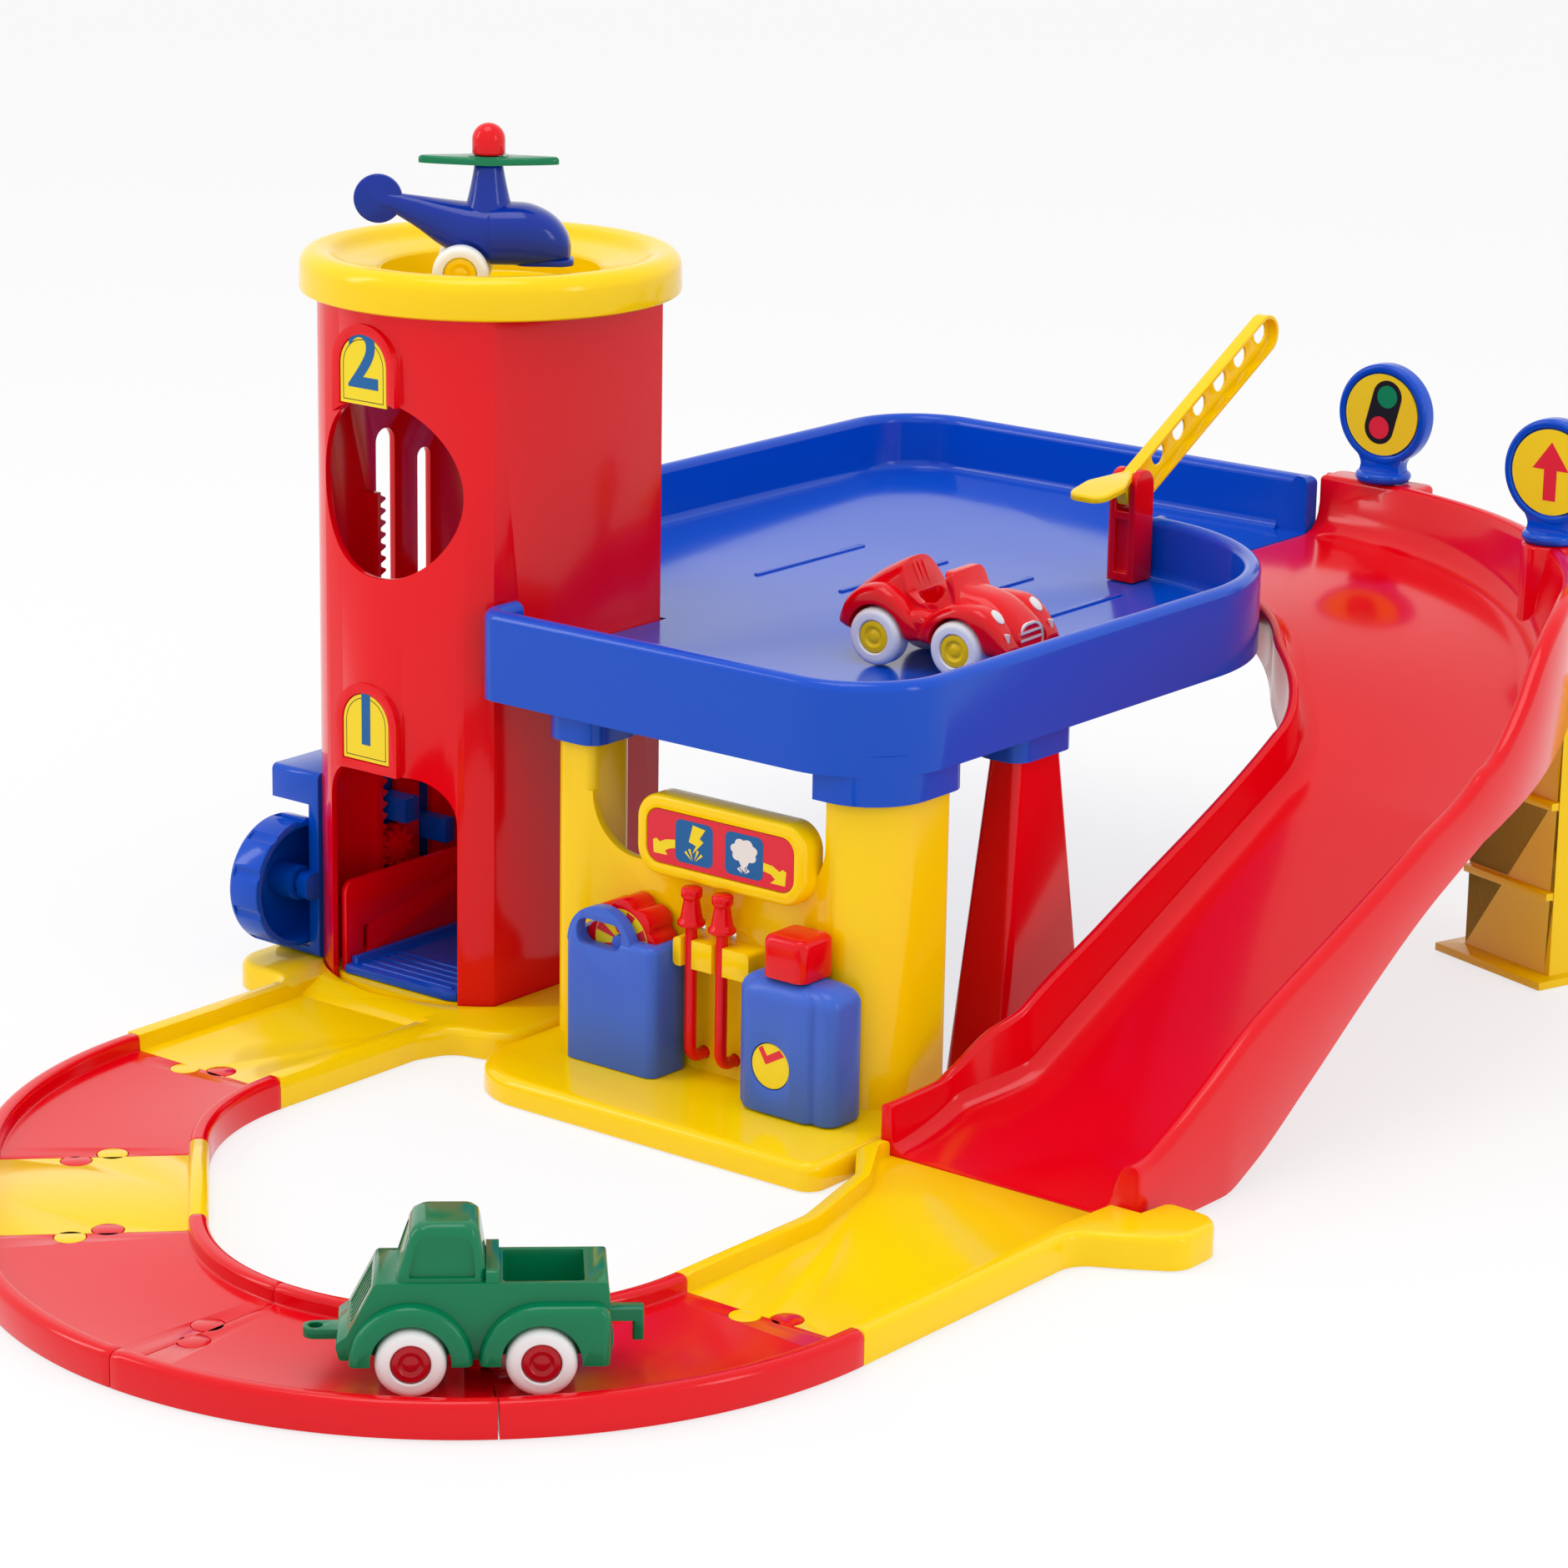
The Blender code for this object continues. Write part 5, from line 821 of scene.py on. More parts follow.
def write_digit(name: str, digit: str, foot: Point3) -> None:
    """Print a digit upright, facing -Y.

    Args:
        name: Name of the piece.
        digit: What is written.
        foot: Point that it is centred over.
    """
    height, capital_share = 0.0195, 0.73
    curve = bpy.data.curves.new(name, "FONT")
    curve.body = digit
    curve.size = height / capital_share
    curve.align_x = "CENTER"
    curve.extrude = 0.00003
    curve.offset = 0.00055
    curve.resolution_u = 8
    obj = linked(name, curve)
    bpy.context.view_layer.update()
    mesh = bpy.data.meshes.new_from_object(obj.evaluated_get(bpy.context.evaluated_depsgraph_get()))
    bpy.data.objects.remove(obj)
    bpy.data.curves.remove(curve)
    mesh.transform(Matrix.Translation(foot) @ Matrix.Rotation(math.pi / 2, 4, "X"))
    mesh.materials.append(plastic(INK_BLUE))
    piece = linked(name, mesh)
    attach(piece, "garage")
    LOG.info("%s: print", name)


class Road:
    """Pieces of the road loop: curves, a straight and the slide's road.

    Args:
        radius: Centre-line radius of a curve.
        half: Half width of a road.
        rail: Width of a rail.
    """

    def __init__(self, radius: float = 0.1067, half: float = 0.0332, rail: float = 0.0056) -> None:
        self.radius = radius
        self.half = half
        self.rail = rail
        self.first = (0.00335 + radius, -0.1363)
        step = 0.0614 * math.cos(math.radians(45))
        self.second = (self.first[0] + step, self.first[1] - step)

    @staticmethod
    def joints(road: Moulding, ends: Sequence[Tuple[Point2, float]]) -> None:
        """Add a round tab and its socket at each road end.

        Args:
            road: The road.
            ends: Middle and outward heading of each end.
        """
        for end, heading in ends:
            ahead = Vector((math.cos(heading), math.sin(heading)))
            left = Vector((-ahead.y, ahead.x))
            male = Vector(end) - left * 0.0052 + ahead * 0.0027
            female = Vector(end) + left * 0.0052 - ahead * (0.0027 - GAP)
            road.join(cylinder(0.0044, 0.0, 0.0050, (male.x, male.y, 0.0)))
            road.cut(cylinder(0.0048, -OVER, 0.0250, (female.x, female.y, 0.0)))

    def section(self) -> Outline:
        """Cross-section of a road, with rounded rails.

        Returns:
            Its points as (side, height).
        """
        h, w, top = self.half, self.rail, 0.0100
        left = [(-h, 0.0)] + arc(-h + 0.0024, top - 0.0024, 0.0024, 180, 90, 6)
        left += arc(-h + w - 0.0018, top - 0.0018, 0.0018, 90, 0, 5)
        left += arc(-h + w + 0.0008, 0.0058, 0.0008, 180, 270, 4)
        right = [(-x, z) for x, z in reversed(left)]
        under = [(h - 0.0022, 0.0), (h - 0.0022, 0.0026), (-h + 0.0022, 0.0026), (-h + 0.0022, 0.0)]
        return left + right + under

    def sweep(self, name: str, node: str, path: Sequence[Tuple[Point2, float]], finish: Finish,
              ends: Sequence[Tuple[Point2, float]]) -> None:
        """Sweep the road's section along a path.

        Args:
            name: Name of the piece.
            node: CAD node that it stands for.
            path: Points of the centre line, each with its heading.
            finish: Finish of the piece.
            ends: Middle and outward heading of each end.
        """
        rings = []
        for (x, y), heading in path:
            c, s = math.cos(heading), math.sin(heading)
            rings.append([(x + u * s, y - u * c, z) for u, z in self.section()])
        road = Moulding(name, loft(rings), finish)
        for (x, y), heading in (path[0], path[-1]):
            c, s = math.cos(heading), math.sin(heading)
            inward = 1.0 if (x, y) == path[0][0] else -1.0
            near, deep = 0.0, 0.0120 * inward
            half = self.half - 0.0020
            corners = [(near, -half), (deep, -half), (deep, half), (near, half)]
            plate = [(x + a * c + u * s, y + a * s - u * c) for a, u in corners]
            road.join(prism(plate if inward > 0 else list(reversed(plate)), 0.0002, 0.0030))
        self.joints(road, ends)
        road.done("garage", [node], 0.0005, 2, 40.0)

    def curves(self) -> None:
        """The four curves and the straight."""
        for node, centre, start in (("track_curve_1", self.first, 180), ("track_curve_2", self.second, 225),
                                    ("track_curve_3", self.second, 270), ("track_curve_4", self.second, 315)):
            trim = math.degrees(GAP / 2 / self.radius)
            path = []
            for k in range(33):
                a = math.radians(mix(start + trim, start + 45 - trim, k / 32))
                point = (centre[0] + self.radius * math.cos(a), centre[1] + self.radius * math.sin(a))
                path.append((point, a + math.pi / 2))
            ends = []
            for angle, way in ((start, -90), (start + 45, 90)):
                a = math.radians(angle)
                point = (centre[0] + self.radius * math.cos(a), centre[1] + self.radius * math.sin(a))
                ends.append((point, math.radians(angle + way)))
            self.sweep(node.replace("track", "road"), node, path, RED_ABS, ends)
        a = math.radians(225)
        ahead = Vector((math.cos(a + math.pi / 2), math.sin(a + math.pi / 2)))
        begin = Vector(self.first) + Vector((math.cos(a), math.sin(a))) * self.radius
        heading = a + math.pi / 2
        path = [(tuple(begin + ahead * d), heading) for d in (GAP / 2, 0.0307, 0.0614 - GAP / 2)]
        ends = [(tuple(begin), a - math.pi / 2), (tuple(begin + ahead * 0.0614), heading)]
        self.sweep("road_straight", "track_straight", path, YELLOW_ABS, ends)

    def slide_road(self) -> None:
        """Road at the slide's foot, narrowing to the loop's width, with a foot pod."""
        x = self.second[0] + self.radius
        left, right = x - self.half, x + self.half
        end, start = self.second[1] + GAP / 2, -0.0578
        corners = [(left, end, 0.0), (right, end, 0.0), (right, -0.0840, 0.010), (0.3060, -0.0770, 0.008),
                   (0.3200, -0.0680, 0.009), (0.3200, -0.0470, 0.009), (0.2995, -0.0460, 0.004),
                   (0.2980, start, 0.0), (0.2046, start, 0.003), (0.2052, -0.0690, 0.004),
                   (0.2170, -0.0850, 0.010), (left, -0.1220, 0.020)]
        road = Moulding("slide_road", pillow(lambda d: rounded(corners, d), 0.0, 0.0100, 0.0022), YELLOW_ABS)
        lane = [(left + self.rail, end - OVER), (right - self.rail, end - OVER), (right - self.rail, -0.0800),
                (0.2895, start + OVER), (0.2090, start + OVER), (0.2095, -0.0640), (0.2225, -0.0850),
                (left + self.rail, -0.1220)]
        road.cut(prism(lane, 0.0050, 0.0120))
        self.joints(road, [((x, self.second[1]), -math.pi / 2)])
        road.done("garage", ["slide_end_road"], 0.0008, 3)

    def build(self) -> None:
        """Build the roads."""
        self.curves()
        self.slide_road()


class Tree:
    """Geometry Nodes tree with one geometry in, some values in, and one geometry out.

    Args:
        name: Name of the tree.
        source: Name of the geometry input.
        values: Name and socket type of each value, apart from the finish.
        result: Name of the output.
    """

    def __init__(self, name: str, source: str, values: Sequence[Tuple[str, str]], result: str) -> None:
        self.tree = bpy.data.node_groups.new(name, "GeometryNodeTree")
        face = self.tree.interface
        face.new_socket(source, in_out="INPUT", socket_type="NodeSocketGeometry")
        self.keys = {}
        for label, kind in (*values, ("Finish", "NodeSocketMaterial")):
            self.keys[label] = face.new_socket(label, in_out="INPUT", socket_type=kind).identifier
        face.new_socket(result, in_out="OUTPUT", socket_type="NodeSocketGeometry")
        self.source = add_node(self.tree, "NodeGroupInput")
        self.paint = add_node(self.tree, "GeometryNodeSetMaterial")
        out = add_node(self.tree, "NodeGroupOutput")
        connect(self.tree, (self.source.outputs["Finish"], self.paint.inputs["Material"]),
                (self.paint.outputs["Geometry"], out.inputs[result]))

    def fill(self, obj: bpy.types.Object, finish: Finish, values: Dict[str, object]) -> None:
        """Run the tree on an object's mesh and keep the result as its mesh.

        Args:
            obj: The object.
            finish: Finish of the result.
            values: The tree's values by name.
        """
        mod = obj.modifiers.new("tree", "NODES")
        mod.node_group = self.tree
        for label, value in values.items():
            mod[self.keys[label]] = value
        mod[self.keys["Finish"]] = plastic(finish)
        bake_modifiers(obj)


class RowTree(Tree):
    """Tree that repeats a small solid in a straight row.

    Args:
        name: Name of the tree.
    """

    def __init__(self, name: str) -> None:
        super().__init__(name, "Solid", (("Count", "NodeSocketInt"), ("Step", "NodeSocketVector")), "Row")
        line = add_node(self.tree, "GeometryNodeMeshLine", mode="OFFSET", count_mode="TOTAL")
        spread = add_node(self.tree, "GeometryNodeInstanceOnPoints")
        real = add_node(self.tree, "GeometryNodeRealizeInstances")
        given = self.source.outputs
        connect(self.tree, (given["Count"], line.inputs["Count"]), (given["Step"], line.inputs["Offset"]),
                (line.outputs["Mesh"], spread.inputs["Points"]), (given["Solid"], spread.inputs["Instance"]),
                (spread.outputs["Instances"], real.inputs["Geometry"]),
                (real.outputs["Geometry"], self.paint.inputs["Geometry"]))


class HoseTree(Tree):
    """Tree that runs a round hose along a path with rounded bends.

    Args:
        name: Name of the tree.
    """

    def __init__(self, name: str) -> None:
        super().__init__(name, "Path", (("Radius", "NodeSocketFloat"), ("Bend", "NodeSocketFloat")), "Hose")
        curve = add_node(self.tree, "GeometryNodeMeshToCurve")
        fillet = add_node(self.tree, "GeometryNodeFilletCurve")
        ring = add_node(self.tree, "GeometryNodeCurvePrimitiveCircle", {"Resolution": 24})
        skin = add_node(self.tree, "GeometryNodeCurveToMesh", {"Fill Caps": True})
        if "Mode" in fillet.inputs:
            fillet.inputs["Mode"].default_value = "Poly"
        else:
            fillet.mode = "POLY"
        fillet.inputs["Count"].default_value = 12
        given = self.source.outputs
        connect(self.tree, (given["Path"], curve.inputs["Mesh"]),
                (curve.outputs["Curve"], fillet.inputs["Curve"]), (given["Bend"], fillet.inputs["Radius"]),
                (fillet.outputs["Curve"], skin.inputs["Curve"]), (given["Radius"], ring.inputs["Radius"]),
                (ring.outputs["Curve"], skin.inputs["Profile Curve"]),
                (skin.outputs["Mesh"], self.paint.inputs["Geometry"]))

    def run(self, name: str, path: Sequence[Point3], radius: float, bend: float,
            finish: Finish) -> bpy.types.Object:
        """Run a hose along a path.

        Args:
            name: Name of the object.
            path: Corners of the path.
            radius: Radius of the hose.
            bend: Radius of the bends.
            finish: Finish of the hose.

        Returns:
            The object.
        """
        mesh = bpy.data.meshes.new(name)
        mesh.from_pydata(list(path), [(i, i + 1) for i in range(len(path) - 1)], [])
        obj = linked(name, mesh)
        self.fill(obj, finish, {"Radius": radius, "Bend": bend})
        return obj


@dataclass
class DeckSizes:
    """Sizes of the parking deck."""

    top: float = 0.1412
    bottom: float = 0.1128
    floor: float = 0.1210
    floor_thick: float = 0.0024
    rim: float = 0.0062
    skirt: float = 0.0022
    left: float = -0.0597
    right: float = 0.1971
    front: float = -0.0504
    back: float = 0.2980
    front_r: float = 0.0326
    turn_r: float = 0.0780
    turn_y: float = 0.1270
    back_r: float = 0.0320
    exit_x: float = 0.1245
    tower_x: float = 0.0380
    tower_y: float = 0.0430
    collar: float = 0.0090
    collar_wall: float = 0.0026


class Deck:
    """The blue parking deck with its hollow rounded rim.

    Args:
        sizes: Sizes of the deck.
        rows: Tree that makes the bay lines.
    """

    def __init__(self, sizes: DeckSizes, rows: RowTree) -> None:
        self.s = sizes
        self.rows = rows

    def outline(self, inset: float) -> Outline:
        """Deck outline, anticlockwise from the front corner beside the tower.

        Args:
            inset: Distance that the outline moves inward.

        Returns:
            The outline.
        """
        s = self.s
        turn_x = s.right - s.turn_r
        r = s.turn_r - inset
        end = math.degrees(math.acos((s.exit_x - inset - turn_x) / r))
        points = arc(s.tower_x + 0.008, s.front + 0.008, 0.008 - min(inset, 0.0078), 180, 270, 10)
        points += arc(s.right - s.front_r, s.front + s.front_r, s.front_r - inset, 270, 360, 32)
        points += arc(turn_x, s.turn_y, r, 0, end, 56)
        points += [(s.exit_x - inset, s.back - inset)]
        points += arc(s.left + s.back_r, s.back - s.back_r, s.back_r - inset, 90, 180, 28)
        points += arc(s.left + 0.010, s.tower_y + 0.010, 0.010 - min(inset, 0.0098), 180, 270, 10)
        return points + [(s.tower_x + inset, s.tower_y + inset)]

    def profile(self) -> List[Tuple[float, float]]:
        """Steps from the skirt's foot over the rim to the floor.

        Returns:
            (inset, height) of each.
        """
        s = self.s
        r = 0.0031
        steps = [(0.0, s.bottom), (0.0, s.top - r)]
        steps += arc(r, s.top - r, r, 171, 9, 18)
        steps += [(s.rim, s.top - r), (s.rim + 0.0006, s.floor + 0.0034)]
        steps += [(s.rim + 0.0006 + 0.0026 * (1 - math.cos(a)), s.floor + 0.0034 - 0.0034 * math.sin(a))
                  for a in radians(22, 45, 68, 90)]
        return steps

    def sockets(self) -> List[Tuple[Outline, Outline]]:
        """Outer and inner outlines of the sockets under the deck."""
        wall = self.s.collar_wall + SLIP
        return [(rounded(c, -wall, 8), rounded(c, -SLIP, 8))
                for c in (PumpWall.left_column(), PumpWall.right_column(), Column().at_deck())]

    def build(self) -> None:
        """Build the deck and its bay lines."""
        s = self.s
        under = s.floor - s.floor_thick
        deck = Moulding("parking_deck", loft(stack((self.outline(d), z) for d, z in self.profile())),
                        BLUE_ABS)
        deck.cut(prism(self.outline(s.skirt), s.bottom - OVER, under))
        deck.cut(box(s.tower_x - 0.030, -0.034, s.floor, s.tower_x + 0.020, s.tower_y + 0.020, s.top + OVER))
        deck.cut(box(-0.0420, s.tower_y - 0.010, s.floor, s.tower_x + 0.019, 0.0630, s.top + OVER))
        deck.cut(box(-0.0420, -0.0350, s.bottom - OVER, s.tower_x + s.skirt + 0.0005, 0.0600, under))
        bore = tower_outline(TowerSizes.radius + SLIP, TowerSizes.flat + SLIP)
        deck.cut(prism(bore, s.bottom - OVER, s.top + OVER))
        deck.cut(box(s.exit_x - 0.012, s.turn_y + s.turn_r + 0.0002, s.floor,
                     s.exit_x + 0.010, s.back - s.rim - 0.0005, s.top + OVER))
        for outer, inner in self.sockets():
            deck.join(prism(outer, s.bottom - s.collar, under + 0.0005))
            deck.cut(prism(inner, s.bottom - s.collar - OVER, under))
        deck.done("garage", ["deck"], 0.0)
        line = Moulding("bay_lines", pillow(lambda d: box_outline(0.020, 0.110, 0.0222, 0.170, 0.0010, d),
                                            s.floor - 0.0004, s.floor + 0.0007, 0.0005), BLUE_ABS)
        line.bake()
        self.rows.fill(line.obj, BLUE_ABS, {"Count": 5, "Step": (0.036, 0.0, 0.0)})
        dress(line.obj, "garage")


@dataclass
class Column:
    """The red tapered column under the deck.

    Attributes:
        centre: Plan position.
        top: Size at the deck.
        foot: Size at the floor.
    """

    centre: Point2 = (0.1840, 0.0400)
    top: Point2 = (0.0120, 0.0240)
    foot: Point2 = (0.0230, 0.0460)

    def at_deck(self) -> List[Corner]:
        """Plan of the column at the deck."""
        (x, y), (wide, deep) = self.centre, self.top
        return rectangle(x - wide / 2, y - deep / 2, x + wide / 2, y + deep / 2, 0.003)

    def ring(self, size: Point2, z: float, wall: float = 0.0) -> List[Point3]:
        """Rounded section at a height.

        Args:
            size: Width and depth.
            z: The height.
            wall: Distance that the section moves inward.

        Returns:
            The section's points.
        """
        x, y = self.centre
        hx, hy = size[0] / 2 - wall, size[1] / 2 - wall
        return [(u, v, z) for u, v in box_outline(x - hx, y - hy, x + hx, y + hy, 0.003 - wall * 0.5)]

    def build(self) -> None:
        """Build the hollow column."""
        rings = [self.ring(self.foot, 0.0), self.ring(self.foot, 0.0004)]
        rings += [self.ring(self.top, 0.1018), self.ring(self.top, 0.1170)]
        column = Moulding("column", loft(rings), RED_ABS)
        column.cut(loft([self.ring(self.foot, -OVER, 0.0020), self.ring(self.top, 0.1018, 0.0022),
                         self.ring(self.top, 0.1148, 0.0022)]))
        column.done("garage", ["support_column"], 0.0004, 2)


@dataclass
class PumpSizes:
    """Sizes of the pump wall, its base, bezel and bracket."""

    front: float = -0.0430
    wall: float = 0.0030
    left: float = 0.0640
    right: float = 0.1920
    column: float = 0.0165
    top: float = 0.1170
    sill: float = 0.0710
    base_top: float = 0.0085
    base: Tuple[float, float, float] = (0.0620, -0.0885, 0.2040)
    bezel: Tuple[float, float, float, float] = (0.1030, 0.0695, 0.1685, 0.0950)
    proud: float = 0.0060
    bracket: Tuple[float, float, float] = (0.1210, 0.0440, 0.1505)
    hoses: Tuple[float, float] = (0.1262, 0.1382)
    hose_r: float = 0.0017
    hose_look_r: float = 0.0019
    hose_y: float = -0.0500
    hose_foot: float = 0.0145
    hose_top: float = 0.0690


class PumpWall:
    """The yellow pump wall with its sign and hoses.

    Args:
        sizes: Sizes of the wall.
        hose: Tree that makes the hoses.
    """

    def __init__(self, sizes: PumpSizes, hose: HoseTree) -> None:
        self.s = sizes
        self.hose = hose

    @staticmethod
    def left_column() -> List[Corner]:
        """Plan of the left column."""
        return metres((64, -43, 6), (80.5, -43, 3), (80.5, -23.2, 5), (64, -23.2, 5))

    @staticmethod
    def right_column() -> List[Corner]:
        """Plan of the right column, which follows the deck's corner."""
        return metres((171.5, -43, 0), (192, -43, 17.5), (192, -6, 5), (171.5, -6, 5))

    def plate(self, inset: float) -> Outline:
        """Plan of the base plate."""
        x0, y0, x1 = self.s.base
        return rounded([(x0, y0, 0.026), (x1, y0, 0.006), (x1, -0.0020, 0.004), (x0, -0.0020, 0.010)], inset,
                       12)

    def recess(self, inset: float) -> Outline:
        """Outline of the sign's recess."""
        x0, z0, x1, z1 = self.s.bezel
        return box_outline(x0 + 0.0040, z0 + 0.0040, x1 - 0.0040, z1 - 0.0040, 0.0050, inset)

    def wall(self) -> None:
        """Base plate, columns, low wall, bezel and hose bracket."""
        s = self.s
        wall = Moulding("pump_wall_moulding", pillow(self.plate, 0.0, s.base_top, 0.0032), YELLOW_ABS)
        wall.join(prism(rounded(self.left_column(), 0.0, 10), s.base_top - 0.001, s.top))
        wall.join(prism(rounded(self.right_column(), 0.0, 20), s.base_top - 0.001, s.top))
        low_left, low_right, rise = s.left + s.column, s.right - s.column - 0.004, 0.018
        face = [(low_left - 0.004, s.base_top - 0.001), (low_right + 0.004, s.base_top - 0.001),
                (low_right + 0.004, s.sill + rise)]
        face += arc(low_right - rise, s.sill + rise, rise, 0, -90, 18)
        face += arc(low_left + rise, s.sill + rise, rise, 270, 180, 18)
        face += [(low_left - 0.004, s.sill + rise)]
        wall.join(prism(face, s.front, s.front + s.wall, Axis.Y))
        for corners in (self.left_column(), self.right_column()):
            wall.cut(prism(rounded(corners, 0.0024, 10), -OVER, s.top - 0.0024))
        x0, z0, x1, z1 = s.bezel
        front = s.front - s.proud
        rings = [[(u, w, v) for u, v in box_outline(x0, z0, x1, z1, 0.0085, d, 14)] for d, w in
                 [(0.0, s.front + s.wall - 0.0002), (0.0, front + 0.0018)]
                 + arc(0.0018, front + 0.0018, 0.0018, 198, 270, 4)]
        wall.join(loft(rings))
        wall.cut(prism(self.recess(0.0), front - OVER, front + 0.0012, Axis.Y))
        b0, bz, b1 = s.bracket
        jaw = box_outline(b0, bz, b1, bz + 0.0090, 0.0015)
        wall.join(prism(jaw, s.front - 0.0095, s.front + 0.001, Axis.Y))
        for x in s.hoses:
            room = s.hose_r + SLIP
            wall.cut(box(x - room, s.front - 0.012, bz - OVER, x + room, s.hose_y + room + 0.0012,
                         bz + 0.0090 + OVER))
            gap = box_outline(x - 0.0046, bz + 0.0090, x - 0.0002, bz + 0.0125, 0.0008)
            wall.cut(prism(gap, s.front - 0.0002, s.front + s.wall + OVER, Axis.Y))
            wall.cut(cylinder(s.hose_r + SLIP, -OVER, s.wall + OVER, (x, s.front, s.hose_foot), Axis.Y, 24))
        wall.done("garage", ["pump_wall"], 0.0005, 2)

    def sign(self) -> None:
        """Red label with plain pictures: a bolt, a puff of air and two arrows."""
        s = self.s
        back = s.front - s.proud + 0.0012 - GAP
        front = back - 0.0006
        Moulding("pump_sign_film", prism(self.recess(SLIP), front, back, Axis.Y), INK_RED).done(
            "garage", ["pump_sign_label"], 0.0)
        z = (s.bezel[1] + s.bezel[3]) / 2
        tiles = (0.1258, 0.1452)
        inks = [(f"sign_tile_{k}", box_outline(x - 0.0073, z - 0.0067, x + 0.0073, z + 0.0067, 0.0022),
                 INK_BLUE, 0.00006) for k, x in enumerate(tiles)]

        def drawn(x: float, points: Sequence[Point2]) -> Outline:
            """Outline in millimetres about a tile's centre."""
            return [(x + u * MM, z + v * MM) for u, v in points]

        bolt = ((-0.5, 5.7), (4.4, 5.0), (2.2, 1.9), (3.7, 1.0), (-0.6, -3.4), (0.8, -0.6), (-2.0, 0.2))
        inks.append(("sign_bolt", drawn(tiles[0], bolt), LABEL_FILM, 0.00012))
        puff = []
        for k in range(80):
            a = 2 * math.pi * k / 80
            r = 0.84 + 0.17 * abs(math.sin(3.5 * a + 0.6))
            puff.append((5.2 * r * math.cos(a), 1.3 + 4.0 * r * math.sin(a)))
        inks.append(("sign_puff", drawn(tiles[1], puff), INK_WHITE, 0.00012))
        inks.append(("sign_stem", drawn(tiles[1], ((-2.2, -1.4), (2.2, -1.4), (0.3, -4.8), (-0.1, -4.8))),
                     INK_WHITE, 0.00013))
        for tile, ink, reach in ((0, LABEL_FILM, 3.6), (1, INK_WHITE, 2.0)):
            for k, lean in enumerate((-46, -22, 22, 46)):
                c, n = math.cos(math.radians(90 - lean)), math.sin(math.radians(90 - lean))
                foot = (0.9 * c - 0.1, -6.2 + 0.9 * n)
                tip = (foot[0] + reach * c, foot[1] + reach * n)
                ray = (foot, (tip[0] + 0.45 * n, tip[1] - 0.45 * c), (tip[0] - 0.45 * n, tip[1] + 0.45 * c))
                inks.append((f"sign_ray_{tile}_{k}", drawn(tiles[tile], ray), ink, 0.00013))
        left = ((-7.4, -0.2), (-11.2, -0.8), (-13.5, -1.9), (-14.8, -1.0), (-16.1, -1.6), (-15.8, -5.7),
                (-10.4, -5.6), (-11.4, -4.3), (-9.7, -3.4), (-7.4, -2.8))
        right = ((7.4, -0.6), (11.0, -1.0), (13.6, -2.3), (14.8, -1.4), (16.2, -2.0), (15.8, -6.4),
                 (10.2, -6.4), (12.0, -5.0), (10.4, -3.7), (7.4, -3.2))
        inks.append(("sign_arrow_left", drawn(tiles[0], left), LABEL_FILM, 0.00006))
        inks.append(("sign_arrow_right", drawn(tiles[1], right), LABEL_FILM, 0.00006))
        for name, outline, ink, lift in inks:
            printed(name, outline, front - lift, ink, "garage")

    def hoses(self) -> None:
        """Two red hoses with nozzles; each foot turns back into the wall."""
        s = self.s
        for side, x in zip(("left", "right"), s.hoses):
            path = [(x, s.hose_y, s.hose_top - 0.0120), (x, s.hose_y, s.hose_foot),
                    (x, s.front + s.wall - 0.0004, s.hose_foot)]
            pipe = self.hose.run(f"hose_{side}_pipe", path, s.hose_look_r, 0.0040, RED_ABS)
            low, top = s.hose_top - 0.0125, s.hose_top
            nozzle = [(0.0, low), (0.0024, low), (0.0036, low + 0.0002), (0.0043, low + 0.0008),
                      (0.0044, low + 0.0014), (0.0042, low + 0.0020), (0.0036, low + 0.0025),
                      (0.0034, low + 0.0032), (0.0026, low + 0.0080), (0.0026, low + 0.0088),
                      (0.0030, low + 0.0092), (0.0033, low + 0.0098), (0.0033, top - 0.0008),
                      (0.0031, top - 0.0003), (0.0027, top), (0.0, top)]
            head = Moulding(f"hose_{side}_nozzle", turned(nozzle, 40, (x, s.hose_y, 0.0)), RED_ABS)
            body = "hose_a" if side == "left" else "hose_b"
            dress(pipe, body, [f"hose_{side}"])
            head.done(body, bevel=0.0)

    def build(self) -> None:
        """Build the wall, the sign and the hoses."""
        self.wall()
        self.sign()
        self.hoses()


@dataclass
class CanSizes:
    """Sizes of the jerrycan and the oil can."""

    low: float = 0.0088
    back: float = -0.0433
    left: float = 0.0845
    right: float = 0.1205
    front: float = -0.0612
    top: float = 0.0500
    handle_top: float = 0.0593
    handle_x: float = 0.0985
    dial: Tuple[float, float] = (0.1030, 0.0480)
    dial_r: float = 0.0135
    oil: Point2 = (0.1710, -0.0550)
    oil_top: float = 0.0510
    cap: float = 0.0150
    cap_top: float = 0.0660
    gauge_r: float = 0.0070


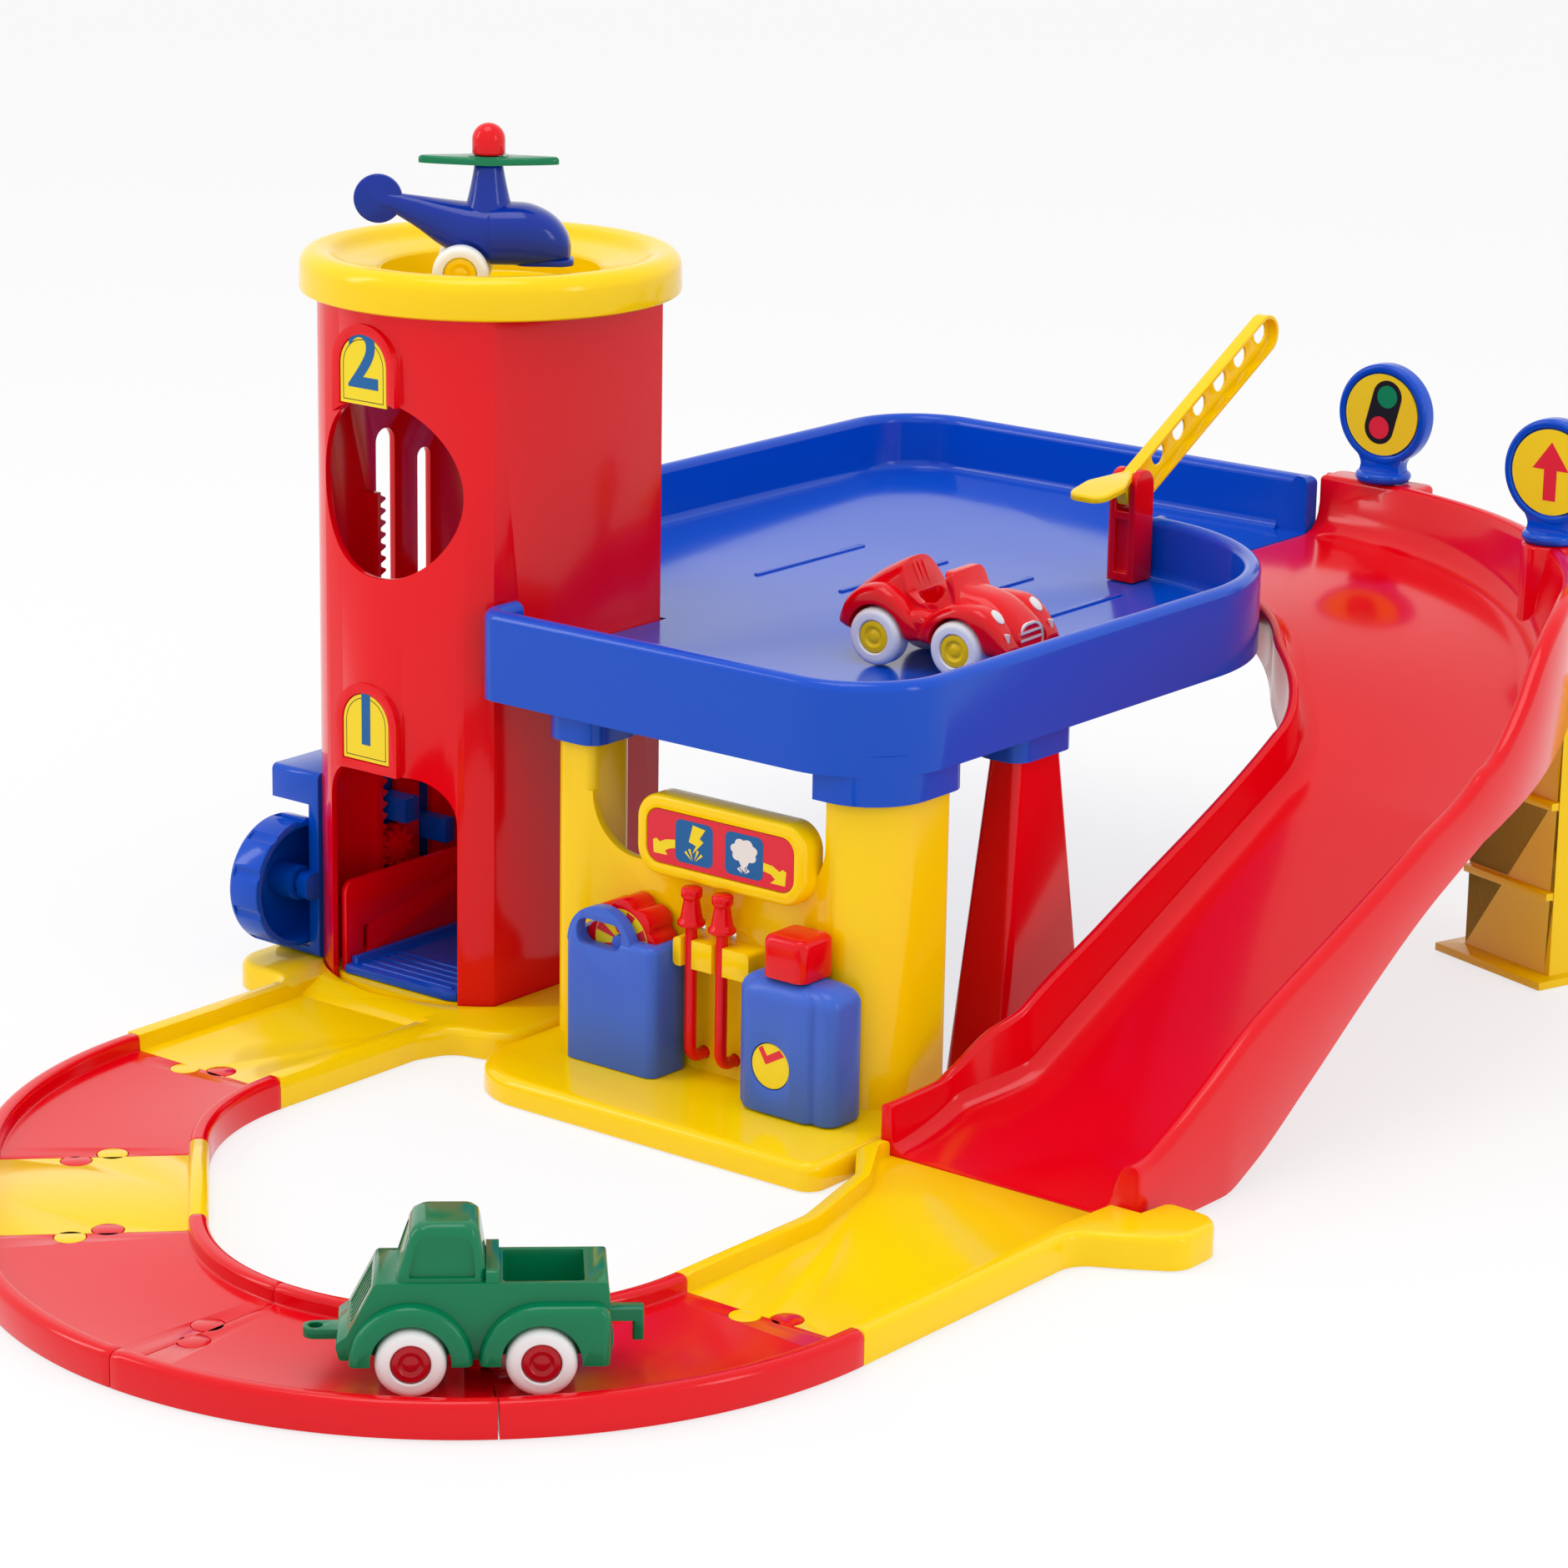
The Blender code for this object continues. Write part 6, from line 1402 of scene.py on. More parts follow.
class Cans:
    """The jerrycan with its dial, and the oil can with its cap and gauge.

    Args:
        sizes: Sizes of both cans.
    """

    def __init__(self, sizes: CanSizes) -> None:
        self.s = sizes

    def jerrycan(self) -> None:
        """Jerrycan with an arched handle, and the scalloped dial behind it."""
        s = self.s
        corners = [(s.left, s.front, 0.0036), (s.right, s.front, 0.0036), (s.right, s.back, 0.0040),
                   (s.left, s.back, 0.0030)]
        can = Moulding("jerrycan_body", pillow(lambda d: rounded(corners, d, 8), s.low, s.top, 0.0022),
                       SOFT_BLUE_PE)
        front = s.front + 0.0004
        handle = arc(s.handle_x, s.top - 0.0034, s.handle_top - s.top + 0.0034, 0, 180, 40)
        can.join(prism(handle, front, front + 0.0042, Axis.Y))
        grip = box_outline(s.handle_x - 0.0090, s.top - 0.0036, s.handle_x + 0.0090, s.top + 0.0048, 0.0036)
        can.cut(prism(grip, s.front - OVER, front + 0.0042 + OVER, Axis.Y))
        dial_y = s.front + 0.0052
        deep = s.back - 0.0020 - dial_y
        x, z = s.dial
        can.cut(cylinder(s.dial_r + 0.0008, 0.0, s.back - dial_y + OVER, (x, dial_y, z), Axis.Y, 72))
        can.join(cylinder(0.0024, -0.001, deep, (x, dial_y, z), Axis.Y, 24))
        can.done("garage", ["jerrycan"], 0.0006, 3)
        lobes = []
        for k in range(120):
            a = 2 * math.pi * k / 120
            wave = 0.5 + 0.5 * math.cos(8 * a)
            r = s.dial_r + 0.0002 - 0.0024 * (1 - wave ** 0.35)
            lobes.append((x + r * math.cos(a), z + r * math.sin(a)))
        dial = Moulding("dial_wheel", prism(lobes, dial_y + 0.0007, s.back - 0.0010, Axis.Y), RED_ABS)
        dial.cut(cylinder(0.0024 + SLIP, -OVER, 0.03, (x, dial_y, z), Axis.Y, 32))
        dial.done("dial", ["jerrycan_dial"], 0.0005, 2)
        face = dial_y + 0.0006
        film = Moulding("dial_film", prism(circle(x, z, 0.0104), face, dial_y + 0.0008, Axis.Y), LABEL_FILM)
        film.cut(cylinder(0.0026, -OVER, OVER, (x, dial_y, z), Axis.Y, 32))
        film.done("dial", bevel=0.0)
        for k in range(8):
            spread = math.radians(45 * k + 22.5)
            wedge = [(x + r * math.cos(spread + a), z + r * math.sin(spread + a))
                     for r, a in ((0.0030, -0.12), (0.0102, -0.17), (0.0102, 0.17), (0.0030, 0.12))]
            Moulding(f"dial_mark_{k}", prism(wedge, face - 0.00008, face - 0.00002, Axis.Y), INK_RED).done(
                "dial", bevel=0.0)

    def plan(self, inset: float) -> Outline:
        """Lobed plan of the oil can.

        Args:
            inset: Distance that the plan moves inward.

        Returns:
            The outline.
        """
        w, d = 0.0190 - inset, 0.0097 - inset
        points = []
        for k in range(144):
            a = 2 * math.pi * k / 144
            c, n = math.cos(a), math.sin(a)
            r = 1.0 / (abs(c / w) ** 4 + abs(n / d) ** 4) ** 0.25
            turn = math.degrees(a)
            pinch = sum(math.exp(-((turn - groove) / 5.0) ** 2) for groove in (35.0, 157.0, 203.0, 325.0))
            waist = 1.0 - 0.12 * pinch
            points.append((self.s.oil[0] + r * c * waist, self.s.oil[1] + 0.0018 + r * n * waist))
        return points

    def oil_can(self) -> None:
        """Oil can, square red cap and round gauge with a plain mark."""
        s = self.s
        levels = [(s.low, 0.0010), (s.low + 0.0004, 0.0003), (s.low + 0.0010, 0.0), (s.oil_top - 0.0060, 0.0),
                  (s.oil_top - 0.0046, 0.0002), (s.oil_top - 0.0032, 0.0008), (s.oil_top - 0.0020, 0.0018),
                  (s.oil_top - 0.0010, 0.0032), (s.oil_top - 0.0003, 0.0048), (s.oil_top, 0.0064)]
        can = Moulding("oil_can_body", loft(stack((self.plan(inset), z) for z, inset in levels)),
                       SOFT_BLUE_PE)
        cx, cy = s.oil[0] - 0.0010, s.oil[1] + 0.0018
        can.join(cylinder(0.0036, -0.001, s.cap_top - s.oil_top - 0.0030, (cx, cy, s.oil_top), Axis.Z, 32))
        gauge = (s.oil[0] - 0.0035, s.oil[1] - 0.0080, 0.0244)
        can.cut(cylinder(s.gauge_r + SLIP, -0.006, 0.0020, gauge, Axis.Y, 64))
        can.done("garage", ["oil_can"], 0.0004, 2)
        half, top = s.cap / 2 + 0.0006, s.cap_top - 0.0016
        square = rectangle(cx - half, cy - half, cx + half, cy + half, 0.0036)
        cap = Moulding("oil_cap", pillow(lambda d: rounded(square, d, 12), s.oil_top + GAP, top, 0.0024),
                       RED_ABS)
        cap.cut(cylinder(0.0036 + SLIP, -OVER, s.cap_top - s.oil_top - 0.0026, (cx, cy, s.oil_top),
                         steps=32))
        cap.done("can_cap", ["oil_can_cap"], 0.0004, 2)
        x, y, z = gauge
        face = y + 0.0020 - GAP - 0.0012
        Moulding("oil_gauge", prism(circle(x, z, s.gauge_r), face, face + 0.0012, Axis.Y),
                 LABEL_FILM).done("garage", ["oil_can_gauge"], 0.0)
        mark = about(x, z, (-4.6, 4.8), (-3.2, 5.8), (-1.4, 3), (3.3, 5.7), (5.1, 4), (-1.8, 0.2))
        Moulding("oil_gauge_mark", prism(mark, face - 0.00008, face - 0.00002, Axis.Y), INK_RED).done(
            "garage", bevel=0.0)

    def build(self) -> None:
        """Build both cans."""
        self.jerrycan()
        self.oil_can()


@dataclass
class LiftSizes:
    """Sizes of the lift's platform, carriage and hand wheel."""

    inside: float = 0.0352
    face: float = -0.0377
    bore: float = 0.0524
    left: float = -0.0215
    right: float = 0.0260
    depth: float = 0.0470
    top: float = 0.0120
    thick: float = 0.0026
    wall_top: float = 0.0395
    wall_thick: float = 0.0022
    out: float = 0.0205
    carriage: Tuple[float, float, float, float] = (-0.0420, 0.0093, 0.0180, 0.0720)
    block: float = 0.0110
    flange: float = 0.0031
    plate: float = 0.0042
    wheel: Tuple[float, float] = (-0.0440, 0.0345)
    wheel_r: float = 0.0215
    wheel_depth: float = 0.0130
    wheel_wall: float = 0.0024
    grips: int = 10
    slot_2: float = 0.0066


class Lift:
    """The lift: platform, side wall, carriage, pinion and hand wheel.

    Args:
        sizes: Sizes of the lift.
        rack: Sizes of the rack and pinion.
        rows: Tree that makes the platform's ridges.
    """

    def __init__(self, sizes: LiftSizes, rack: RackSizes, rows: RowTree) -> None:
        self.s = sizes
        self.rack = rack
        self.rows = rows

    def platform(self) -> None:
        """Blue platform with ridges, and the red wall beside it."""
        s = self.s
        corner = math.sqrt(s.bore ** 2 - s.depth ** 2)
        reach_left = math.sqrt(s.bore ** 2 - s.left ** 2)
        reach_right = math.sqrt(s.bore ** 2 - s.right ** 2)
        low = s.top - s.thick
        turn = math.degrees(math.acos(s.right / s.bore))
        end = math.degrees(math.acos(corner / s.bore))
        plan = [(s.left, -s.depth)] + arc(0.0, 0.0, s.bore, -end, -turn, 8)
        plan += arc(0.0, 0.0, s.bore, turn, end, 8) + [(s.left, s.depth)]
        floor = Moulding("lift_floor", prism(plan, low, s.top), BLUE_ABS)
        floor.join(box(s.left + 0.0002, -reach_left + 0.004, s.top - 0.0005, s.left + 0.0026,
                       reach_left - 0.004, s.top + 0.0022))
        floor.done("lift", ["lift_platform"], 0.0004, 2)
        first = -s.depth + 0.0035
        strip = rectangle(s.left + 0.004, first, corner - 0.001, first + 0.0016, 0.0007)
        ridge = Moulding("lift_ridges", pillow(lambda d: rounded(strip, d), s.top - 0.0003, s.top + 0.0006,
                                               0.0005), BLUE_ABS)
        ridge.bake()
        self.rows.fill(ridge.obj, BLUE_ABS, {"Count": 5, "Step": (0.0, 0.0042, 0.0)})
        dress(ridge.obj, "lift")
        face = s.left - GAP
        half = math.sqrt(s.bore ** 2 - (face - s.wall_thick) ** 2) - 0.0008
        corners = [(-half, low, 0.0), (half, low, 0.0), (half, s.wall_top, 0.004), (-half, s.wall_top, 0.004)]
        wall = Moulding("lift_wall", prism(rounded(corners), face - s.wall_thick, face, Axis.X), RED_ABS)
        wall.cut(prism(box_outline(-0.0375, 0.0140, -0.0350, 0.0230, 0.0012), face - s.wall_thick - OVER,
                       face + OVER, Axis.X))
        wall.done("lift", ["lift_side_wall"], 0.0004, 2)

    def carriage(self) -> None:
        """Blue carriage outside the tower, with hooks through the slots, and the pinion."""
        s = self.s
        y0, z0, y1, z1 = s.carriage
        face, out = s.face, s.face - s.out
        low, high, room = z0 + s.flange, z1 - s.block, s.wheel[0] + s.wheel_r + 0.0012
        outline = [(y0, z0, 0.002), (y1, z0, 0.004), (y1, z1, 0.004), (y0, z1, 0.002)]
        frame_body = Moulding("lift_carriage_frame", prism(rounded(outline), out, face, Axis.X), BLUE_ABS)
        well = rounded([(y0 - OVER, low, 0.0), (room, low, 0.004), (room, high, 0.004),
                        (y0 - OVER, high, 0.0)])
        frame_body.cut(prism(well, out - OVER, face - s.plate, Axis.X))
        frame_body.cut(box(out + 0.0022, room + 0.0032, -0.010, face - 0.0022, y1 - 0.0022, z1 - 0.0022))
        wy, wz = s.wheel
        boss_y = max(y0 + 0.0045, wy)
        boss = rounded([(y0 - 0.006, wz - 0.0045, 0.003), (boss_y + 0.004, wz - 0.0045, 0.0),
                        (boss_y + 0.004, wz + 0.0045, 0.0), (y0 - 0.006, wz + 0.0045, 0.003)])
        frame_body.join(prism(boss, face - s.plate, face, Axis.X))
        frame_body.join(cylinder(0.0026, -0.0005, -0.0175, (face - s.plate + 0.001, wy, wz), Axis.X, 32))
        py, pz = self.rack.y, self.rack.z
        frame_body.cut(cylinder(0.0026, -s.plate - 0.004, OVER, (face, py, pz), Axis.X, 32))
        reach = s.left - GAP - s.wall_thick - GAP
        for y, z, width in ((py, pz + 0.0135, 0.0066), (s.slot_2, pz + 0.0025, 0.0046)):
            frame_body.join(box(face - 0.001, y - width / 2, z - 0.004, reach, y + width / 2, z + 0.004))
        frame_body.done("lift", ["lift_carriage"], 0.0005, 2)
        near = -s.inside + SLIP
        gear = [(py + u, pz + v) for u, v in self.rack.gear()]
        pinion = Moulding("lift_gear", prism(gear, near, near + 0.0044, Axis.X), RED_ABS)
        pinion.join(cylinder(0.0022, 0.0002 - TowerSizes.flat - s.plate, near + 0.0052, (0, py, pz), Axis.X,
                             32))
        pinion.done("pinion", ["lift_pinion"], 0.0)

    def wheel(self) -> None:
        """Cup-shaped hand wheel with finger grips round its edge."""
        s = self.s
        near = s.face - s.plate - 0.0012
        far, r, w = near - s.wheel_depth, s.wheel_r, s.wheel_wall
        wy, wz = s.wheel
        profile = [(0.0030, near - 0.001), (0.0058, near - 0.001), (0.0058, far + w),
                   (r - w - 0.0012, far + w), (r - w - 0.0004, far + w + 0.0004), (r - w, far + w + 0.0012),
                   (r - w, near), (r - 0.0008, near), (r - 0.0002, near - 0.0002), (r, near - 0.0008),
                   (r, far + 0.002)]
        profile += arc(r - 0.002, far + 0.002, 0.002, -15, -90, 5)
        profile += [(0.0080, far), (0.0072, far + 0.0004), (0.0030, far + 0.0004)]
        wheel = Moulding("hand_wheel_cup", turned(profile, 96, (0.0, wy, wz), Axis.X), BLUE_ABS)
        for k in range(s.grips):
            a = 2 * math.pi * (k + 0.5) / s.grips
            centre = (0.0, wy + (r + 0.0022) * math.cos(a), wz + (r + 0.0022) * math.sin(a))
            wheel.cut(cylinder(0.0030, far + 0.0022, near + OVER, centre, Axis.X, 32))
        wheel.done("hand_wheel", ["lift_hand_wheel"], 0.0003, 2)

    def build(self) -> None:
        """Build the lift."""
        self.platform()
        self.carriage()
        self.wheel()


@dataclass
class SlideSizes:
    """Sizes of the slide, its leg and the signs on it."""

    turn: Point2 = (0.1240, 0.1270)
    outer_r: float = 0.1700
    inner_r: float = 0.0826
    wall: float = 0.0040
    floor: float = 0.0024
    start_z: float = 0.1210
    slope: float = 0.46
    end_y: float = -0.0575
    end_left: float = 0.2095
    end_right: float = 0.2880
    run_left: float = 0.2220
    exit_x: float = 0.1245
    top: float = 0.1412
    sign_angle: float = 48.905
    sign_r: float = 0.0178
    sign_thick: float = 0.0066
    sign_height: float = 0.0206
    seat: float = 0.1413
    foot_r: float = 0.0098
    outer_top: Tuple[Point2, ...] = ((0, .1412), (64, .1411), (70, .1385), (76.5, .13), (81, .117),
                                     (89, .1005), (125, .0846), (171, .066), (214, .049), (240, .035),
                                     (256, .027), (268, .0226), (276, .022))
    inner_top: Tuple[Point2, ...] = ((0, .1221), (20, .1221), (50, .1185), (71, .112), (91, .098),
                                     (183, .058), (232, .036), (243, .024), (249, .021), (276, .0205))
    skirt: Tuple[Point2, ...] = ((0, .11), (60, .098), (90, .079), (128, .06), (155, .044), (186, .024),
                                 (216, .006), (230, .001), (276, .001))

    def outer(self, u: float) -> float:
        """Radius of the outer side after a turn of u degrees."""
        return mix(self.outer_r + 0.001, self.end_right - self.turn[0], ease((u - 20.0) / 70.0))

    def spots(self) -> Tuple[Point2, Point2]:
        """Where the two signs stand."""
        x, y = self.turn
        a = math.radians(self.sign_angle)
        r = self.outer(90.0 - self.sign_angle) + 0.0070
        return (x + 0.0230, y + self.outer(0.0) + 0.0070), (x + r * math.cos(a), y + r * math.sin(a))


class Slide:
    """The red slide, its leg, and the two signs on its outer side.

    Args:
        sizes: Sizes of the slide.
    """

    def __init__(self, sizes: SlideSizes) -> None:
        self.s = sizes

    def stations(self) -> List[Tuple[float, Vector, Vector, float]]:
        """Cross-sections along the slide.

        Returns:
            (u, inner point, outer point, floor height) of each.
        """
        s = self.s
        x, y = s.turn
        out = []
        for k in range(60):
            u = 90.0 * k / 59
            a = math.radians(90.0 - u)
            way = Vector((math.cos(a), math.sin(a)))
            inner = mix(s.inner_r, s.run_left - x, ease((u - 55.0) / 35.0))
            out.append((u, Vector((x, y)) + way * inner, Vector((x, y)) + way * s.outer(u),
                        s.start_z - 0.0400 * (u / 90.0) ** 2))
        for k in range(1, 81):
            run = (y - s.end_y) * k / 80
            floor = s.start_z - 0.0400 - s.slope * 0.976 * run
            if run > 0.147:
                floor = 0.0150 - 0.449 * (run - 0.147) + 0.449 / 0.0872 * (run - 0.147) ** 2
            near = mix(s.run_left, s.end_left, ease((-0.006 - (y - run)) / 0.024))
            out.append((90.0 + run * 1000, Vector((near, y - run)), Vector((s.end_right, y - run)), floor))
        return out

    def section(self, u: float, near: Vector, far: Vector, floor: float) -> List[Point3]:
        """One closed cross-section, inner side first.

        Args:
            u: Place along the slide.
            near: Inner point in plan.
            far: Outer point in plan.
            floor: Height of the floor.

        Returns:
            The section's points.
        """
        s = self.s
        across = (far - near).normalized()
        inner_top, outer_top = lookup(s.inner_top, u), lookup(s.outer_top, u)
        under = floor - s.floor
        low = min(lookup(s.skirt, u), under - 0.0008)
        low_in = min(max(under - 0.0080, 0.0010), under - 0.0008)
        edge = inner_top - floor
        tip, lip = min(0.0015, edge * 0.45), s.wall / 2 - 0.0002
        points = [(near, -s.wall, low_in), (near, -s.wall, inner_top - tip)]
        points += [(near, -s.wall + lip * (1 - math.cos(a)), inner_top - tip * (1 - math.sin(a)))
                   for a in radians(20, 40, 60, 80, 100, 120, 140, 160)]
        points += [(near, -0.0004, inner_top - tip)]
        curve = min(0.0045, edge * 0.5)
        points += [(near, 0.0080 * (1 - math.cos(a)), floor + curve * (1 - math.sin(a)))
                   for a in radians(5, 20, 35, 50, 65, 80, 90)]
        rise = mix(floor + 0.0090, outer_top, 0.75)
        points += [(far, -0.0090 + 0.0096 * math.sin(a), floor + 0.0090 * (1 - math.cos(a)))
                   for a in radians(0, 15, 30, 45, 60, 75, 88)]
        points += [(far, 0.0018, mix(floor + 0.0090, outer_top, 0.40)), (far, 0.0030, rise)]
        points += [(far, 0.0060 - 0.0027 * math.cos(a), outer_top - 0.0024 * (1 - math.sin(a)))
                   for a in radians(20, 40, 60, 80, 100)]
        points += [(far, 0.0064 + 0.0026 * math.sin(a), outer_top - 0.0026 * (1 - math.cos(a)))
                   for a in radians(30, 50, 70, 90)]
        points += [(far, 0.0090, low), (far, 0.0068, low), (far, 0.0068, under),
                   (near, -s.wall + 0.0022, under), (near, -s.wall + 0.0022, low_in)]
        return [(base.x + across.x * d, base.y + across.y * d, z) for base, d, z in points]

    def run(self) -> None:
        """The slide itself with the sockets for the signs."""
        s = self.s
        rings = [self.section(*station) for station in self.stations()]
        x0 = s.exit_x + GAP + 0.0004
        rings[0] = [(x0, y, z) for _, y, z in rings[0]]
        slide = Moulding("slide_run", loft(rings), RED_ABS)
        beside, half_way = s.spots()
        y0, y1, x1 = beside[1] - 0.0060, beside[1] + 0.0070, beside[0] + 0.0180
        corners = [(x0, y0, 0.0), (x1, y0, 0.0), (x1, y1, 0.004), (x0, y1, 0.004)]
        slide.join(pillow(lambda d: rounded(corners, d), 0.1110, s.top, 0.0018))
        slide.join(turned(metres((0, 114), (9.8, 114), (9.8, 140), (9.4, 140.8), (8.6, 141.3), (0, 141.3)),
                          64, (*half_way, 0.0)))
        for x, y in (beside, half_way):
            slide.cut(cylinder(0.0026 + SLIP, s.seat - 0.0085, s.seat + OVER, (x, y, 0.0)))
        slide.done("garage", ["slide"], 0.0003, 2, 50.0)

    def leg(self) -> None:
        """Yellow leg under the slide: a ribbed panel with returns and flanged feet."""
        origin = Vector((0.2270, 0.2410))
        along = Vector((0.2670, 0.2280)) - origin
        length = along.length
        along.normalize()
        back = Vector((-along.y, along.x))
        high = 0.0984

        def slab(u0: float, u1: float, v0: float, v1: float, low: float, top: float) -> bmesh.types.BMesh:
            """Upright slab along the leg's own directions."""
            corners = [origin + along * u + back * v for u, v in ((u0, v0), (u1, v0), (u1, v1), (u0, v1))]
            return prism([tuple(c) for c in corners], low, top)

        leg = Moulding("slide_leg_panel", slab(0.0, length, 0.0, 0.0026, 0.0, high), YELLOW_ABS)
        slabs = ((0.0, 0.0026, 0.0, 0.0300, 0.0, high), (length - 0.0026, length, 0.0, 0.0300, 0.0, high),
                 (-0.0060, length + 0.0040, -0.0080, 0.0340, 0.0, 0.0028),
                 (0.0004, length - 0.0004, -0.0030, 0.0010, 0.0290, 0.0316),
                 (0.0004, length - 0.0004, -0.0030, 0.0010, 0.0600, 0.0626),
                 (-0.0006, length + 0.0006, -0.0016, 0.0306, high - 0.0022, high + 0.0004))
        for measures in slabs:
            leg.join(slab(*measures))
        leg.done("garage", ["slide_leg"], 0.0004, 2)

    def sign(self, node: str, body: str, spot: Point2) -> float:
        """One round sign on a turning foot.

        Args:
            node: CAD node of the sign.
            body: Body it rides on.
            spot: Where it stands.

        Returns:
            How far forward the label's face lies.
        """
        s = self.s
        x, y = spot
        foot = s.seat + GAP
        centre, half = foot + s.sign_height + 0.0030, s.sign_thick / 2
        profile = [(0.0, -half + 0.0012), (s.sign_r - 0.0030, -half + 0.0012),
                   (s.sign_r - 0.0027, -half + 0.0002), (s.sign_r - 0.0023, -half)]
        edge = 0.0014
        profile += arc(s.sign_r - edge, edge - half, edge, -90, 0, 6)
        profile += arc(s.sign_r - edge, half - edge, edge, 0, 90, 6)
        profile += [(0.0, half)]
        sign = Moulding(f"{node}_disc", turned(profile, 80, (x, y, centre), Axis.Y), BLUE_ABS)
        r = s.foot_r
        ring = [(0.0, foot - 0.0070), (0.0026, foot - 0.0070), (0.0026, foot), (r - 0.0008, foot)]
        ring += [(r - 0.0016 + 0.0016 * math.cos(a), foot + 0.0017 + 0.0017 * math.sin(a))
                 for a in radians(*range(-75, 91, 15))]
        sign.join(turned(ring + [(0.0, foot + 0.0034)], 64, (x, y, 0.0)))
        side = metres((8.2, 3), (7.8, 4.2), (7.6, 5.4), (7.8, 6.6), (8.6, 8.2), (9.8, 9.6))
        neck = [(x + u, foot + v) for u, v in side] + [(x - u, foot + v) for u, v in reversed(side)]
        sign.join(prism(neck, y - half + 0.0003, y + half - 0.0003, Axis.Y))
        sign.done(body, [node], 0.0003, 2, 50.0)
        back = y - half + 0.0012 - GAP
        face = Moulding(f"{node}_label", prism(circle(x, centre, s.sign_r - 0.0034), back - 0.0008,
                                               back, Axis.Y), LABEL_FILM)
        face.done(body, [f"{node}_face"], 0.0)
        return back - 0.0008

    def signs(self) -> None:
        """The light sign and the arrow sign with their prints."""
        beside, half_way = self.s.spots()
        z = self.s.seat + GAP + self.s.sign_height + 0.0030
        front = self.sign("light_sign", "sign_a", beside)
        x = beside[0]
        lean = Vector((math.sin(math.radians(14)), math.cos(math.radians(14))))
        top, low = (Vector((x + 0.0004, z)) + lean * d for d in (0.0068, -0.0048))
        case = arc(*top, 0.0058, -14, 166, 24) + arc(*low, 0.0058, 166, 346, 24)
        prints = [("lamp_case", case, INK_BLACK, 0.06)]
        for name, ink, spot in (("lamp_green", INK_GREEN, top), ("lamp_red", INK_RED, low)):
            prints.append((name, circle(*spot, 0.0040, 36), ink, 0.12))
        for name, outline, ink, lift in prints:
            printed(name, outline, front - lift * MM, ink, "sign_a")
        front = self.sign("arrow_sign", "sign_b", half_way)
        x = half_way[0]
        arrow = about(x, z, (-2.4, -9.6), (2.4, -9.6), (2.4, 0.8), (6.8, 0.8), (0, 10.2), (-6.8, 0.8),
                      (-2.4, 0.8))
        printed("arrow_print", arrow, front - 0.00006, INK_RED, "sign_b")

    def build(self) -> None:
        """Build the slide, the leg and the signs."""
        self.run()
        self.leg()
        self.signs()


@dataclass
class BarrierSizes:
    """Sizes of the barrier."""

    spot: Point3 = (0.1185, 0.1905, 0.1540)
    floor: float = 0.1210
    length: float = 0.0930
    holes: int = 6
    tilt: float = math.radians(29)
    width: float = 0.0108
    slot: float = 0.0052


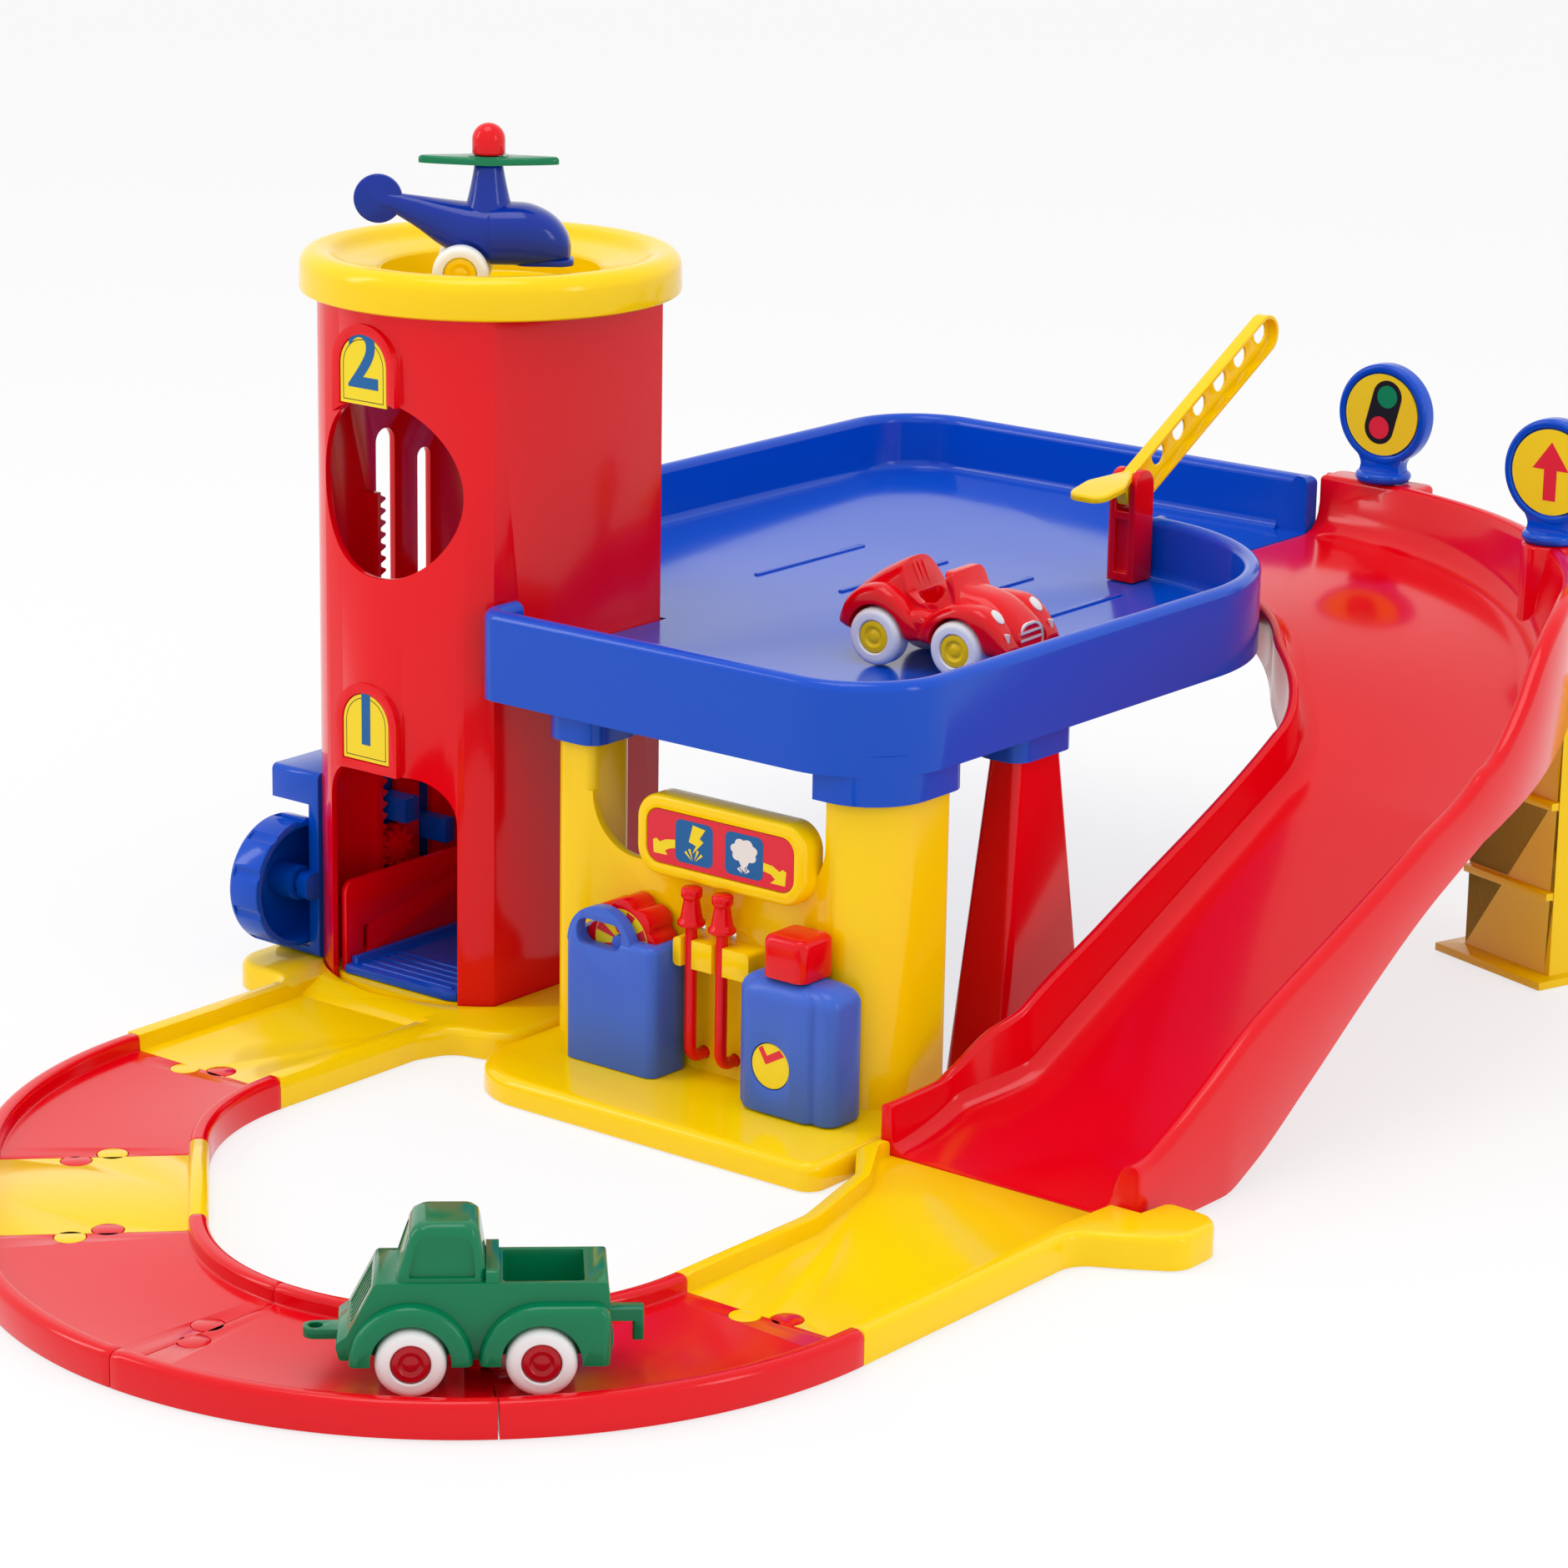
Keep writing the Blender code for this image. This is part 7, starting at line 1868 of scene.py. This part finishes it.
class Barrier:
    """The barrier: a red post with two cheeks, and the yellow swinging arm.

    Args:
        sizes: Sizes of the barrier.
    """

    def __init__(self, sizes: BarrierSizes) -> None:
        self.s = sizes

    def post(self) -> None:
        """Post with a slot for the arm and a recessed panel."""
        s = self.s
        x, y, z = s.spot
        side = [(y - 0.0058, s.floor + GAP), (y + 0.0052, s.floor + GAP), (y + 0.0052, z)]
        side += arc(y - 0.0003, z, 0.0055, 0, 180, 28)[1:]
        half, gap = s.width / 2, s.slot / 2
        post = Moulding("barrier_stand", prism(side, x - half, x + half, Axis.X), RED_ABS)
        post.cut(box(x - gap, y - 0.010, z - 0.0085, x + gap, y + 0.010, z + 0.010))
        post.cut(box(x - gap, y - 0.010, s.floor + 0.0035, x + gap, y - 0.0036, z - 0.0115))
        post.cut(cylinder(0.0020 + SLIP, -half + 0.0008, half - 0.0008, (x, y, z), Axis.X, 32))
        post.done("garage", ["barrier_post"], 0.0005, 3)

    def arm(self) -> None:
        """Arm with a recessed channel, round holes and a spoon-shaped paddle."""
        s = self.s
        x, y, z = s.spot
        thick, reach = s.slot - 2 * GAP, s.length - 0.0060
        c, n = math.cos(s.tilt), math.sin(s.tilt)

        def tilted(points: Outline) -> Outline:
            """Turn an outline into the arm's direction."""
            return [(y + u * c - v * n, z + u * n + v * c) for u, v in points]

        low, r = -0.0082, 0.0067
        body = [(-0.0042, -0.0045), (0.0060, low), (reach, low)]
        body += arc(reach, low + r, r, -90, 90, 36)[1:] + [(0.0020, low + 2 * r), (-0.0042, 0.0042)]
        arm = Moulding("barrier_beam", prism(tilted(body), x - thick / 2, x + thick / 2, Axis.X), YELLOW_ABS)
        blade = about(y, z, (1, 5), (-8, 4), (-8, 0.6), (-5, -6.2), (-2.2, -6.2), (1, 1))
        arm.join(prism(blade, x - 0.0022, x + 0.0022, Axis.X))
        wide = about(x, y, (-7.2, -29, 5), (7.2, -29, 5), (7.8, -16, 6), (2.3, -3, 0), (-2.3, -3, 0),
                     (-7.8, -16, 6))
        paddle = pillow(lambda d: rounded(wide, d, 14), z + 0.0024, z + 0.0046, 0.0010, Axis.Z, 6)
        for vert in paddle.verts:
            vert.co.z += 0.17 * min(vert.co.y - y + 0.0060, 0.0)
        arm.join(paddle)
        middle = low + r
        for k in range(s.holes):
            u = 0.0185 + k * (reach + 0.0005 - 0.0185) / (s.holes - 1)
            spot = (x, y + u * c - middle * n, z + u * n + middle * c)
            arm.cut(cylinder(0.0039, -0.006, 0.006, spot, Axis.X, 48))
        inset = 0.0012
        tray = [(0.0075, low + inset), (reach, low + inset)] + arc(reach, low + r, r - inset, -90, 90, 32)[1:]
        arm.cut(prism(tilted(tray + [(0.0075, low + 2 * r - inset)]), x - thick / 2 + 0.0009, x + thick,
                      Axis.X))
        arm.join(cylinder(0.0020, -s.width / 2 + 0.0012, s.width / 2 - 0.0012, (x, y, z), Axis.X, 32))
        arm.done("barrier", ["barrier_arm"], 0.0004, 2)

    def build(self) -> None:
        """Build the barrier."""
        self.post()
        self.arm()


def hull(stations: Sequence[Tuple[float, ...]], sides: int = 64, power: float = 3.0) -> bmesh.types.BMesh:
    """Loft rounded sections along x.

    Args:
        stations: Sections as (x, half width, low, high).
        sides: Points round a section.
        power: Squareness of the sections.

    Returns:
        The mesh.
    """
    smooth = 4
    tracks = [[(i, station[k]) for i, station in enumerate(stations)] for k in range(4)]
    rings = []
    for i in range((len(stations) - 1) * smooth + 1):
        x, half, low, high = (lookup(track, i / smooth) for track in tracks)
        mid, tall = (low + high) / 2, (high - low) / 2
        ring = []
        for k in range(sides):
            a = 2 * math.pi * k / sides
            c, n = math.cos(a), math.sin(a)
            r = 1.0 / (abs(c) ** power + abs(n) ** power) ** (1.0 / power)
            ring.append((x, half * r * c, mid + tall * r * n))
        rings.append(ring)
    return loft(rings)


@dataclass
class WheelSizes:
    """Sizes of one pair of wheels."""

    radius: float = 0.0093
    width: float = 0.0082
    track: float = 0.0270
    hub: float = 0.0052
    axle: float = 0.0016


class Vehicle:
    """A small vehicle in its own frame: x forward, z up.

    Args:
        name: Name of the vehicle and of its body's CAD node stem.
        spot: Where its frame stands.
        heading: Direction of its front, in degrees.
        wheels: Sizes of its wheels.
        hub: Finish of the hubs.
    """

    def __init__(self, name: str, spot: Point3, heading: float, wheels: WheelSizes, hub: Finish) -> None:
        self.name = name
        self.turn = Matrix.Translation(spot) @ Matrix.Rotation(math.radians(heading), 4, "Z")
        self.wheels = wheels
        self.hub = hub

    def wells(self, body: Moulding, axles: Sequence[float]) -> None:
        """Cut the wheel wells and axle bores into a body.

        Args:
            body: The vehicle's body.
            axles: Place of each axle along the vehicle.
        """
        w = self.wheels
        inner, outer = w.track / 2 - w.width / 2, w.track / 2 + w.width / 2
        for x in axles:
            centre = (x, 0.0, w.radius)
            body.cut(cylinder(w.radius + 0.0012, inner - 0.0006, outer + 0.010, centre, Axis.Y, 56))
            body.cut(cylinder(w.radius + 0.0012, -outer - 0.010, -inner + 0.0006, centre, Axis.Y, 56))
            body.cut(cylinder(w.axle + 0.0003, -0.03, 0.03, centre, Axis.Y, 24))

    def pair(self, tag: str, x: float, body: str) -> None:
        """One axle with its hubs and tyres.

        Args:
            tag: Part of the pieces' names that tells the axles apart.
            x: Place of the axle along the vehicle.
            body: CAD body that it rides on.
        """
        w = self.wheels
        inner, outer = w.track / 2 - w.width / 2, w.track / 2 + w.width / 2
        half = [(w.axle, inner + 0.0002), (w.hub, inner + 0.0002), (w.hub, outer - 0.0010),
                (w.hub - 0.0002, outer - 0.0006), (w.hub - 0.0006, outer - 0.0004), (0.0034, outer - 0.0004),
                (0.0031, outer - 0.0007), (0.0027, outer - 0.0009), (0.0022, outer - 0.0010),
                (0.0016, outer - 0.0006), (0.0009, outer - 0.0004), (0.0, outer - 0.0004)]
        profile = [(r, -y) for r, y in reversed(half)] + half
        axle = Moulding(f"{self.name}_{tag}hubs", turned(profile, 56, (x, 0.0, w.radius), Axis.Y), self.hub,
                        self.turn)
        axle.done(body, [f"{self.name}_{tag}axle"], 0.0)
        bore, shoulder = w.hub + 0.0001, 0.0022
        for side, y in (("left", w.track / 2), ("right", -w.track / 2)):
            a, b = y - w.width / 2, y + w.width / 2
            section = [(bore, a + 0.0004), (bore + 0.0004, a), (w.radius - shoulder, a)]
            section += arc(w.radius - shoulder, a + shoulder, shoulder, -75, 0, 5)
            section += arc(w.radius - shoulder, b - shoulder, shoulder, 0, 75, 5)
            section += [(w.radius - shoulder, b), (bore + 0.0004, b), (bore, b - 0.0004)]
            solid = turned(section, 64, (x, 0.0, w.radius), Axis.Y)
            tyre = Moulding(f"{self.name}_{tag}rubber_{side}", solid, WHITE_VINYL, self.turn)
            tyre.done(body, [f"{self.name}_{tag}tyre_{side}"], 0.0)

    def trim(self, name: str, solid: bmesh.types.BMesh, finish: Finish) -> None:
        """A small extra of the body, such as a lamp.

        Args:
            name: End of the piece's name.
            solid: Its shape.
            finish: Its finish.
        """
        piece = Moulding(f"{self.name}_{name}", solid, finish, self.turn)
        piece.done(self.name, bevel=0.0)


class Roadster(Vehicle):
    """The red open car on the deck."""

    def __init__(self) -> None:
        super().__init__("roadster", (0.1400, 0.0560, 0.1213), 4.0, WheelSizes(), YELLOW_ABS)

    def build(self) -> None:
        """Build the car."""
        shape = metres((-33, 6, 11, 15), (-31, 8.8, 9.5, 19), (-25, 10.4, 8.5, 24.8), (-17, 10.8, 8.5, 30.2),
                       (-10, 10.8, 8.5, 33.2), (-5, 10.6, 8.5, 32.8), (4, 10.4, 8.5, 28.5),
                       (11, 10.2, 8.5, 27.2), (20, 9.8, 8.5, 25.6), (27.5, 9.2, 8.2, 21.6),
                       (32.5, 8.2, 8.5, 16.5), (34.5, 6, 9.5, 13))
        body = Moulding("roadster_shell", hull(shape, 64, 2.6), RED_ABS, self.turn)
        body.join(hull(metres((-10, 13, 9.5, 18), (-8, 14.8, 9, 20), (8, 14.8, 9, 20), (10, 13, 9.5, 18)),
                       48))
        rear = metres((-29.5, 3, 11, 14.5), (-26.5, 4.8, 10, 20.5), (-21, 5.7, 9.2, 24.6),
                      (-15, 5.8, 9, 25.8), (-9, 5.6, 9, 23.5), (-4, 4.8, 9, 18.5), (0, 3, 9.5, 14))
        front = metres((-0.5, 3, 9.5, 14), (4, 4.8, 9, 19), (9.5, 5.6, 8.8, 22.4), (15, 5.8, 8.8, 23.8),
                       (21, 5.8, 8.5, 23.6), (25, 5.7, 8.5, 22.2), (28.5, 5.4, 8.5, 19),
                       (31.5, 4.8, 8.8, 14.7), (33.3, 3.6, 9.5, 11.7))
        for side in (-1, 1):
            for fender in (rear, front):
                solid = hull(fender, 48)
                bmesh.ops.translate(solid, verts=solid.verts, vec=(0.0, side * 0.0115, 0.0))
                body.join(solid)
        bucket = metres((-12.5, 40), (-9.8, 30), (-6.2, 23.2), (-2, 20.6), (3, 21.2), (5.6, 24), (7, 29),
                        (7.2, 40))
        body.cut(prism(bucket, -0.0200, 0.0200, Axis.Y))
        body.cut(prism(box_outline(-0.0060, -0.0074, 0.0040, 0.0074, 0.0025), 0.0150, 0.0300))
        for y in (-0.0030, -0.0004, 0.0022):
            body.join(prism(metres((-11.2, 31.2), (-9.8, 31.2), (-5.8, 22.2), (-7.4, 22.2)), y, y + 0.0008,
                            Axis.Y))
        screen = rounded(metres((-9.8, 22.5, 0), (9.8, 22.5, 0), (9.4, 31.6, 3), (-9.4, 31.6, 3)))
        solid = prism(screen, 0.0080, 0.0108, Axis.X)
        for vert in solid.verts:
            vert.co.x += (0.0250 - vert.co.z) * 0.40
        body.join(solid)
        mouth = arch(-0.0076, 0.0076, 0.0105, 0.0180, 0.0060)
        body.cut(prism(mouth, 0.0318, 0.0400, Axis.X))
        self.wells(body, (-0.0150, 0.0150))
        body.done("roadster", ["roadster_body"], 0.0004, 2)
        grille = Moulding("roadster_grille", prism(mouth, 0.0314, 0.0323, Axis.X), INK_WHITE, self.turn)
        grille.cut(prism(arch(-0.0068, 0.0068, 0.0100, 0.0173, 0.0054), 0.0300, 0.0400, Axis.X))
        for low in (0.0124, 0.0148):
            grille.join(box(0.0314, -0.0072, low, 0.0323, 0.0072, low + 0.0007))
        grille.done("roadster", bevel=0.0)
        for side in (-1, 1):
            lamp = turned(metres((0, -1.2), (2, -1.2), (2, 0.4), (1.5, 0.8), (0, 1)), 40)
            spot = Matrix.Translation((0.0267, side * 0.0112, 0.0207))
            tilt = spot @ Matrix.Rotation(math.radians(44), 4, "Y")
            bmesh.ops.transform(lamp, matrix=tilt @ Matrix.Diagonal((1.35, 1.0, 1.0, 1.0)), verts=lamp.verts)
            self.trim(f"lamp_{side + 1}", lamp, INK_WHITE)
            y = side * 0.0128
            self.trim(f"bumper_{side + 1}", box(0.0295, y - 0.0005, 0.0125, 0.0321, y + 0.0005, 0.0163),
                      INK_WHITE)
        self.pair("rear_", -0.0150, "roadster_rear")
        self.pair("front_", 0.0150, "roadster_front")


class Truck(Vehicle):
    """The green pickup on the road."""

    def __init__(self) -> None:
        super().__init__("truck", (0.226918, -0.258483, 0.0053), 222.0, WheelSizes(track=0.0280), WINE_ABS)

    def build(self) -> None:
        """Build the pickup."""
        core = metres((35.5, 8.6, 1.2), (36.6, 13, 1.6), (33.6, 15.2, 0.8), (26.2, 29.6, 1.4),
                      (-33.6, 29.6, 1), (-35, 14, 2), (-34.4, 8.6, 1))
        body = Moulding("truck_shell", prism(rounded(core), -0.0128, 0.0128, Axis.Y), GREEN_ABS, self.turn)

        def front(inset: float) -> Outline:
            """Side view of the front fenders."""
            return arc(0.0171, 0.0086, 0.0160 - inset, 0, 180, 40)

        def rear(inset: float) -> Outline:
            """Side view of the rear fenders."""
            return (arc(-0.0165, 0.0086, 0.0160 - inset, 0, 90, 22)
                    + arc(-0.0300, 0.0204, 0.0042 - inset, 90, 180, 10) + [(-0.0342 + inset, 0.0086)])

        for shape in (front, rear):
            for side in (-1, 1):
                solid = pillow(shape, 0.0, 0.0178, 0.0022, Axis.Y, 6)
                for vert in solid.verts:
                    vert.co.y *= side
                body.join(solid)
        cab = metres((28, -2.5, 21.6, 11.8, 2.2), (30, -2.4, 21, 11.7, 2.4), (41, -0.8, 17.6, 10.3, 3),
                     (43, -0.3, 16.6, 9.8, 3.2), (44, 0.6, 15.2, 8.8, 3.4), (44.4, 2.2, 13.2, 7.2, 3))
        body.join(loft(stack((box_outline(x0, -half, x1, half, r), z) for z, x0, x1, half, r in cab)))
        body.join(prism(box_outline(-0.0125, 0.0200, 0.0125, 0.0326, 0.0020), -0.0056, -0.0022, Axis.X))
        body.cut(prism(box_outline(-0.0276, -0.0112, -0.0066, 0.0112, 0.0012), 0.0206, 0.0400))
        pane = rounded(metres((0.4, 30.6, 0.6), (17.8, 30.6, 0.6), (15.2, 41.2, 4), (1.4, 41.2, 4)))
        for ends in ((-0.0150, -0.0101), (0.0101, 0.0150)):
            body.cut(prism(pane, ends[0], ends[1], Axis.Y))
        body.cut(prism(metres((20.3, 30.8), (17.2, 40.6), (26, 40.6), (26, 30.8)), -0.0088, 0.0088, Axis.Y))
        body.cut(prism(metres((26.6, 27.6), (32.4, 16.4), (40, 16.4), (40, 27.6)), -0.0090, 0.0090, Axis.Y))
        for k in range(6):
            y = -0.0079 + 0.0030 * k
            body.join(prism(metres((25.8, 27.8), (31.8, 16.2), (32.8, 16.2), (26.9, 27.8)), y, y + 0.0009,
                            Axis.Y))
        ring = metres((34, -3.4, 0), (45.2, -3.4, 3.3), (45.2, 3.4, 3.3), (34, 3.4, 0))
        body.join(prism(rounded(ring), 0.0108, 0.0134))
        body.cut(cylinder(0.0019, 0.008, 0.016, (0.0418, 0.0, 0.0), Axis.Z, 28))
        body.join(prism(box_outline(-0.0430, -0.0026, -0.0330, 0.0026, 0.0008), 0.0148, 0.0180))
        body.join(prism(box_outline(-0.0432, -0.0026, -0.0402, 0.0026, 0.0008), 0.0096, 0.0178))
        self.wells(body, (-0.0165, 0.0171))
        body.done("truck", ["truck_body"], 0.0004, 2)
        self.pair("rear_", -0.0165, "truck_rear")
        self.pair("front_", 0.0171, "truck_front")


class Helicopter(Vehicle):
    """The blue helicopter on the pad."""

    def __init__(self) -> None:
        super().__init__("helicopter", (0.0063, -0.0080, 0.2299), 38.3,
                         WheelSizes(radius=0.0088, width=0.0070, track=0.0250), YELLOW_ABS)

    def build(self) -> None:
        """Build the helicopter, its rotor and its knob."""
        shape = metres((-40, 1.2, 27, 31), (-33, 2.2, 26.5, 32), (-24, 4, 22, 31.2), (-14, 7.2, 15, 30),
                       (-5, 9.8, 11, 29.2), (4, 11.2, 10, 29), (11, 11, 10, 28.8), (17, 9.6, 10.2, 27),
                       (22, 7.4, 10.6, 23.5), (25, 4.5, 11.5, 19), (25.8, 1.6, 13, 16))
        body = Moulding("helicopter_shell", hull(shape, 64, 2.4), NAVY_ABS, self.turn)
        nose = [(max(x, 0.0010), half + 0.0003, low - 0.0002, high + 0.0004)
                for x, half, low, high in shape[5:]]
        body.join(hull([(0.0008, nose[0][1], nose[0][2], nose[0][3])] + nose, 64, 2.4))
        body.join(pillow(lambda d: box_outline(0.0080, -0.0066, 0.0268, 0.0066, 0.0050, d, 14), 0.0102,
                         0.0122, 0.0008))
        body.join(turned(metres((0, -1), (7, -1), (7.5, -0.8), (7.7, -0.3), (7.7, 1), (7.5, 1.6), (7, 1.8),
                                (0, 1.8)), 64, (-0.0346, -0.0008, 0.0300), Axis.Y))
        body.join(turned(metres((0, 24), (8, 24), (7.6, 27.5), (6.6, 30.5), (5.8, 34), (5, 38), (4.6, 40.5),
                                (4.3, 41.1), (0, 41.2)), 64))
        body.join(cylinder(0.0022, 0.0400, 0.0480, axis=Axis.Z, steps=32))
        self.wells(body, (-0.0080,))
        body.done("helicopter", ["helicopter_body"], 0.0004, 2)
        low = 0.0415

        def blade(inset: float) -> Outline:
            """Plan of the two blades."""
            points = []
            for k in range(96):
                a = 2 * math.pi * k / 96
                c, n = math.cos(a), math.sin(a)
                points.append(((0.0220 - inset) * c, (0.0042 - inset + 0.0020 * (1 - abs(c)) ** 2) * n))
            return points

        rotor = Moulding("helicopter_blades", pillow(blade, low, low + 0.0023, 0.0012, Axis.Z, 6), GREEN_ABS,
                         self.turn)
        rotor.join(cylinder(0.0064, low, low + 0.0026, axis=Axis.Z, steps=56))
        rotor.cut(cylinder(0.0025, low - OVER, low + 0.01, axis=Axis.Z, steps=32))
        rotor.done("rotor", ["helicopter_rotor"], 0.0003, 2)
        ball = metres((0, 44.3), (4.6, 44.3), (5, 44.6), (5.2, 45.1))
        ball += arc(0.0, 0.0490, 0.0052, -4, 87, 13) + [(0.0, 0.0542)]
        knob = Moulding("helicopter_ball", turned(ball, 56), RED_ABS, self.turn)
        knob.cut(cylinder(0.0025, 0.04, 0.0484, axis=Axis.Z, steps=32))
        knob.done("helicopter", ["helicopter_knob"], 0.0)
        self.pair("", -0.0080, "helicopter_wheels")


def add_camera() -> None:
    """Put the camera where the photograph was taken from."""
    az, el, roll = radians(38.293, 15.82, 0.951)
    ahead = Vector((-math.sin(az) * math.cos(el), math.cos(az) * math.cos(el), -math.sin(el)))
    side = Vector((math.cos(az), math.sin(az), 0.0))
    up = side.cross(ahead)
    cam_right = side * math.cos(roll) + up * math.sin(roll)
    cam_up = up * math.cos(roll) - side * math.sin(roll)
    data = bpy.data.cameras.new("camera")
    data.lens = 36.0 * 5733.3 / 1880
    data.sensor_width = 36.0
    data.shift_x = 0.00275
    data.shift_y = 0.00233
    data.clip_end = 20.0
    cam = linked("camera", data)
    turn = Matrix((cam_right, cam_up, -ahead)).transposed().to_4x4()
    cam.matrix_world = Matrix.Translation((1.0034, -1.1190, 0.4924)) @ turn
    bpy.context.scene.camera = cam


def add_light(name: str, place_at: Point3, aim: Point3, size: Point2, power: float) -> None:
    """Hang one soft box.

    Args:
        name: Name of the light.
        place_at: Where it hangs.
        aim: Point that it faces.
        size: Width and height.
        power: Power in watts.
    """
    data = bpy.data.lights.new(name, "AREA")
    data.shape = "RECTANGLE"
    data.size, data.size_y = size
    data.energy = power
    lamp = linked(name, data)
    lamp.location = place_at
    lamp.rotation_euler = (Vector(place_at) - Vector(aim)).to_track_quat("Z", "Y").to_euler()


def seen(tree: bpy.types.NodeTree, other: float, level: float) -> bpy.types.NodeSocket:
    """Level for the rays that show the white surroundings: camera, glossy and transmission rays.

    Args:
        tree: Node tree to add to.
        other: Value for every other ray.
        level: Value for those rays.

    Returns:
        The value's socket.
    """
    path = add_node(tree, "ShaderNodeLightPath")
    value = path.outputs["Is Camera Ray"]
    for name in ("Is Glossy Ray", "Is Transmission Ray"):
        either = add_node(tree, "ShaderNodeMath", operation="MAXIMUM")
        tree.links.new(value, either.inputs[0])
        tree.links.new(path.outputs[name], either.inputs[1])
        value = either.outputs[0]
    span = add_node(tree, "ShaderNodeMapRange", {"To Min": other, "To Max": level})
    connect(tree, (value, span.inputs["Value"]))
    return span.outputs["Result"]


def add_stage() -> None:
    """Pale floor, even white surroundings and soft boxes."""
    bm = box(-4.0, -4.0, -0.012, 4.0, 4.0, -0.0005)
    floor = solid_object("floor", bm)
    paper = plastic(Finish("paper_white_matt", "F6F6F6", 0.7, 0.0, 0.0, 0.0))
    floor.data.materials.append(paper)
    world = bpy.data.worlds.new("surroundings")
    world.use_nodes = True
    back = world.node_tree.nodes["Background"]
    back.inputs["Color"].default_value = (1.0, 1.0, 1.0, 1.0)
    world.node_tree.links.new(seen(world.node_tree, 0.84, 1.0), back.inputs["Strength"])
    bpy.context.scene.world = world
    tree = paper.node_tree
    shine = add_node(tree, "ShaderNodeEmission")
    blend = add_node(tree, "ShaderNodeMixShader")
    tree.links.new(seen(tree, 0.0, 0.72), blend.inputs["Fac"])
    tree.links.new(tree.nodes["Principled BSDF"].outputs["BSDF"], blend.inputs[1])
    tree.links.new(shine.outputs["Emission"], blend.inputs[2])
    tree.links.new(blend.outputs["Shader"], tree.nodes["Material Output"].inputs["Surface"])
    middle = (0.1, 0.0, 0.1)
    add_light("soft_box_top", (0.0, -0.2, 1.6), middle, (0.8, 0.8), 5.5)
    add_light("soft_box_left", (-1.1, -1.0, 0.9), middle, (0.3, 1.0), 4.5)
    add_light("soft_box_right", (1.7, 0.1, 0.7), middle, (0.3, 0.8), 3.0)
    scene = bpy.context.scene
    scene.view_settings.view_transform = "Standard"


CAD_FINISH = {
    RED_ABS: ("tower_shell", "support_column", "slide", "barrier_post", "track_curve_", "hose_",
              "jerrycan_dial", "oil_can_cap", "lift_pinion", "lift_side_wall", "helicopter_knob",
              "roadster_body"),
    YELLOW_ABS: ("tower_base_road", "helipad_cap", "pump_wall", "slide_end_road", "slide_leg", "barrier_arm",
                 "track_straight", "helicopter_axle", "roadster_front_axle", "roadster_rear_axle"),
    BLUE_ABS: ("deck", "lift_carriage", "lift_hand_wheel", "lift_platform", "light_sign", "arrow_sign"),
    NAVY_ABS: ("helicopter_body",),
    SOFT_BLUE_PE: ("jerrycan", "oil_can"),
    GREEN_ABS: ("helicopter_rotor", "truck_body"),
    WINE_ABS: ("truck_front_axle", "truck_rear_axle"),
    WHITE_VINYL: ("helicopter_tyre_", "roadster_front_tyre_", "roadster_rear_tyre_", "truck_front_tyre_",
                  "truck_rear_tyre_"),
    LABEL_FILM: ("floor_label_", "light_sign_face", "arrow_sign_face", "oil_can_gauge"),
    INK_RED: ("pump_sign_label",),
}


def finish_cad() -> None:
    """Give every CAD piece that stays in view its finish."""
    for node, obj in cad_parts.items():
        best: Tuple[int, Optional[Finish]] = (0, None)
        for finish, stems in CAD_FINISH.items():
            for stem in stems:
                if node.startswith(stem) and len(stem) > best[0]:
                    best = (len(stem), finish)
        obj.data.materials.clear()
        obj.data.materials.append(plastic(best[1] or RED_ABS))


def main() -> None:
    """Build the looks in order."""
    logging.basicConfig(level=logging.INFO, format="%(name)s %(message)s")
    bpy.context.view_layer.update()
    finish_cad()
    rack = RackSizes()
    rows, hose = RowTree("straight_row"), HoseTree("round_hose")
    Tower(TowerSizes(), rack).build()
    Lift(LiftSizes(), rack, rows).build()
    Deck(DeckSizes(), rows).build()
    Column().build()
    PumpWall(PumpSizes(), hose).build()
    Cans(CanSizes()).build()
    Slide(SlideSizes()).build()
    Barrier(BarrierSizes()).build()
    Road().build()
    Roadster().build()
    Truck().build()
    Helicopter().build()
    add_stage()
    add_camera()


if __name__ == "__main__":
    main()
